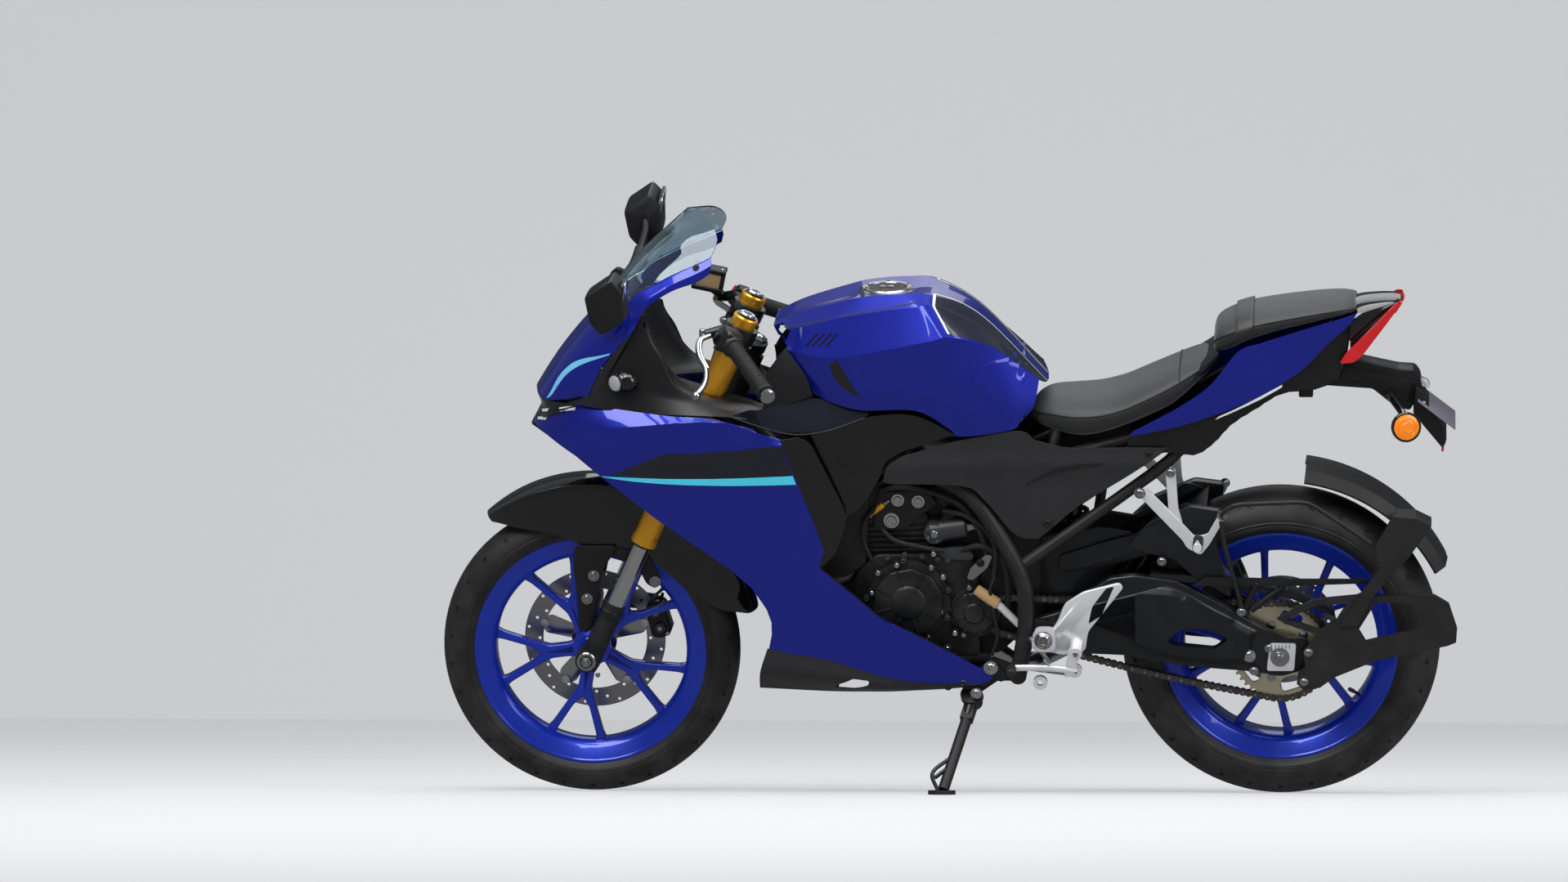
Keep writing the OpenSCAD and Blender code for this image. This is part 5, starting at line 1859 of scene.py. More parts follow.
    def signals(self) -> None:
        """The round amber rear signals and the smoked front ones."""
        piece = Piece("turn_signals_visual", GLOSS_BLACK)
        p = (self.signal_x, -150.0, self.signal_z)
        out = (0.25, -0.95, 0.1)
        q = tuple(a + b * 10 for a, b in zip(p, out))
        piece.turn(p, q, [(0, -24), (12, -24), (24, -14), (29, -2), (29.5, 6), (28, 8), (26, 8), (26, 2), (0, 2)],
            steps=40)
        piece.turn(p, q, [(0, 14.5), (10, 13.6), (19, 11), (25, 7.4), (25.5, 2), (0, 2)], AMBER, 40)
        piece.turn(p, q, [(8, 14.2), (9, 15), (10, 14)], AMBER, 32)
        piece.turn(p, q, [(17, 12.2), (18, 12.9), (19, 11.4)], AMBER, 32)
        piece.tube([(930, -132, 784), (922, -100, 800), (905, -60, 815), (895, -30, 826)], 8)
        piece.ball((0, 0, 0), (27, 20, 20),
            Matrix.Translation((-588, -168, 877)) @ Matrix.Rotation(math.radians(14), 4, "Y"), steps=28)
        piece.rod((-580, -140, 872), (-584, -165, 875), 9)
        lens = aimed((-606, -176, 876), (-640, -214, 872))
        piece.lathe([(0, 11), (8, 9.5), (14, 6), (17, 0), (17, -6), (0, -6)], lens, 28, LENS)
        piece.lathe([(17.4, -8), (18.6, -4), (18.4, 2), (17, 2.5)], lens, 28)
        piece.mirror()
        piece.make(["turn_signals"])


@dataclass
class Mirrors:
    """The two mirrors on the screen's frame."""

    def build(self) -> None:
        """Builds both mirrors with their glass."""
        piece = Piece("mirrors_visual", SATIN_BLACK)
        ring = rounded([(-636, 1108), (-584, 1143), (-560, 1118), (-560, 1056), (-604, 1030), (-626, 1054)], 7, 3)
        cx, cz = -596, 1092
        grow = Line([(0.30,), (0.86,), (0.98,), (1.0,), (0.98,), (0.90,), (0.34,)])
        out = Line([(-332,), (-338,), (-346,), (-392,), (-436,), (-447,), (-449,)])

        def head(u: float, v: float) -> Point:
            """A point of the mirror's shell; u runs outwards, v round it."""
            n = len(ring)
            i = int(v * n) % n
            a, b = ring[i], ring[(i + 1) % n]
            t = v * n - int(v * n)
            size, y = grow.at(u)[0], out.at(u)[0]
            return (cx + (lerp(a[0], b[0], t) - cx) * size, y,
                cz + (lerp(a[1], b[1], t) - cz) * size - 0.06 * (y + 392))

        piece.skin(head, 36, len(ring) * 2, closed=True)
        tilt = Matrix.Translation((-563, -392, 1101)) @ Matrix.Rotation(math.radians(96), 4, "Y")
        glass = rounded([(-38, -46), (-30, 40), (0, 52), (32, 44), (38, -42), (0, -52)], 16, 5)
        piece.prism(glass, -4, 1.5, tilt, 1.0, SATIN_BLACK)
        piece.prism([(x * 0.93, y * 0.94) for x, y in glass], -3, 2.4, tilt, 0.4, MIRROR)
        piece.tube([(-618, -172, 1002), (-610, -200, 1014), (-598, -250, 1040), (-590, -310, 1070),
            (-592, -345, 1090)], 7.5)
        piece.tube([(-612, -196, 1010), (-602, -230, 1028), (-596, -262, 1046)], 10.5)
        piece.slab(rounded([(-648, 1018), (-632, 1031), (-596, 1012), (-590, 994), (-633, 984), (-646, 998)], 6),
            -176, -158, 4)
        piece.bolt((-614, -176, 1008), (0, -1, 0.2), 7, socket=False)
        piece.mirror()
        piece.make(["mirrors"], merge=0.02, angle=26)


@dataclass
class LowerPanels:
    """The belly pan, the side covers under the tank and the front mudguard."""

    axle: Flat = (-684.0, 295.3)

    def build(self) -> None:
        """Builds the lower panels."""
        self.belly()
        self.covers()
        self.mudguard()

    def belly(self) -> None:
        """The matt belly pan with its side vents."""
        top = [(-318, 345), (-200, 317), (-133, 293), (-67, 273), (13, 262), (106, 259)]
        mid = [(-333, 298), (-205, 278), (-133, 262), (-67, 252), (18, 250), (107, 256)]
        low = [(-338, 256), (-205, 240), (-133, 236), (-67, 235), (25, 242), (106, 252)]
        rows = [
            [(x, -(fairing_half(x, z) - 2), z) for x, z in top],
            [(x, -(fairing_half(x, z) - 3), z) for x, z in mid],
            [(x, -(fairing_half(x, z) * 0.80), z) for x, z in low],
            [(x, -fairing_half(x, z) * 0.45, z - 2) for x, z in low],
            [(x, 0, z - 3) for x, z in low],
        ]
        piece = Piece("belly_pan_visual", MATT_GREY)
        piece.skin(Surface(rows, creases=[2]).at, 48, 28)
        piece.mirror()
        holes = Piece("vents", MATT_BLACK)
        vent = rounded([(-190, 253), (-184, 263), (-152, 278), (-121, 272), (-123, 262), (-152, 249)], 4)
        holes.slab(vent, -240, -90, 0)
        holes.box((66, 140, 26), Matrix.Translation((-155, -30, 236)), 0)
        holes.mirror()
        piece.make(["belly_pan"], wall=3, holes=holes, merge=0.6, angle=26)
        trim = Piece("belly_trim", SILVER_CAST)
        trim.skin(
            side_sheet([[(-122, 262), (-112, 258), (-100, 256)], [(-121, 272), (-105, 268), (-92, 262)]],
            fairing_half, -2.0), 8, 3,
        )
        for x, z in ((32, 253), (62, 262)):
            trim.bolt((x, -(fairing_half(x, z) - 4), z), (0, -1, -0.1), 6, GLOSS_BLACK)
        trim.mirror()
        trim.make(wall=1)

    def covers(self) -> None:
        """The grey covers below the tank and seat."""
        lines = [
            [(-89, 672), (-76, 667), (65, 660), (110, 629), (167, 560), (213, 550), (244, 576), (296, 620),
            (382, 673), (454, 722)],
            [(-86, 684), (-64, 688), (50, 692), (112, 675), (168, 640), (210, 628), (258, 645), (320, 668),
            (390, 700), (458, 727)],
            [(-82, 698), (-56, 706), (44, 718), (100, 714), (170, 700), (210, 690), (264, 695), (340, 706),
            (392, 718), (462, 731)],
            [(-77, 706), (-47, 724), (41, 747), (66, 753), (176, 769), (209, 750), (270, 736), (340, 735), (395, 735),
            (467, 734)],
        ]
        piece = Piece("side_covers_visual", MATT_GREY)
        lift = lambda x, z: body_half(x, z) + 1 + 5 * math.exp(-(((z - 700) / 22) ** 2))
        piece.skin(side_sheet(lines, lift, smooth=False, corners=[1, 5]), 60, 15)
        piece.mirror()
        piece.make(["side_covers"], wall=3, edge=0.8, angle=16)
        trim = Piece("side_cover_slots", GLOSS_BLACK)
        slit = [[(190, 658), (232, 678), (280, 692), (340, 700)], [(192, 664), (232, 686), (278, 701), (340, 705)]]
        trim.skin(side_sheet(slit, lift, 0.8), 20, 2)
        trim.bolt((232, -(body_half(232, 584) + 2), 584), (0, -1, 0), 7, MATT_BLACK)
        trim.bolt((430, -(body_half(430, 722) + 2), 722), (0, -1, 0), 6, MATT_BLACK)
        trim.mirror()
        trim.make(wall=0.6)

    def mudguard(self) -> None:
        """The gloss mudguard over the front wheel, with its bolted brackets."""
        cx, cz = self.axle
        skirt = ((14, 12), (18, 56), (25, 84), (36, 108), (52, 116), (66, 112), (76, 124), (86, 132), (96, 112),
            (107, 82), (118, 50), (126, 12))

        def at(u: float, v: float) -> Point:
            """A point of the mudguard: u from front to rear, v from left to right."""
            a = lerp(126, 14, u)
            s = lerp(-1, 1, v)
            w = 63 * (1 - 0.55 * max(0.0, (a - 108) / 18) ** 2) * (1 - 0.35 * max(0.0, (30 - a) / 16) ** 2)
            radius = lerp(338, 354, min(1, math.sin(math.radians((a - 8) * 1.45)) ** 0.6))
            reach = smooth_knots(skirt, a)
            if abs(s) < 0.55:
                y = w * s / 0.55 * 0.9
                r = radius - 7 * (abs(s) / 0.55) ** 2.4
            else:
                t = (abs(s) - 0.55) / 0.45
                y = math.copysign(w * (0.9 + 0.1 * math.sin(min(1, t * 2.2) * math.pi / 2)), s)
                r = radius - 7 - reach * t
            return (cx + r * math.cos(math.radians(a)), y, cz + r * math.sin(math.radians(a)))

        piece = Piece("front_mudguard_visual", GLOSS_BLACK, "steering")
        piece.skin(at, 80, 44)
        piece.make(["front_mudguard"], wall=2.6, edge=0.5, angle=35)
        stay = Piece("mudguard_brackets", SATIN_BLACK, "steering")
        plate = rounded([(-706, 520), (-622, 520), (-632, 500), (-650, 474), (-662, 420), (-674, 352), (-690, 340),
            (-702, 352), (-704, 420), (-710, 475)], 10)
        stay.slab(plate, -73, -67, 1.5)
        for x, z in ((-670, 459), (-684, 412)):
            stay.bolt((x, -73, z), (0, -1, 0), 8, STEEL)
        stay.bolt((-549, -66, 445), (0, -1, 0), 8, STEEL)
        stay.slab(rounded([(-640, 520), (-560, 500), (-536, 450), (-548, 430), (-566, 440), (-585, 480), (-640, 500)],
            8), -66, -61, 1.2)
        stay.mirror()
        stay.make()


@dataclass
class Steering:
    """The fork, its clamps, the handlebars and what hangs on them."""

    spread: float = 95.0
    base: Flat = (-678.95, 293.9)
    body: str = "steering"

    def leg(self, s: float, y: float, ahead: float = 0.0) -> Point:
        """A point at s up the leg, moved ahead of it by some distance."""
        return (self.base[0] + 0.4226 * s - 0.9063 * ahead, y, self.base[1] + 0.9063 * s + 0.4226 * ahead)

    def tube_on_leg(self, piece: Piece, profile: Sequence[Flat], y: float, finish: Finish | None = None) -> None:
        """Turns a profile of radius and height about a fork leg."""
        piece.turn(self.leg(0, y), self.leg(10, y), profile, finish, 40)

    def build(self) -> None:
        """Builds the steering assembly."""
        outer = Piece("fork_outer_visual", GOLD, self.body)
        inner = Piece("fork_inner_visual", CHROME, self.body)
        for y in (-self.spread, self.spread):
            self.tube_on_leg(
                outer,
                [(19.5, 262), (25.5, 262), (26, 264), (26, 276), (25, 278), (24.6, 290), (25, 300), (25, 500),
                (25, 758),
                 (25.4, 760), (25.4, 766), (23.5, 769), (0, 769)],
                y,
            )
            self.tube_on_leg(outer, [(19, 257), (22, 257), (23, 260), (23, 264), (19, 264)], y, RUBBER)
            self.tube_on_leg(outer, [(0, 768), (17, 768), (17, 774), (15, 776), (9, 776), (9, 773), (0, 773)], y,
                CHROME)
            self.tube_on_leg(outer, [(17.5, 768), (21, 768), (21, 772), (17.5, 772)], y, GLOSS_BLACK)
            self.tube_on_leg(inner, [(0, 100), (18.5, 100), (18.5, 268), (0, 268)], y)
            self.tube_on_leg(
                inner,
                [(0, -22), (14, -24), (20, -18), (22, -4), (22, 24), (20.5, 44), (20.8, 96), (22.8, 98), (23, 110),
                (20, 113), (18.6, 113)],
                y, FRAME_BLACK,
            )
            sign = math.copysign(1, y)
            inner.bolt((-684, y + sign * 22, 295.3), (0, sign, 0), 11, STEEL, socket=False, high=9)
            inner.turn((-684, y + sign * 20, 295.3), (-684, y + sign * 30, 295.3),
                [(0, 0), (19, 0), (19, 4), (17, 6), (0, 6)], STEEL)
            inner.turn((-684, y + sign * 28, 295.3), (-684, y + sign * 40, 295.3),
                [(7, 0), (7, 8), (6, 9.5), (0, 9.5)], STEEL, 20)
            inner.bolt((-662, y + sign * 20, 268), (0, sign, 0), 5, STEEL, washer=False)
        outer.make(["fork_outer_tubes"])
        inner.make(["fork_inner_tubes"])
        self.clamps()
        for side in (-1, 1):
            self.bar(side)

    def clamps(self) -> None:
        """The two fork clamps with their pinch bolts and the stem nut."""
        piece = Piece("fork_clamps_visual", FRAME_BLACK, self.body)
        for low, high in ((505, 539), (690, 714)):
            for y in (-self.spread, self.spread):
                self.tube_on_leg(piece,
                    [(25.3, low), (34, low), (35.5, low + 2), (35.5, high - 2), (34, high), (25.3, high)], y)
            place = aimed(self.leg(low, 0), self.leg(high, 0))
            bridge = rounded([(20, -78), (6, -40), (-4, 0), (6, 40), (20, 78), (-24, 78), (-58, 34), (-64, 0),
                (-58, -34), (-24, -78)], 10, 3)
            h = high - low
            flip = Matrix.Rotation(math.pi, 4, "Z")
            piece.prism(bridge, 2, h - 2, place @ flip, 3)
            for y in (-1, 1):
                a = self.leg((low + high) / 2, y * 62, 32)
                piece.rod(a, tuple(Vector(a) + Vector((0, y * 26, 0))), 5.5, finish=STEEL)
        top = self.leg(716, 0, -40)
        piece.turn(top, self.leg(726, 0, -40), [(0, -6), (19, -6), (19, 2), (17, 5), (13, 6), (11, 4), (0, 4)],
            CHROME, 6)
        lock = self.leg(714, 0, 14)
        piece.turn(lock, self.leg(724, 0, 14), [(0, -10), (19, -10), (19, 4), (17, 7), (9, 8), (8, 6), (0, 6)],
            SATIN_BLACK)
        piece.make(["fork_clamps"])

    def bar(self, side: int) -> None:
        """One clip-on handlebar with its grip, lever and switches.

        Args:
            side: -1 for the left side, 1 for the right.
        """
        name = "left" if side < 0 else "right"
        root, mid, end = Vector((-397, 150 * side, 974)), Vector((-362, 215 * side, 945)), Vector((-299, 334 * side,
            893))
        along = (end - mid).normalized()
        piece = Piece(name + "_handlebar", FRAME_BLACK, self.body)
        self.tube_on_leg(piece, [(25.3, 718), (33, 718), (34, 720), (34, 746), (33, 748), (25.3, 748)],
            side * self.spread)
        piece.tube([self.leg(733, side * 120, 14), tuple(root), tuple(mid), tuple(end)], 11, sides=20, corners=[1, 2])
        piece.rod(tuple(end), tuple(end + along * 14), 14, 15.5, finish=STEEL, edge=2.5)
        start = Vector((-373, 197 * side, 953))
        gear = Matrix.Translation(tuple(start - along * 24)) @ turned(along)
        piece.box((42, 46, 40), gear, 8, SATIN_BLACK, 3)
        piece.lathe([(0, -26), (17, -26), (20, -20), (20, 20), (18, 24), (0, 24)], gear, 28, SATIN_BLACK)
        piece.box((12, 10, 9), gear @ Matrix.Translation((-18, 20 * side, 6)), 2, GLOSS_BLACK)
        piece.box((10, 18, 8), gear @ Matrix.Translation((-22, 6 * side, -8)), 2, RED if side > 0 else GLOSS_BLACK)
        if side > 0:
            piece.box((22, 26, 14), gear @ Matrix.Translation((-24, 0, 4)), 4, RED)
        perch = root + Vector((-18, 8 * side, -2))
        piece.rod(tuple(root + Vector((4, 0, 2))), tuple(perch + Vector((-16, 4 * side, -2))), 12, 9)
        piece.rod(tuple(perch + Vector((-20, 6 * side, -9))), tuple(perch + Vector((-20, 6 * side, 9))), 6.5,
            finish=STEEL)
        lever = Piece(name + "_lever", STEEL, self.body)
        path = [
            (-424, 168 * side, 968), (-440, 186 * side, 962), (-438, 222 * side, 943), (-422, 256 * side, 922),
            (-421, 290 * side, 903), (-434, 316 * side, 888),
        ]
        lever.tube(path, 5.4, sides=16)
        lever.tube([(x + 4, y, z + 1) for x, y, z in path[:4]], 4.6, sides=12)
        lever.ball((-436, 320 * side, 885), (9, 9, 9))
        lever.make(smooth=0)
        piece.make(["handlebars"] if side < 0 else [])
        grip = Piece(name + "_grip", RUBBER, self.body)
        length = (end - start).length - 3
        profile = [(11.2, 0), (21, 0), (22, 2), (21, 5), (16.5, 7)]
        ribs = 22
        for k in range(ribs):
            a = lerp(9, length - 9, k / ribs)
            b = lerp(9, length - 9, (k + 0.5) / ribs)
            profile += [(15.2, a), (16.6, a + 0.6), (16.6, b), (15.2, b + 0.6)]
        profile += [(17, length - 8), (18, length - 3), (16, length), (11.2, length)]
        grip.lathe(profile, aimed(tuple(start), tuple(end)), 40)
        grip.make(["grips"] if side < 0 else [])
        if side > 0:
            self.reservoir()

    def reservoir(self) -> None:
        """The brake fluid reservoir on the right, with its amber window."""
        piece = Piece("brake_reservoir", SATIN_BLACK, self.body)
        place = Matrix.Translation((-448, 142, 1012)) @ Matrix.Rotation(math.radians(12), 4, "Y")
        piece.box((58, 40, 36), place, 6, TAN, 3)
        piece.box((64, 46, 10), place @ Matrix.Translation((0, 0, 20)), 3, SATIN_BLACK, 3)
        piece.box((62, 44, 10), place @ Matrix.Translation((0, 0, -17)), 3, SATIN_BLACK, 3)
        piece.box((8, 42, 36), place @ Matrix.Translation((-27, 0, 0)), 2, SATIN_BLACK)
        piece.box((8, 42, 36), place @ Matrix.Translation((27, 0, 0)), 2, SATIN_BLACK)
        for x in (-24, 24):
            piece.bolt(tuple(place @ Vector((x, -14, 25))), (0, 0, 1), 3.6, STEEL, washer=False)
        piece.rod((-446, 142, 996), (-425, 150, 978), 9)
        piece.make()


@dataclass
class Brakes:
    """The drilled discs with their carriers, and the two calipers."""

    def disc(
        self, name: str, axle: Flat, y: float, outer: float, inner: float, bore: float, body: str, hub_y: float,
    ) -> None:
        """One drilled disc on its carrier.

        Args:
            name: front or rear.
            axle: place of the axle in side view.
            y: place of the disc across the machine.
            outer: its outer radius.
            inner: the inner radius of its brake track.
            bore: radius of the hole in its carrier.
            body: the wheel it turns with.
            hub_y: where its carrier meets the hub.
        """
        place = across(axle[0], axle[1], y)
        piece = Piece(name + "_disc_visual", DISC_STEEL, body)
        piece.lathe([(inner, -2.2), (outer - 0.6, -2.2), (outer, -1.6), (outer, 1.6), (outer - 0.6, 2.2),
            (inner, 2.2), (inner, -2.2)], place, 96)
        drill = Piece("drill", DISC_STEEL, body)
        rows = 3
        for k in range(36):
            r = lerp(inner + 7, outer - 7, (k % rows) / (rows - 1))
            a = math.tau * k / 36
            drill.lathe([(0, -6), (3.4, -6), (3.4, 6), (0, 6)],
                place @ Matrix.Translation((r * math.cos(a), r * math.sin(a), 0)), 10)
        piece.make([name + "_disc"], holes=drill, angle=30)
        hub = Piece(name + "_disc_carrier", STEEL, body)
        toward = -(hub_y - y)
        hub.lathe([(bore, 0), (bore + 16, 0), (bore + 18, 2), (bore + 18, 4), (bore, 4), (bore, 0)],
            place @ Matrix.Translation((0, 0, toward)), 48)
        for k in range(5):
            turn = place @ Matrix.Rotation(math.tau * (k + 0.25) / 5, 4, "Z")
            arm = rounded([(bore + 6, -13), (inner - 8, -20), (inner + 5, -9), (inner + 5, 9), (inner - 8, 20),
                (bore + 6, 13)], 6, 3)
            hub.prism(arm, -3.4, 1.0, turn, 1.2)
            button = turn @ Matrix.Translation((inner + 1, 0, 0))
            hub.lathe([(0, -5), (8, -5), (9, -4), (9, 4), (8, 5), (5, 5), (4.4, 3.6), (0, 3.6)], button, 20, CHROME)
            inside = tuple(turn @ Vector((bore + 11, 0, 4)))
            hub.bolt(inside, (0, -1, 0), 5.5, GLOSS_BLACK, washer=False)
        hub.make()

    def caliper(self, piece: Piece, x: float, z: float, y: float, turn: float, size: float) -> None:
        """A two-piston caliper with its bridge bolts, over a disc at y."""
        place = across(x, z, y) @ Matrix.Rotation(math.radians(turn), 4, "Z")
        shell = rounded([(-34, -20), (30, -24), (38, -8), (34, 16), (-28, 20), (-40, 6)], 9, 4)
        shell = [(a * size, b * size) for a, b in shell]
        piece.prism(shell, 7, 30 * size, place, 4, segments=3)
        piece.prism(shell, -22 * size, -7, place, 3, segments=3)
        bridge = [(-30 * size, 6), (28 * size, 6), (28 * size, 19 * size), (-30 * size, 17 * size)]
        piece.prism(rounded(bridge, 4), -20 * size, 28 * size, place, 2)
        for dx in (-17, 16):
            at = place @ Matrix.Translation((dx * size, -3, 28 * size))
            piece.lathe([(0, 6), (11 * size, 6), (13 * size, 3), (13 * size, 0), (0, 0)], at, 28, GLOSS_BLACK)
            piece.lathe([(0, 7.4), (5, 7.4), (6, 6), (0, 6)], at, 6, STEEL)
        for dx, dz in ((-30, 13), (30, 9)):
            piece.lathe([(0, 0), (5, 0), (5, 5), (4, 6), (0, 6)],
                place @ Matrix.Translation((dx * size, dz * size, 28 * size)), 6, STEEL)
        piece.rod(tuple(place @ Vector((-36 * size, 12, 10))), tuple(place @ Vector((-48 * size, 20, 12))), 4, 3,
            RUBBER)

    def build(self) -> None:
        """Builds the discs and calipers."""
        self.disc("front", (-684, 295.3), 60, 141, 104, 27, "front_wheel", 46)
        self.disc("rear", (684, 313), 73, 110, 78, 30, "rear_wheel", 60)
        front = Piece("front_caliper_visual", SATIN_BLACK, "steering")
        self.caliper(front, -552, 340, 60, -75, 1.0)
        front.slab(rounded([(-640, 372), (-620, 392), (-560, 384), (-540, 360), (-560, 350), (-620, 356)], 7), 66, 73,
            1.5)
        front.bolt((-600, 66, 370), (0, -1, 0), 6, STEEL)
        front.make(["front_caliper"])
        rear = Piece("rear_caliper_visual", SATIN_BLACK)
        self.caliper(rear, 594, 373, 73, 56, 0.85)
        rear.slab(rounded([(590, 330), (640, 350), (676, 330), (672, 300), (640, 306), (600, 318)], 8), 84, 92, 1.5)
        rear.make(["rear_caliper"])


@dataclass
class Drive:
    """The rear sprocket and the chain."""

    front: Flat = (145.0, 384.0)
    front_r: float = 37.0
    rear: Flat = (684.0, 313.0)
    rear_r: float = 97.0
    y: float = -86.0
    links: int = 122

    def build(self) -> None:
        """Builds the rear sprocket with its hub, and the chain."""
        teeth = 44
        outline = []
        for k in range(teeth):
            for part, r in ((0.0, 93.0), (0.22, 93.4), (0.42, 99.4), (0.58, 99.4), (0.78, 93.4)):
                a = math.tau * (k + part) / teeth
                outline.append((r * math.cos(a), r * math.sin(a)))
        place = across(self.rear[0], self.rear[1], self.y)
        piece = Piece("rear_sprocket_visual", SPROCKET_GOLD, "rear_wheel")
        piece.prism(outline, -3, 3, place, 0.5, segments=1)
        cut = Piece("cut", SPROCKET_GOLD)
        cut.lathe([(0, -9), (26, -9), (26, 9), (0, 9)], place, 40)
        for k in range(5):
            turn = place @ Matrix.Rotation(math.tau * k / 5, 4, "Z")
            window = rounded([(66, -24), (82, -20), (82, 20), (66, 24), (54, 12), (54, -12)], 6, 3)
            cut.prism(window, -9, 9, turn, 0)
        piece.make(["rear_sprocket"], holes=cut, edge=0.5)
        hub = Piece("sprocket_hub", SPROCKET_GOLD, "rear_wheel")
        hub.lathe([(17, 0), (30, 0), (44, 3), (46, 6), (46, 16), (17, 16), (17, 0)],
            across(self.rear[0], self.rear[1], self.y + 12), 48)
        for k in range(5):
            a = math.tau * (k + 0.5) / 5
            p = (self.rear[0] + 56 * math.cos(a), self.y - 3, self.rear[1] + 56 * math.sin(a))
            hub.bolt(p, (0, -1, 0), 6.5, STEEL, socket=False)
        hub.make()
        self.chain()

    def path(self, s: float) -> tuple[float, float, float]:
        """A place on the chain's loop, with the loop's direction there.

        Args:
            s: how far round the loop, 0 to 1.

        Returns:
            The place's x and z and the direction's angle.
        """
        (ax, az), (bx, bz) = self.front, self.rear
        d = math.hypot(bx - ax, bz - az)
        tilt = math.atan2(bz - az, bx - ax)
        spread = math.acos((self.front_r - self.rear_r) / d)
        run = math.sqrt(d * d - (self.rear_r - self.front_r) ** 2)
        front_arc, back_arc = self.front_r * (math.tau - 2 * spread), self.rear_r * 2 * spread
        total = 2 * run + front_arc + back_arc
        q = (s % 1.0) * total
        upper, lower = tilt + spread, tilt - spread

        def round_at(cx: float, cz: float, r: float, a: float) -> tuple[float, float, float]:
            """A place on one of the two round stretches."""
            return (cx + r * math.cos(a), cz + r * math.sin(a), a - math.pi / 2)

        if q < run:
            t = q / run
            x0, z0, _ = round_at(ax, az, self.front_r, upper)
            x1, z1, _ = round_at(bx, bz, self.rear_r, upper)
            sag = 4 * math.sin(math.pi * t)
            return (lerp(x0, x1, t), lerp(z0, z1, t) - sag, math.atan2(z1 - z0, x1 - x0))
        q -= run
        if q < back_arc:
            return round_at(bx, bz, self.rear_r, upper - q / self.rear_r)
        q -= back_arc
        if q < run:
            t = q / run
            x0, z0, _ = round_at(bx, bz, self.rear_r, lower)
            x1, z1, _ = round_at(ax, az, self.front_r, lower)
            return (lerp(x0, x1, t), lerp(z0, z1, t) - 9 * math.sin(math.pi * t), math.atan2(z1 - z0, x1 - x0))
        q -= run
        return round_at(ax, az, self.front_r, lower - q / self.front_r)

    def chain(self) -> None:
        """The chain: side plates, rollers and bright pins."""
        piece = Piece("drive_chain_visual", CHAIN_STEEL)
        for k in range(self.links):
            x0, z0, _ = self.path(k / self.links)
            x1, z1, _ = self.path((k + 1) / self.links)
            length = math.hypot(x1 - x0, z1 - z0)
            place = across((x0 + x1) / 2, (z0 + z1) / 2, self.y) @ Matrix.Rotation(math.atan2(z1 - z0, x1 - x0), 4,
                "Z")
            h = length / 2
            plate = [(-h - 6, -3), (-h - 3, -6.4), (-h + 3, -6.4), (0, -4.2), (h - 3, -6.4), (h + 3, -6.4),
                (h + 6, -3)]
            plate += [(x, -y) for x, y in reversed(plate)]
            gap = 5.2 if k % 2 else 3.6
            piece.prism(plate, gap, gap + 1.5, place, 0)
            piece.prism(plate, -gap - 1.5, -gap, place, 0)
            pin = place @ Matrix.Translation((h, 0, 0))
            piece.lathe([(0, -8), (2.2, -8), (2.2, -5), (4.2, -4), (4.2, 4), (2.2, 5), (2.2, 8), (0, 8)], pin, 10,
                STEEL if k % 2 else None)
        piece.make(["drive_chain"], angle=40)


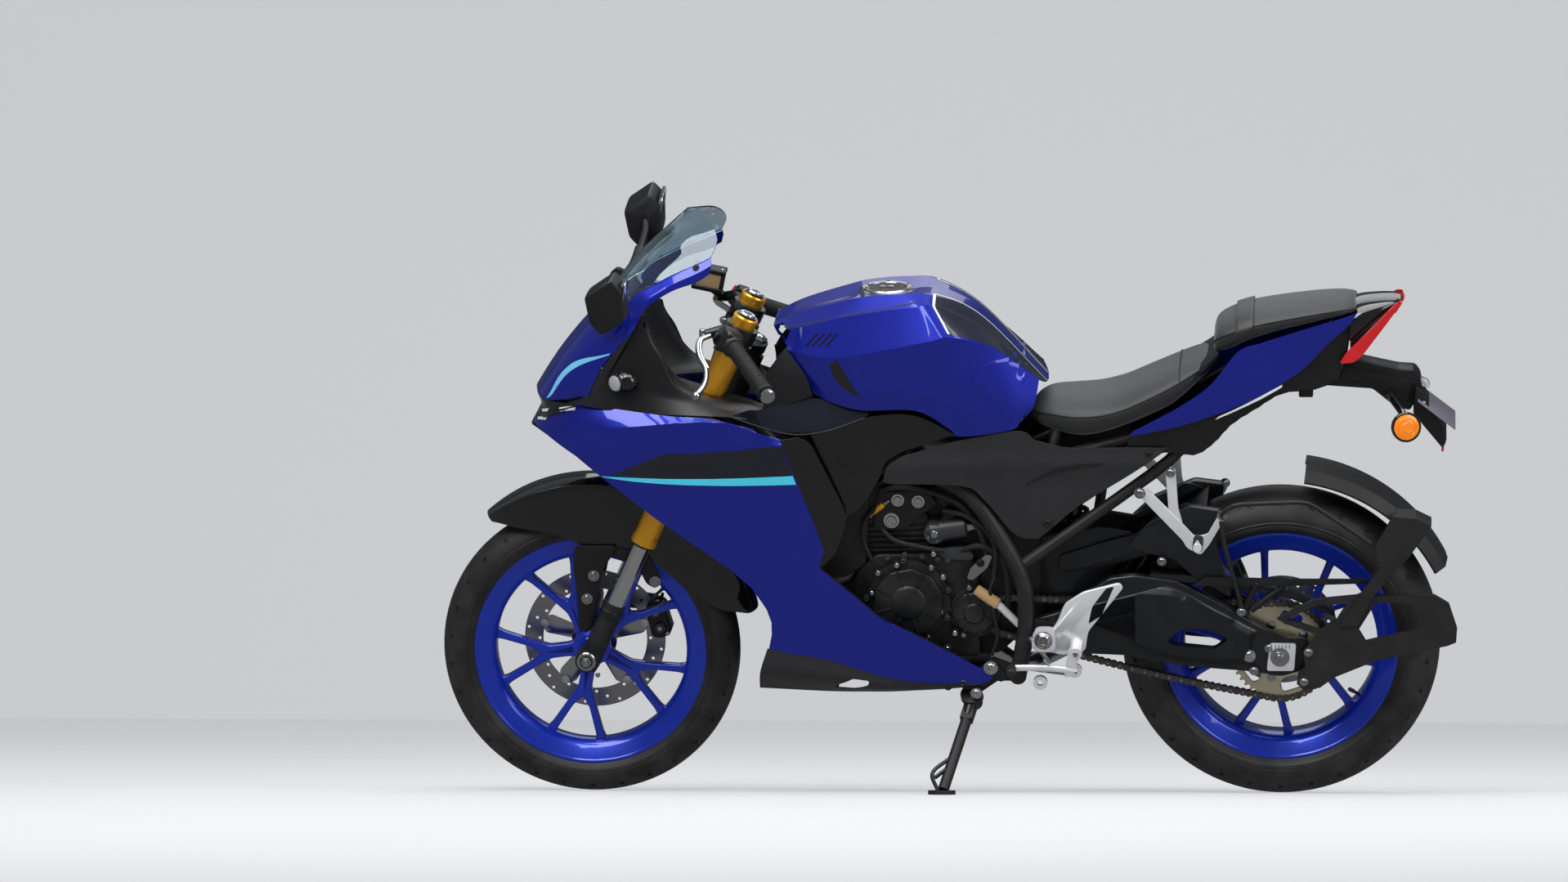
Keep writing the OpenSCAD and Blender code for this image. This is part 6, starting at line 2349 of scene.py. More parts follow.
@dataclass
class Engine:
    """The engine with its covers, bolts, pipes and the parts round it."""

    left: float = -98.0

    def cover(self, piece: Piece, x: float, z: float, r: float, depth: float, bolts: int, y: float) -> None:
        """A faceted round cover with ribs and bolts on the left side.

        Args:
            piece: the piece it is added to.
            x: its centre along the machine.
            z: its height.
            r: its radius.
            depth: how far it stands out.
            bolts: how many bolts hold it.
            y: the face it stands on.
        """
        place = across(x, z, y)
        piece.prism([(r * math.cos(a), r * math.sin(a)) for a in (math.tau * k / 14 for k in range(14))], -4,
            depth * 0.45, place, 3)
        inner = r * 0.84
        piece.prism([(inner * math.cos(a),
            inner * math.sin(a)) for a in (math.tau * k / 10 + 0.2 for k in range(10))], depth * 0.3, depth, place, 5,
            segments=3)
        piece.lathe([(0, depth + 5), (r * 0.34, depth + 5), (r * 0.40, depth + 2), (r * 0.44, depth - 3),
            (0, depth - 3)], place, 36)
        for k in range(8):
            turn = place @ Matrix.Rotation(math.tau * k / 8 + 0.3, 4, "Z")
            piece.box((r * 0.42, 4.5, 5), turn @ Matrix.Translation((r * 0.60, 0, depth)), 1.2)
        for k in range(bolts):
            a = math.tau * (k + 0.4) / bolts
            p = (x + r * 0.98 * math.cos(a), y - depth * 0.45, z + r * 0.98 * math.sin(a))
            piece.rod((p[0], y + 6, p[2]), (p[0], p[1] - 1, p[2]), 8)
            piece.bolt(p, (0, -1, 0), 5.2, STEEL if k % 2 else ENGINE_GREY, washer=False)

    def build(self) -> None:
        """Builds the engine and everything round it."""
        piece = Piece("engine_visual", ENGINE_BLACK)
        piece.slab(rounded([(-150, 330), (-150, 470), (-110, 510), (60, 512), (94, 488), (94, 302), (-70, 302)], 12),
            -97, 97, 5, segments=3)
        piece.slab(rounded([(86, 492), (112, 480), (160, 430), (162, 330), (130, 302), (86, 302)], 10), -72, 97, 4)
        piece.slab(rounded([(-138, 500), (-152, 560), (-8, 592), (10, 505)], 8), -84, 84, 4)
        piece.slab(rounded([(-152, 560), (-172, 640), (-28, 672), (-8, 592)], 8), -88, 88, 5)
        piece.slab(rounded([(-168, 644), (-172, 662), (-150, 682), (-52, 694), (-30, 676)], 8), -76, 76, 6,
            segments=3)
        for k in range(5):
            z = 514 + 11 * k
            piece.slab(rounded([(-143 - 2 * k, z), (-143 - 2 * k, z + 4), (13 - 4 * k, z + 8), (13 - 4 * k, z + 4)],
                1), -90, 90, 0.8)
        self.cover(piece, -45, 418, 84, 26, 9, self.left)
        self.cover(piece, 84, 394, 52, 18, 5, self.left + 4)
        for x, z, r, s in ((-30, 400, 92, 30), (80, 400, 56, 20)):
            place = across(x, z, 97) @ Matrix.Rotation(math.pi, 4, "X")
            piece.lathe([(0, s + 8), (r * 0.4, s + 8), (r * 0.5, s), (r * 0.86, s), (r * 0.95, s - 4), (r, s - 12),
                (r, -2), (0, -2)], place, 40)
            for k in range(8):
                a = math.tau * k / 8
                piece.bolt((x + r * math.cos(a), 97 + s - 14, z + r * math.sin(a)), (0, 1, 0), 5, STEEL, washer=False)
        piece.slab(rounded([(-168, 372), (-150, 372), (-128, 446), (-140, 470), (-168, 440)], 6), -86, -40, 4)
        piece.rod((-168, -50, 392), (-206, -50, 384), 33, 31, GLOSS_BLACK, 28, 5)
        for k in range(5):
            a = -0.5 + 0.42 * k
            p = Vector((-45 + 70 * math.sin(a) * 1.2, self.left - 6, 505 + 5 * math.cos(a * 3)))
            piece.rod(tuple(p), tuple(p + Vector((0, 14, 0))), 6, finish=ENGINE_GREY)
        piece.make(["engine"], angle=34)
        self.upper()
        self.pipes()
        self.radiator()

    def upper(self) -> None:
        """The intake, starter motor, brackets and bright bolts above the crankcase."""
        part = Piece("engine_upper_parts", ENGINE_GREY)
        part.rod((-6, -96, 556), (72, -92, 566), 22, 20, ENGINE_GREY, 30, 5)
        part.rod((66, -92, 565), (92, -90, 569), 14, 11, STEEL, 24, 3)
        part.rod((8, -108, 556), (8, -62, 560), 19, 24, ENGINE_GREY, 28, 3)
        part.rod((46, -74, 600), (20, -74, 545), 20, 24, SATIN_BLACK, 28, 3)
        part.prism(circle_outline(0, 0, 21, 20), -3, 3, aimed((8, -108, 556), (8, -120, 556)), 1.2)
        part.rod((8, -112, 556), (8, -120, 556), 7, finish=STEEL)
        for k in range(5):
            a = math.tau * k / 5
            part.bolt((8 + 15 * math.cos(a), -111, 556 + 15 * math.sin(a)), (0, -1, 0), 2.6, STEEL, washer=False)
        part.slab(rounded([(18, 524), (62, 528), (86, 512), (80, 498), (30, 502), (10, 512)], 6), -104, -74, 3)
        plate = rounded([(-112, 560), (-104, 636), (-6, 640), (14, 612), (-24, 584), (-50, 560)], 10)
        part.slab(plate, -96, -88, 2, SATIN_BLACK)
        for x, z, r in ((-64, 620, 9), (-24, 617, 9), (-77, 579, 11)):
            part.bolt((x, -96, z), (0, -1, 0), r, CHROME)
        for x, z, r in ((6, 515, 5), (-67, 492, 5), (24, 468, 5), (-117, 435, 5), (18, 398, 5), (46, 354, 5),
            (31, 322, 5)):
            part.rod((x, -94, z), (x, -113, z), r + 3, finish=ENGINE_BLACK)
            part.bolt((x, -113, z), (0, -1, 0), r, CHROME, washer=False)
        part.slab(rounded([(70, 466), (82, 462), (112, 488), (122, 512), (110, 516), (78, 488)], 5), -116, -108, 1.6,
            STEEL)
        part.bolt((98, -116, 498), (0, -1, 0), 6, GLOSS_BLACK)
        part.rod((88, -112, 444), (132, -116, 414), 11, 12, TAN, 22, 2)
        part.rod((130, -116, 416), (174, -120, 372), 8, 7, SILVER_CAST, 20, 2)
        part.rod((-118, -92, 592), (-92, -96, 612), 7, 7, GOLD, 18, 1.5)
        part.rod((-92, -96, 612), (-80, -96, 620), 4, finish=STEEL)
        part.ball((-120, -92, 590), (9, 9, 9), finish=STEEL)
        part.slab(rounded([(104, 300), (132, 296), (150, 276), (140, 262), (118, 268), (100, 284)], 5), -142, -132, 2,
            FRAME_BLACK)
        part.bolt((117, -142, 292), (0, -1, 0), 10, CHROME)
        part.bolt((158, -150, 294), (0, -1, 0), 7, CHROME, washer=False)
        part.slab(rounded([(-130, 500), (-120, 655), (90, 665), (150, 640), (235, 520), (240, 345), (170, 320),
            (120, 470)], 14), -66, 66, 6, MATT_BLACK)
        for low, high in ((-92, -86), (86, 92)):
            part.slab(rounded([(-240, 470), (-240, 655), (-118, 655), (-128, 490), (-200, 440)], 12), low, high, 2,
                MATT_BLACK)
        for low, high in ((-72, -66), (66, 72)):
            part.slab(rounded([(215, 345), (215, 540), (330, 560), (400, 548), (356, 470), (300, 396)], 12), low,
                high, 2, FRAME_BLACK)
        part.make()

    def pipes(self) -> None:
        """Short metal and moulded pipes, and the wiring guides beside the engine."""
        part = Piece("engine_pipes", SATIN_BLACK)
        part.tube([(-150, -60, 590), (-190, -84, 584), (-232, -96, 560), (-262, -98, 545)], 13, sides=16)
        part.tube([(-140, -60, 470), (-190, -90, 452), (-240, -96, 462), (-268, -96, 482)], 13, sides=16)
        part.tube([(-100, -96, 640), (-60, -104, 648), (0, -108, 640), (60, -106, 612), (96, -104, 560),
            (112, -104, 500)], 6, RUBBER)
        part.tube([(-96, -92, 560), (-70, -104, 540), (-20, -108, 528), (24, -106, 520)], 5, RUBBER)
        part.tube([(24, -100, 600), (70, -112, 592), (112, -112, 560), (128, -112, 520), (124, -112, 470)], 5, RUBBER)
        part.tube([(60, -100, 520), (100, -110, 530), (140, -104, 500), (150, -100, 440), (146, -98, 380)], 6, RUBBER)
        part.tube([(126, -116, 470), (116, -120, 440), (122, -120, 400), (130, -118, 350), (118, -118, 310)], 3.4,
            RUBBER)
        part.tube([(-104, -96, 606), (-128, -100, 580), (-132, -100, 540), (-118, -98, 500)], 4.4, RUBBER)
        part.slab(rounded([(-10, 640), (92, 656), (110, 628), (60, 590), (30, 596)], 8), -84, 84, 5)
        part.slab(rounded([(-132, 640), (-20, 700), (100, 690), (140, 640), (60, 620), (-40, 680)], 8), -98, 98, 5)
        part.make()

    def radiator(self) -> None:
        """The radiator with its fins and fan shroud."""
        place = Matrix.Translation((-268, 0, 552)) @ Matrix.Rotation(math.radians(12), 4, "Y")
        part = Piece("radiator_visual", SATIN_BLACK)
        part.box((22, 212, 150), place, 2, MATT_GREY)
        for y in (-117, 117):
            part.box((30, 24, 164), place @ Matrix.Translation((0, y, 0)), 5, GLOSS_BLACK, 3)
        for z in (-79, 79):
            part.box((28, 236, 8), place @ Matrix.Translation((0, 0, z)), 2)
        for k in range(24):
            part.box((26, 208, 1.6), place @ Matrix.Translation((0, 0, -70 + 6.1 * k)), 0, STEEL)
        part.lathe([(66, 0), (70, 0), (70, 18), (66, 18), (66, 0)],
            place @ Matrix.Translation((12, 0, 0)) @ turned(Vector((1, 0, 0))), 40)
        part.rod((-262, 80, 648), (-262, 80, 660), 16, finish=STEEL)
        part.make(["radiator"])
        liner = Piece("fairing_liners", MATT_BLACK)
        lines = SideFairings().lines()[3:10]
        liner.skin(side_sheet(lines, lambda x, z: fairing_half(x, z) - 9), 36, 18)
        liner.mirror()
        liner.make(wall=1.5)


@dataclass
class Exhaust:
    """The header pipes, the collector and the silencer on the right."""

    a: Point = (296.0, 196.0, 272.0)
    b: Point = (604.0, 196.0, 404.0)

    def build(self) -> None:
        """Builds the exhaust."""
        piece = Piece("exhaust_visual", EXHAUST)
        for y in (-42, 42):
            piece.tube([(-186, y, 600), (-212, y, 580), (-226, y, 540), (-223, y, 430), (-200, y * 0.8, 330),
                (-172, y * 0.4, 288)], 17, STEEL, 20)
        piece.tube([(-186, 0, 284), (-140, 20, 277), (60, 70, 279), (104, 78, 277), (130, 88, 255), (152, 98, 238),
            (190, 112, 236), (250, 165, 250), (306, 196, 276)], 18, STEEL, 24)
        shell = [
            (0, 0), (22, 0), (26, 6), (30, 10), (44, 34), (52, 56), (53.5, 70), (54, 76), (54, 296), (52.5, 300),
            (47, 318),
            (42, 332), (34, 336), (27, 334), (26, 328), (26, 288), (0, 288),
        ]
        piece.turn(self.a, self.b, shell, EXHAUST, 56)
        for s in (74, 296):
            piece.turn(self.a, self.b, [(54, s - 5), (55.6, s - 4), (55.6, s + 4), (54, s + 5)], STEEL, 56)
        direction = (Vector(self.b) - Vector(self.a)).normalized()
        guard = Matrix.Translation(tuple(Vector(self.a) + direction * 185)) @ turned(direction)
        piece.lathe([(57, -95), (59.5, -92), (59.5, 92), (57, 95), (56, 92), (56, -92), (57, -95)],
            guard @ Matrix.Rotation(math.radians(-40), 4, "Z"), 24, SATIN_BLACK, math.radians(150))
        for s in (-80, 80):
            piece.bolt(tuple(guard @ Vector((0, 59, s))), (0, 1, 0), 6, STEEL)
        piece.slab(rounded([(500, 410), (520, 404), (560, 560), (548, 566)], 5), 128, 136, 1.5, FRAME_BLACK)
        piece.rod((530, 132, 420), (524, 160, 392), 8)
        piece.make(["exhaust"])


@dataclass
class Chassis:
    """The swingarm, the footrests, the stand and the brackets about the rear wheel."""

    rear: Flat = (684.0, 313.0)

    def build(self) -> None:
        """Builds the lower rear of the machine."""
        self.swingarm()
        self.footrests()
        self.hangers()
        self.guards()
        self.shock()
        self.stand()

    def swingarm(self) -> None:
        """The box-section swingarm with its adjusters and axle ends."""
        piece = Piece("swingarm_visual", FRAME_BLACK)
        outline = rounded(
            [(206, 322), (206, 388), (250, 400), (350, 470), (400, 476), (486, 463), (560, 424), (644, 374),
            (690, 350),
             (736, 346), (748, 320), (734, 284), (686, 270), (627, 280), (500, 290), (386, 312), (240, 318)], 9, 3,
        )
        piece.slab(outline, -125, -99, 5, segments=3, taper=0)
        raised = rounded([(400, 338), (400, 440), (470, 436), (560, 396), (628, 352), (620, 306), (500, 306)], 12, 3)
        piece.slab(raised, -129, -120, 3)
        piece.mirror()
        cut = Piece("cut", FRAME_BLACK)
        cut.slab(rounded([(462, 344), (492, 368), (540, 368), (584, 348), (556, 326), (476, 334)], 7), -160, -60, 0)
        cut.mirror()
        piece.slab(rounded([(240, 345), (240, 388), (262, 400), (326, 430), (332, 420), (332, 330)], 8), -70, 102, 4)
        x, z = 222, 352
        piece.turn((x, -164, z), (x, 164, z),
            [(0, 0), (13, 0), (15, 3), (15, 9), (9, 9), (9, 319), (15, 319), (15, 325), (13, 328), (0, 328)], STEEL,
            24)
        gusset = rounded([(385, 534), (430, 576), (512, 612), (572, 604), (560, 540), (590, 430), (516, 472),
            (478, 508), (427, 520)], 8)
        brace = rounded([(250, 470), (250, 505), (330, 530), (400, 548), (440, 576), (496, 612), (530, 604),
            (540, 560), (480, 520), (330, 480)], 10)
        for outline, low, high in ((gusset, -124, -90), (brace, -86, -77)):
            piece.slab(outline, low, high, 3)
            piece.slab(outline, -high, -low, 3)
        arch = across(self.rear[0], self.rear[1]) @ Matrix.Rotation(math.radians(116), 4, "Z")
        piece.lathe([(321, -82), (325, -82), (325, 82), (321, 82), (321, -82)], arch, 24, FRAME_BLACK,
            math.radians(40))
        piece.make(["swingarm"], holes=cut, angle=34)
        ends = Piece("axle_fittings", SILVER_CAST)
        x, z = self.rear
        for side in (-1, 1):
            face = 126 * side
            ends.slab(rounded([(658, 284), (712, 284), (716, 340), (664, 340)], 6), min(face, face + 7 * side),
                max(face, face + 7 * side), 1.6)
            p = (x, face + 7 * side, z)
            ends.bolt(p, (0, side, 0), 13, STEEL, socket=False, high=10)
            ends.turn(p, (x, p[1] + 10 * side, z), [(0, 0), (19, 0), (19, 3), (17, 4), (0, 4)], STEEL)
            ends.turn((x, p[1] + 9 * side, z), (x, p[1] + 20 * side, z),
                [(8, 0), (8, 6), (7, 8), (4, 8), (4, 3), (0, 3)], STEEL)
            ends.bolt((x - 60, 125 * side, z), (0, side, 0), 9, CHROME)
            ends.rod((730, 118 * side, 314), (756, 118 * side, 312), 4, finish=STEEL)
            ends.rod((736, 118 * side, 313.5), (742, 118 * side, 313.2), 8, finish=STEEL, steps=6)
            for k in range(6):
                ends.box((1, 2, 8), Matrix.Translation((668 + 7 * k, face + 7.2 * side, 334)), 0, GLOSS_BLACK)
        ends.make(["rear_axle"])

    def footrests(self) -> None:
        """The cast footrest brackets, pegs, heel guards and the gear lever."""
        for side in (-1, 1):
            name = "left" if side < 0 else "right"
            piece = Piece(name + "_footrest", SILVER_CAST)
            bracket = rounded(
                [(198, 336), (202, 372), (240, 376), (252, 396), (264, 428), (300, 452), (372, 471), (380, 461),
                (334, 402),
                 (310, 372), (304, 332), (262, 324)], 9, 3,
            )
            low, high = (-164, -154) if side < 0 else (154, 164)
            piece.slab(bracket, low, high, 2.4, segments=3)
            cut = Piece("cut", SILVER_CAST)
            cut.slab(rounded([(362, 464), (346, 460), (318, 422), (310, 386), (336, 402)], 5), low - 8, high + 8, 0)
            piece.slab(rounded([(204, 330), (204, 380), (246, 380), (246, 330)], 14), min(low, high) - 3,
                max(low, high) + 3, 2.5)
            piece.bolt((222, 168 * side, 355), (0, side, 0), 13, STEEL, socket=True)
            piece.make(["footrests"] if side < 0 else [], holes=cut, angle=32)
            peg = Piece(name + "_peg", SILVER_CAST)
            peg.rod((288, 150 * side, 348), (288, 178 * side, 348), 15, 12)
            profile = [(0, 0), (11, 0), (13, 2)]
            for k in range(8):
                profile += [(13, 4 + 7 * k), (11.4, 6 + 7 * k), (11.4, 7.6 + 7 * k), (13, 9.4 + 7 * k)]
            profile += [(13, 62), (11, 65), (0, 65)]
            peg.turn((288, 174 * side, 348), (288, 240 * side, 348), profile, SILVER_CAST, 24)
            peg.rod((288, 240 * side, 348), (288, 244 * side, 344), 6, 4, STEEL)
            if side < 0:
                peg.tube([(283, -169, 293), (250, -170, 298), (210, -170, 300), (170, -171, 300), (158, -172, 299)],
                    6.4)
                peg.rod((160, -168, 299), (160, -214, 299), 9.5, finish=RUBBER, edge=3)
                peg.tube([(270, -168, 288), (240, -162, 290), (200, -150, 292), (168, -140, 294)], 4.4, STEEL)
                for x, z in ((215, 268), (283, 293)):
                    peg.turn((x, -156, z), (x, -170, z), [(6, 0), (14, 0), (14, 12), (6, 12), (6, 0)], SILVER_CAST,
                        24)
                peg.slab(rounded([(262, 280), (280, 284), (298, 338), (272, 342)], 6), -173, -164, 2)
                peg.rod((235, -170, 310), (182, -140, 368), 4.6, finish=STEEL)
                peg.rod((226, -167, 320), (234, -170, 311), 7, finish=STEEL, steps=6)
            else:
                peg.tube([(270, 170, 330), (240, 171, 300), (200, 172, 290), (160, 172, 296)], 6.4)
                peg.slab(rounded([(150, 288), (184, 288), (184, 304), (150, 304)], 4), 158, 186, 2)
            peg.make()

    def hangers(self) -> None:
        """The silver passenger footrest hangers and the pegs on them."""
        piece = Piece("passenger_hangers", SILVER_CAST)
        long_arm = rounded([(404, 644), (428, 650), (491, 586), (519, 555), (544, 560), (566, 600), (580, 606),
            (577, 590), (548, 540), (530, 517), (502, 533), (496, 546)], 7, 3)
        piece.slab(long_arm, -128, -119, 2.2, segments=3)
        piece.slab(rounded([(462, 688), (482, 692), (487, 612), (496, 580), (484, 576), (468, 606)], 6), -127, -119,
            2)
        piece.bolt((412, -128, 643), (0, -1, 0), 8, STEEL)
        piece.bolt((472, -127, 684), (0, -1, 0), 7, STEEL)
        piece.bolt((572, -128, 598), (0, -1, 0), 7, STEEL)
        piece.rod((524, -122, 545), (524, -150, 548), 11, 11)
        piece.box((20, 72, 16), Matrix.Translation((526, -170, 552)), 5, RUBBER, 3)
        piece.rod((524, -136, 549), (526, -208, 553), 9, 9, SILVER_CAST)
        piece.mirror()
        piece.make()

    def guards(self) -> None:
        """Details on the sari guard, the mudguards, the rails and the chain cover."""
        piece = Piece("guard_fittings", STEEL)
        for x, z in ((740, 326), (731, 266), (686, 310), (663, 330), (609, 404), (454, 506), (633, 284), (896, 520),
            (892, 560)):
            piece.bolt((x, -146 if x > 700 else -131, z), (0, -1, 0), 6.5, STEEL if x < 880 else MATT_BLACK)
        piece.make()
        cover = Piece("chain_guard_visual", SATIN_BLACK)
        cover.slab(rounded([(430, 478), (520, 474), (700, 442), (790, 402), (792, 392), (700, 430), (520, 460),
            (430, 464)], 4), -122, -74, 2.5)
        cover.slab(rounded([(512, 456), (538, 474), (700, 470), (858, 470), (862, 462), (700, 456)], 3), -131, -124,
            1.4)
        for a in ((609, 398), (612, 400)):
            cover.rod((a[0], -122, a[1]), (640, -126, 462), 6.5)
        cover.rod((627, -122, 404), (694, -124, 456), 6.5)
        cover.make(["chain_guard"])

    def shock(self) -> None:
        """The rear shock absorber with its coil spring and reservoir."""
        p, q = Vector((318, 0, 432)), Vector((242, 0, 690))
        piece = Piece("shock_absorber_visual", GLOSS_BLACK)
        along = (q - p).normalized()
        side = Vector((0, 1, 0))
        third = along.cross(side)
        length = (q - p).length
        coil = []
        for k in range(7 * 14 + 1):
            a = math.tau * k / 14
            s = lerp(0.16, 0.84, k / (7 * 14)) * length
            c = p + along * s + (side * math.cos(a) + third * math.sin(a)) * 26
            coil.append(tuple(c))
        piece.tube(coil, 5.6, SATIN_BLACK, 12, len(coil) - 1)
        piece.turn(tuple(p), tuple(q),
            [(0, 14), (9, 14), (9, 60), (17, 62), (30, 38), (32, 40), (32, 46), (17, 50), (17, 150), (22, 152),
            (32, 236), (32, 242), (20, 248), (14, 256), (0, 256)], GLOSS_BLACK, 32)
        for c in (p, q):
            piece.rod(tuple(c - side * 17), tuple(c + side * 17), 14, finish=STEEL, edge=2)
        piece.make(["shock_absorber"])

    def stand(self) -> None:
        """The side stand's foot, pivot plates and spring."""
        piece = Piece("side_stand_visual", FRAME_BLACK, "side_stand")
        top = Vector((79, -112, 216))
        foot = Vector((26, -288, 76))
        piece.rod(tuple(top + Vector((2, -4, 10))), tuple(top.lerp(foot, 0.16)), 15, 12)
        piece.rod(tuple(top.lerp(foot, 0.10)), tuple(top.lerp(foot, 0.94)), 11, 10)
        piece.ball(tuple(top + Vector((2, -6, 10))), (20, 11, 20))
        piece.rod(tuple(top.lerp(foot, 0.72) + Vector((-4, -4, 2))),
            tuple(top.lerp(foot, 0.80) + Vector((-26, -4, -4))), 4)
        piece.tube([tuple(top.lerp(foot, 0.62) + Vector((-6, -2, 2))),
            tuple(top.lerp(foot, 0.80) + Vector((-30, -4, 6))), tuple(top.lerp(foot, 0.96) + Vector((-10, -2, 0)))],
            4)
        piece.make()
        spring = Piece("stand_bracket_fittings", STEEL)
        spring.bolt((88, -142, 240), (0, -1, 0), 8, CHROME)
        spring.make()


CAD_FINISHES = {n: MATT_BLACK for n in frame["nodes"]}
CAD_FINISHES.update(
    fuel_tank=BLUE, tail_panels=BLUE, nose_fairing=BLUE, side_fairings=BLUE, windscreen=SCREEN, headlight=LENS,
    fork_outer_tubes=GOLD, fork_inner_tubes=CHROME, footrests=SILVER_CAST, front_disc=DISC_STEEL,
    rear_disc=DISC_STEEL, rear_sprocket=SPROCKET_GOLD, drive_chain=CHAIN_STEEL, side_covers=MATT_GREY,
    turn_signals=AMBER, tail_light=RED_LENS, rider_seat=SEAT, pillion_seat=SEAT, exhaust=EXHAUST,
    rear_axle=STEEL, inner_panels=GLOSS_BLACK, front_mudguard=GLOSS_BLACK, engine=ENGINE_BLACK,
)
PARTS = [FRONT, REAR, SideFairings(), Nose(), Tank(), Seats(), Tail(), Mirrors(), LowerPanels(), Steering(), Brakes(),
    Drive(), Engine(), Exhaust(), Chassis()]


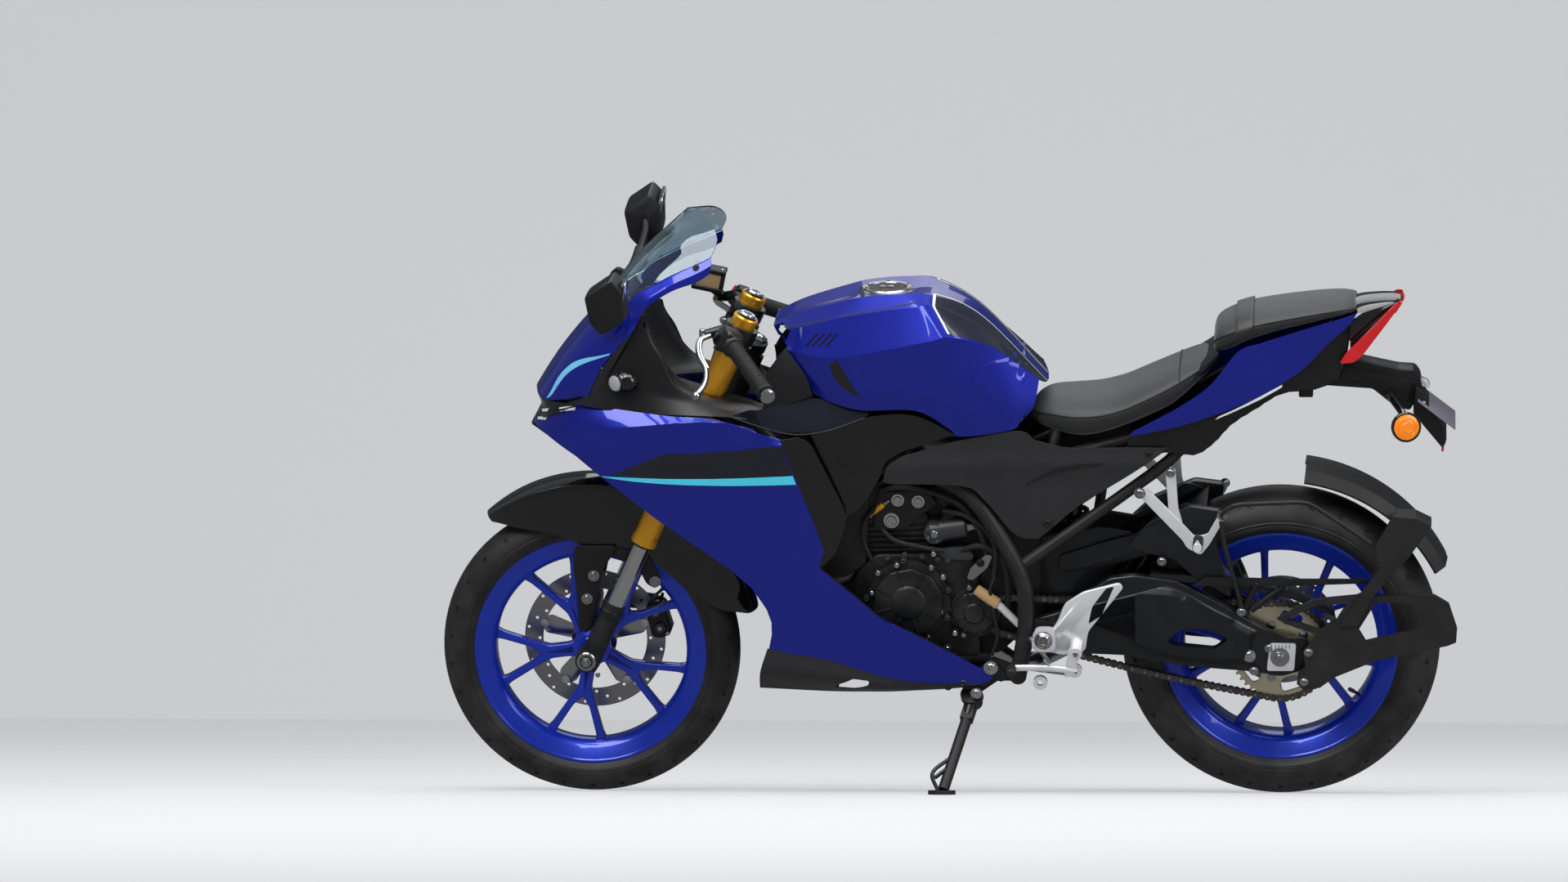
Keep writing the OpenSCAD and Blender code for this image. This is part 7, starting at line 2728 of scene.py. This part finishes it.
def light_and_camera() -> None:
    """The plain studio: floor, backdrop, soft lamps, world and camera."""
    scene = bpy.context.scene
    scene.view_settings.view_transform = "Standard"
    pale = bpy.data.materials.new("pale_studio")
    pale.use_nodes = True
    tree = pale.node_tree
    shader = tree.nodes["Principled BSDF"]
    shader.inputs["Base Color"].default_value = (0.72, 0.73, 0.74, 1)
    shader.inputs["Roughness"].default_value = 0.75
    grain = noise(tree, tree.nodes.new("ShaderNodeTexCoord").outputs["Object"], 3.0, 4.0)
    rough = calc(tree, "MULTIPLY_ADD", grain, 0.2)
    rough.node.inputs[2].default_value = 0.65
    tree.links.new(rough, shader.inputs["Roughness"])
    glow = tree.nodes.new("ShaderNodeEmission")
    glow.inputs["Color"].default_value = (0.90, 0.91, 0.93, 1)
    glow.inputs["Strength"].default_value = 1.0
    seen_directly = tree.nodes.new("ShaderNodeLightPath")
    both = tree.nodes.new("ShaderNodeMixShader")
    share = calc(tree, "MULTIPLY", seen_directly.outputs["Is Camera Ray"], 0.52)
    tree.links.new(share, both.inputs[0])
    tree.links.new(shader.outputs[0], both.inputs[1])
    tree.links.new(glow.outputs[0], both.inputs[2])
    split = tree.nodes.new("ShaderNodeSeparateXYZ")
    tree.links.new(tree.nodes.new("ShaderNodeTexCoord").outputs["Object"], split.inputs[0])
    height = calc(tree, "MULTIPLY", split.outputs["Z"], 0.8, clamp=True)
    reflected = tree.nodes.new("ShaderNodeEmission")
    shade = tree.nodes.new("ShaderNodeMix")
    shade.data_type = "RGBA"
    shade.inputs["A"].default_value = (0.18, 0.18, 0.18, 1)
    shade.inputs["B"].default_value = (0.05, 0.06, 0.07, 1)
    tree.links.new(height, shade.inputs["Factor"])
    tree.links.new(shade.outputs["Result"], reflected.inputs["Color"])
    final = tree.nodes.new("ShaderNodeMixShader")
    opaque = calc(tree, "SUBTRACT", 1.0, seen_directly.outputs["Is Transmission Ray"])
    mirrored = calc(tree, "MULTIPLY", seen_directly.outputs["Is Glossy Ray"], opaque)
    tree.links.new(mirrored, final.inputs[0])
    tree.links.new(both.outputs[0], final.inputs[1])
    tree.links.new(reflected.outputs[0], final.inputs[2])
    tree.links.new(final.outputs[0], tree.nodes["Material Output"].inputs["Surface"])
    floor = bpy.data.meshes.new("studio_floor")
    bm = bmesh.new()
    bmesh.ops.create_grid(bm, x_segments=1, y_segments=1, size=9.0)
    back = [e for e in bm.edges if all(v.co.y > 8.9 for v in e.verts)]
    steps = bmesh.ops.extrude_edge_only(bm, edges=back)["geom"]
    bmesh.ops.translate(bm, vec=(0, 3, 9), verts=[g for g in steps if isinstance(g, bmesh.types.BMVert)])
    bmesh.ops.translate(bm, vec=(0, 0, -0.0006), verts=bm.verts)
    bm.to_mesh(floor)
    bm.free()
    floor.materials.append(pale)
    ground = bpy.data.objects.new("studio_floor", floor)
    scene.collection.objects.link(ground)

    world = bpy.data.worlds.new("studio_world")
    scene.world = world
    world.use_nodes = True
    nodes, links = world.node_tree.nodes, world.node_tree.links
    plain = nodes["Background"]
    plain.inputs["Color"].default_value = (0.86, 0.90, 0.96, 1)
    plain.inputs["Strength"].default_value = 0.16
    white = nodes.new("ShaderNodeBackground")
    white.inputs["Color"].default_value = (0.93, 0.94, 0.96, 1)
    white.inputs["Strength"].default_value = 1.0
    path = nodes.new("ShaderNodeLightPath")
    seen = nodes.new("ShaderNodeMath")
    seen.operation = "MAXIMUM"
    links.new(path.outputs["Is Camera Ray"], seen.inputs[0])
    links.new(path.outputs["Is Transmission Ray"], seen.inputs[1])
    mix = nodes.new("ShaderNodeMixShader")
    links.new(seen.outputs[0], mix.inputs[0])
    links.new(plain.outputs[0], mix.inputs[1])
    links.new(white.outputs[0], mix.inputs[2])
    links.new(mix.outputs[0], nodes["World Output"].inputs["Surface"])

    def lamp(name: str, where: Point, size: float, power: float, aim: Point = (0, 0, 0.6)) -> None:
        """One square soft lamp."""
        data = bpy.data.lights.new(name, "AREA")
        data.size = size
        data.energy = power
        obj = bpy.data.objects.new(name, data)
        scene.collection.objects.link(obj)
        obj.location = where
        obj.rotation_euler = (Vector(aim) - Vector(where)).to_track_quat("-Z", "Y").to_euler()

    lamp("key_lamp", (-1.6, -3.4, 4.6), 3.4, 215)
    lamp("top_lamp", (0.4, -0.6, 4.8), 3.6, 140)
    lamp("rear_lamp", (3.6, -2.0, 2.6), 2.6, 65)
    lamp("far_lamp", (0.0, 5.0, 5.0), 3.0, 22)

    eye = bpy.data.cameras.new("camera")
    eye.lens = 185.7
    eye.sensor_width = 36.0
    camera = bpy.data.objects.new("camera", eye)
    scene.collection.objects.link(camera)
    turn, tilt, roll = math.radians(-4.56), math.radians(1.07), math.radians(0.11)
    view = Vector((math.sin(turn) * math.cos(tilt), math.cos(turn) * math.cos(tilt), math.sin(tilt)))
    side = Vector((math.cos(turn), -math.sin(turn), 0))
    up = side.cross(view)
    right = side * math.cos(roll) + up * math.sin(roll)
    up = up * math.cos(roll) - side * math.sin(roll)
    camera.matrix_world = Matrix((
        (right.x, up.x, -view.x, LAYOUT.origin[0] + 0.975),
        (right.y, up.y, -view.y, LAYOUT.origin[1] - 16.092),
        (right.z, up.z, -view.z, 0.395),
        (0, 0, 0, 1),
    ))
    scene.camera = camera


def paint_frame() -> None:
    """Gives each CAD node that stays in view its own material."""
    for name, finish in CAD_FINISHES.items():
        node = frame["nodes"][name]
        if node.hide_render:
            continue
        node.data.materials.clear()
        node.data.materials.append(finish.material())


def main() -> None:
    """Builds every sub-assembly in order."""
    for part in PARTS:
        log.info("building %s", type(part).__name__)
        part.build()
    paint_frame()
    light_and_camera()


if __name__ == "__main__":
    main()
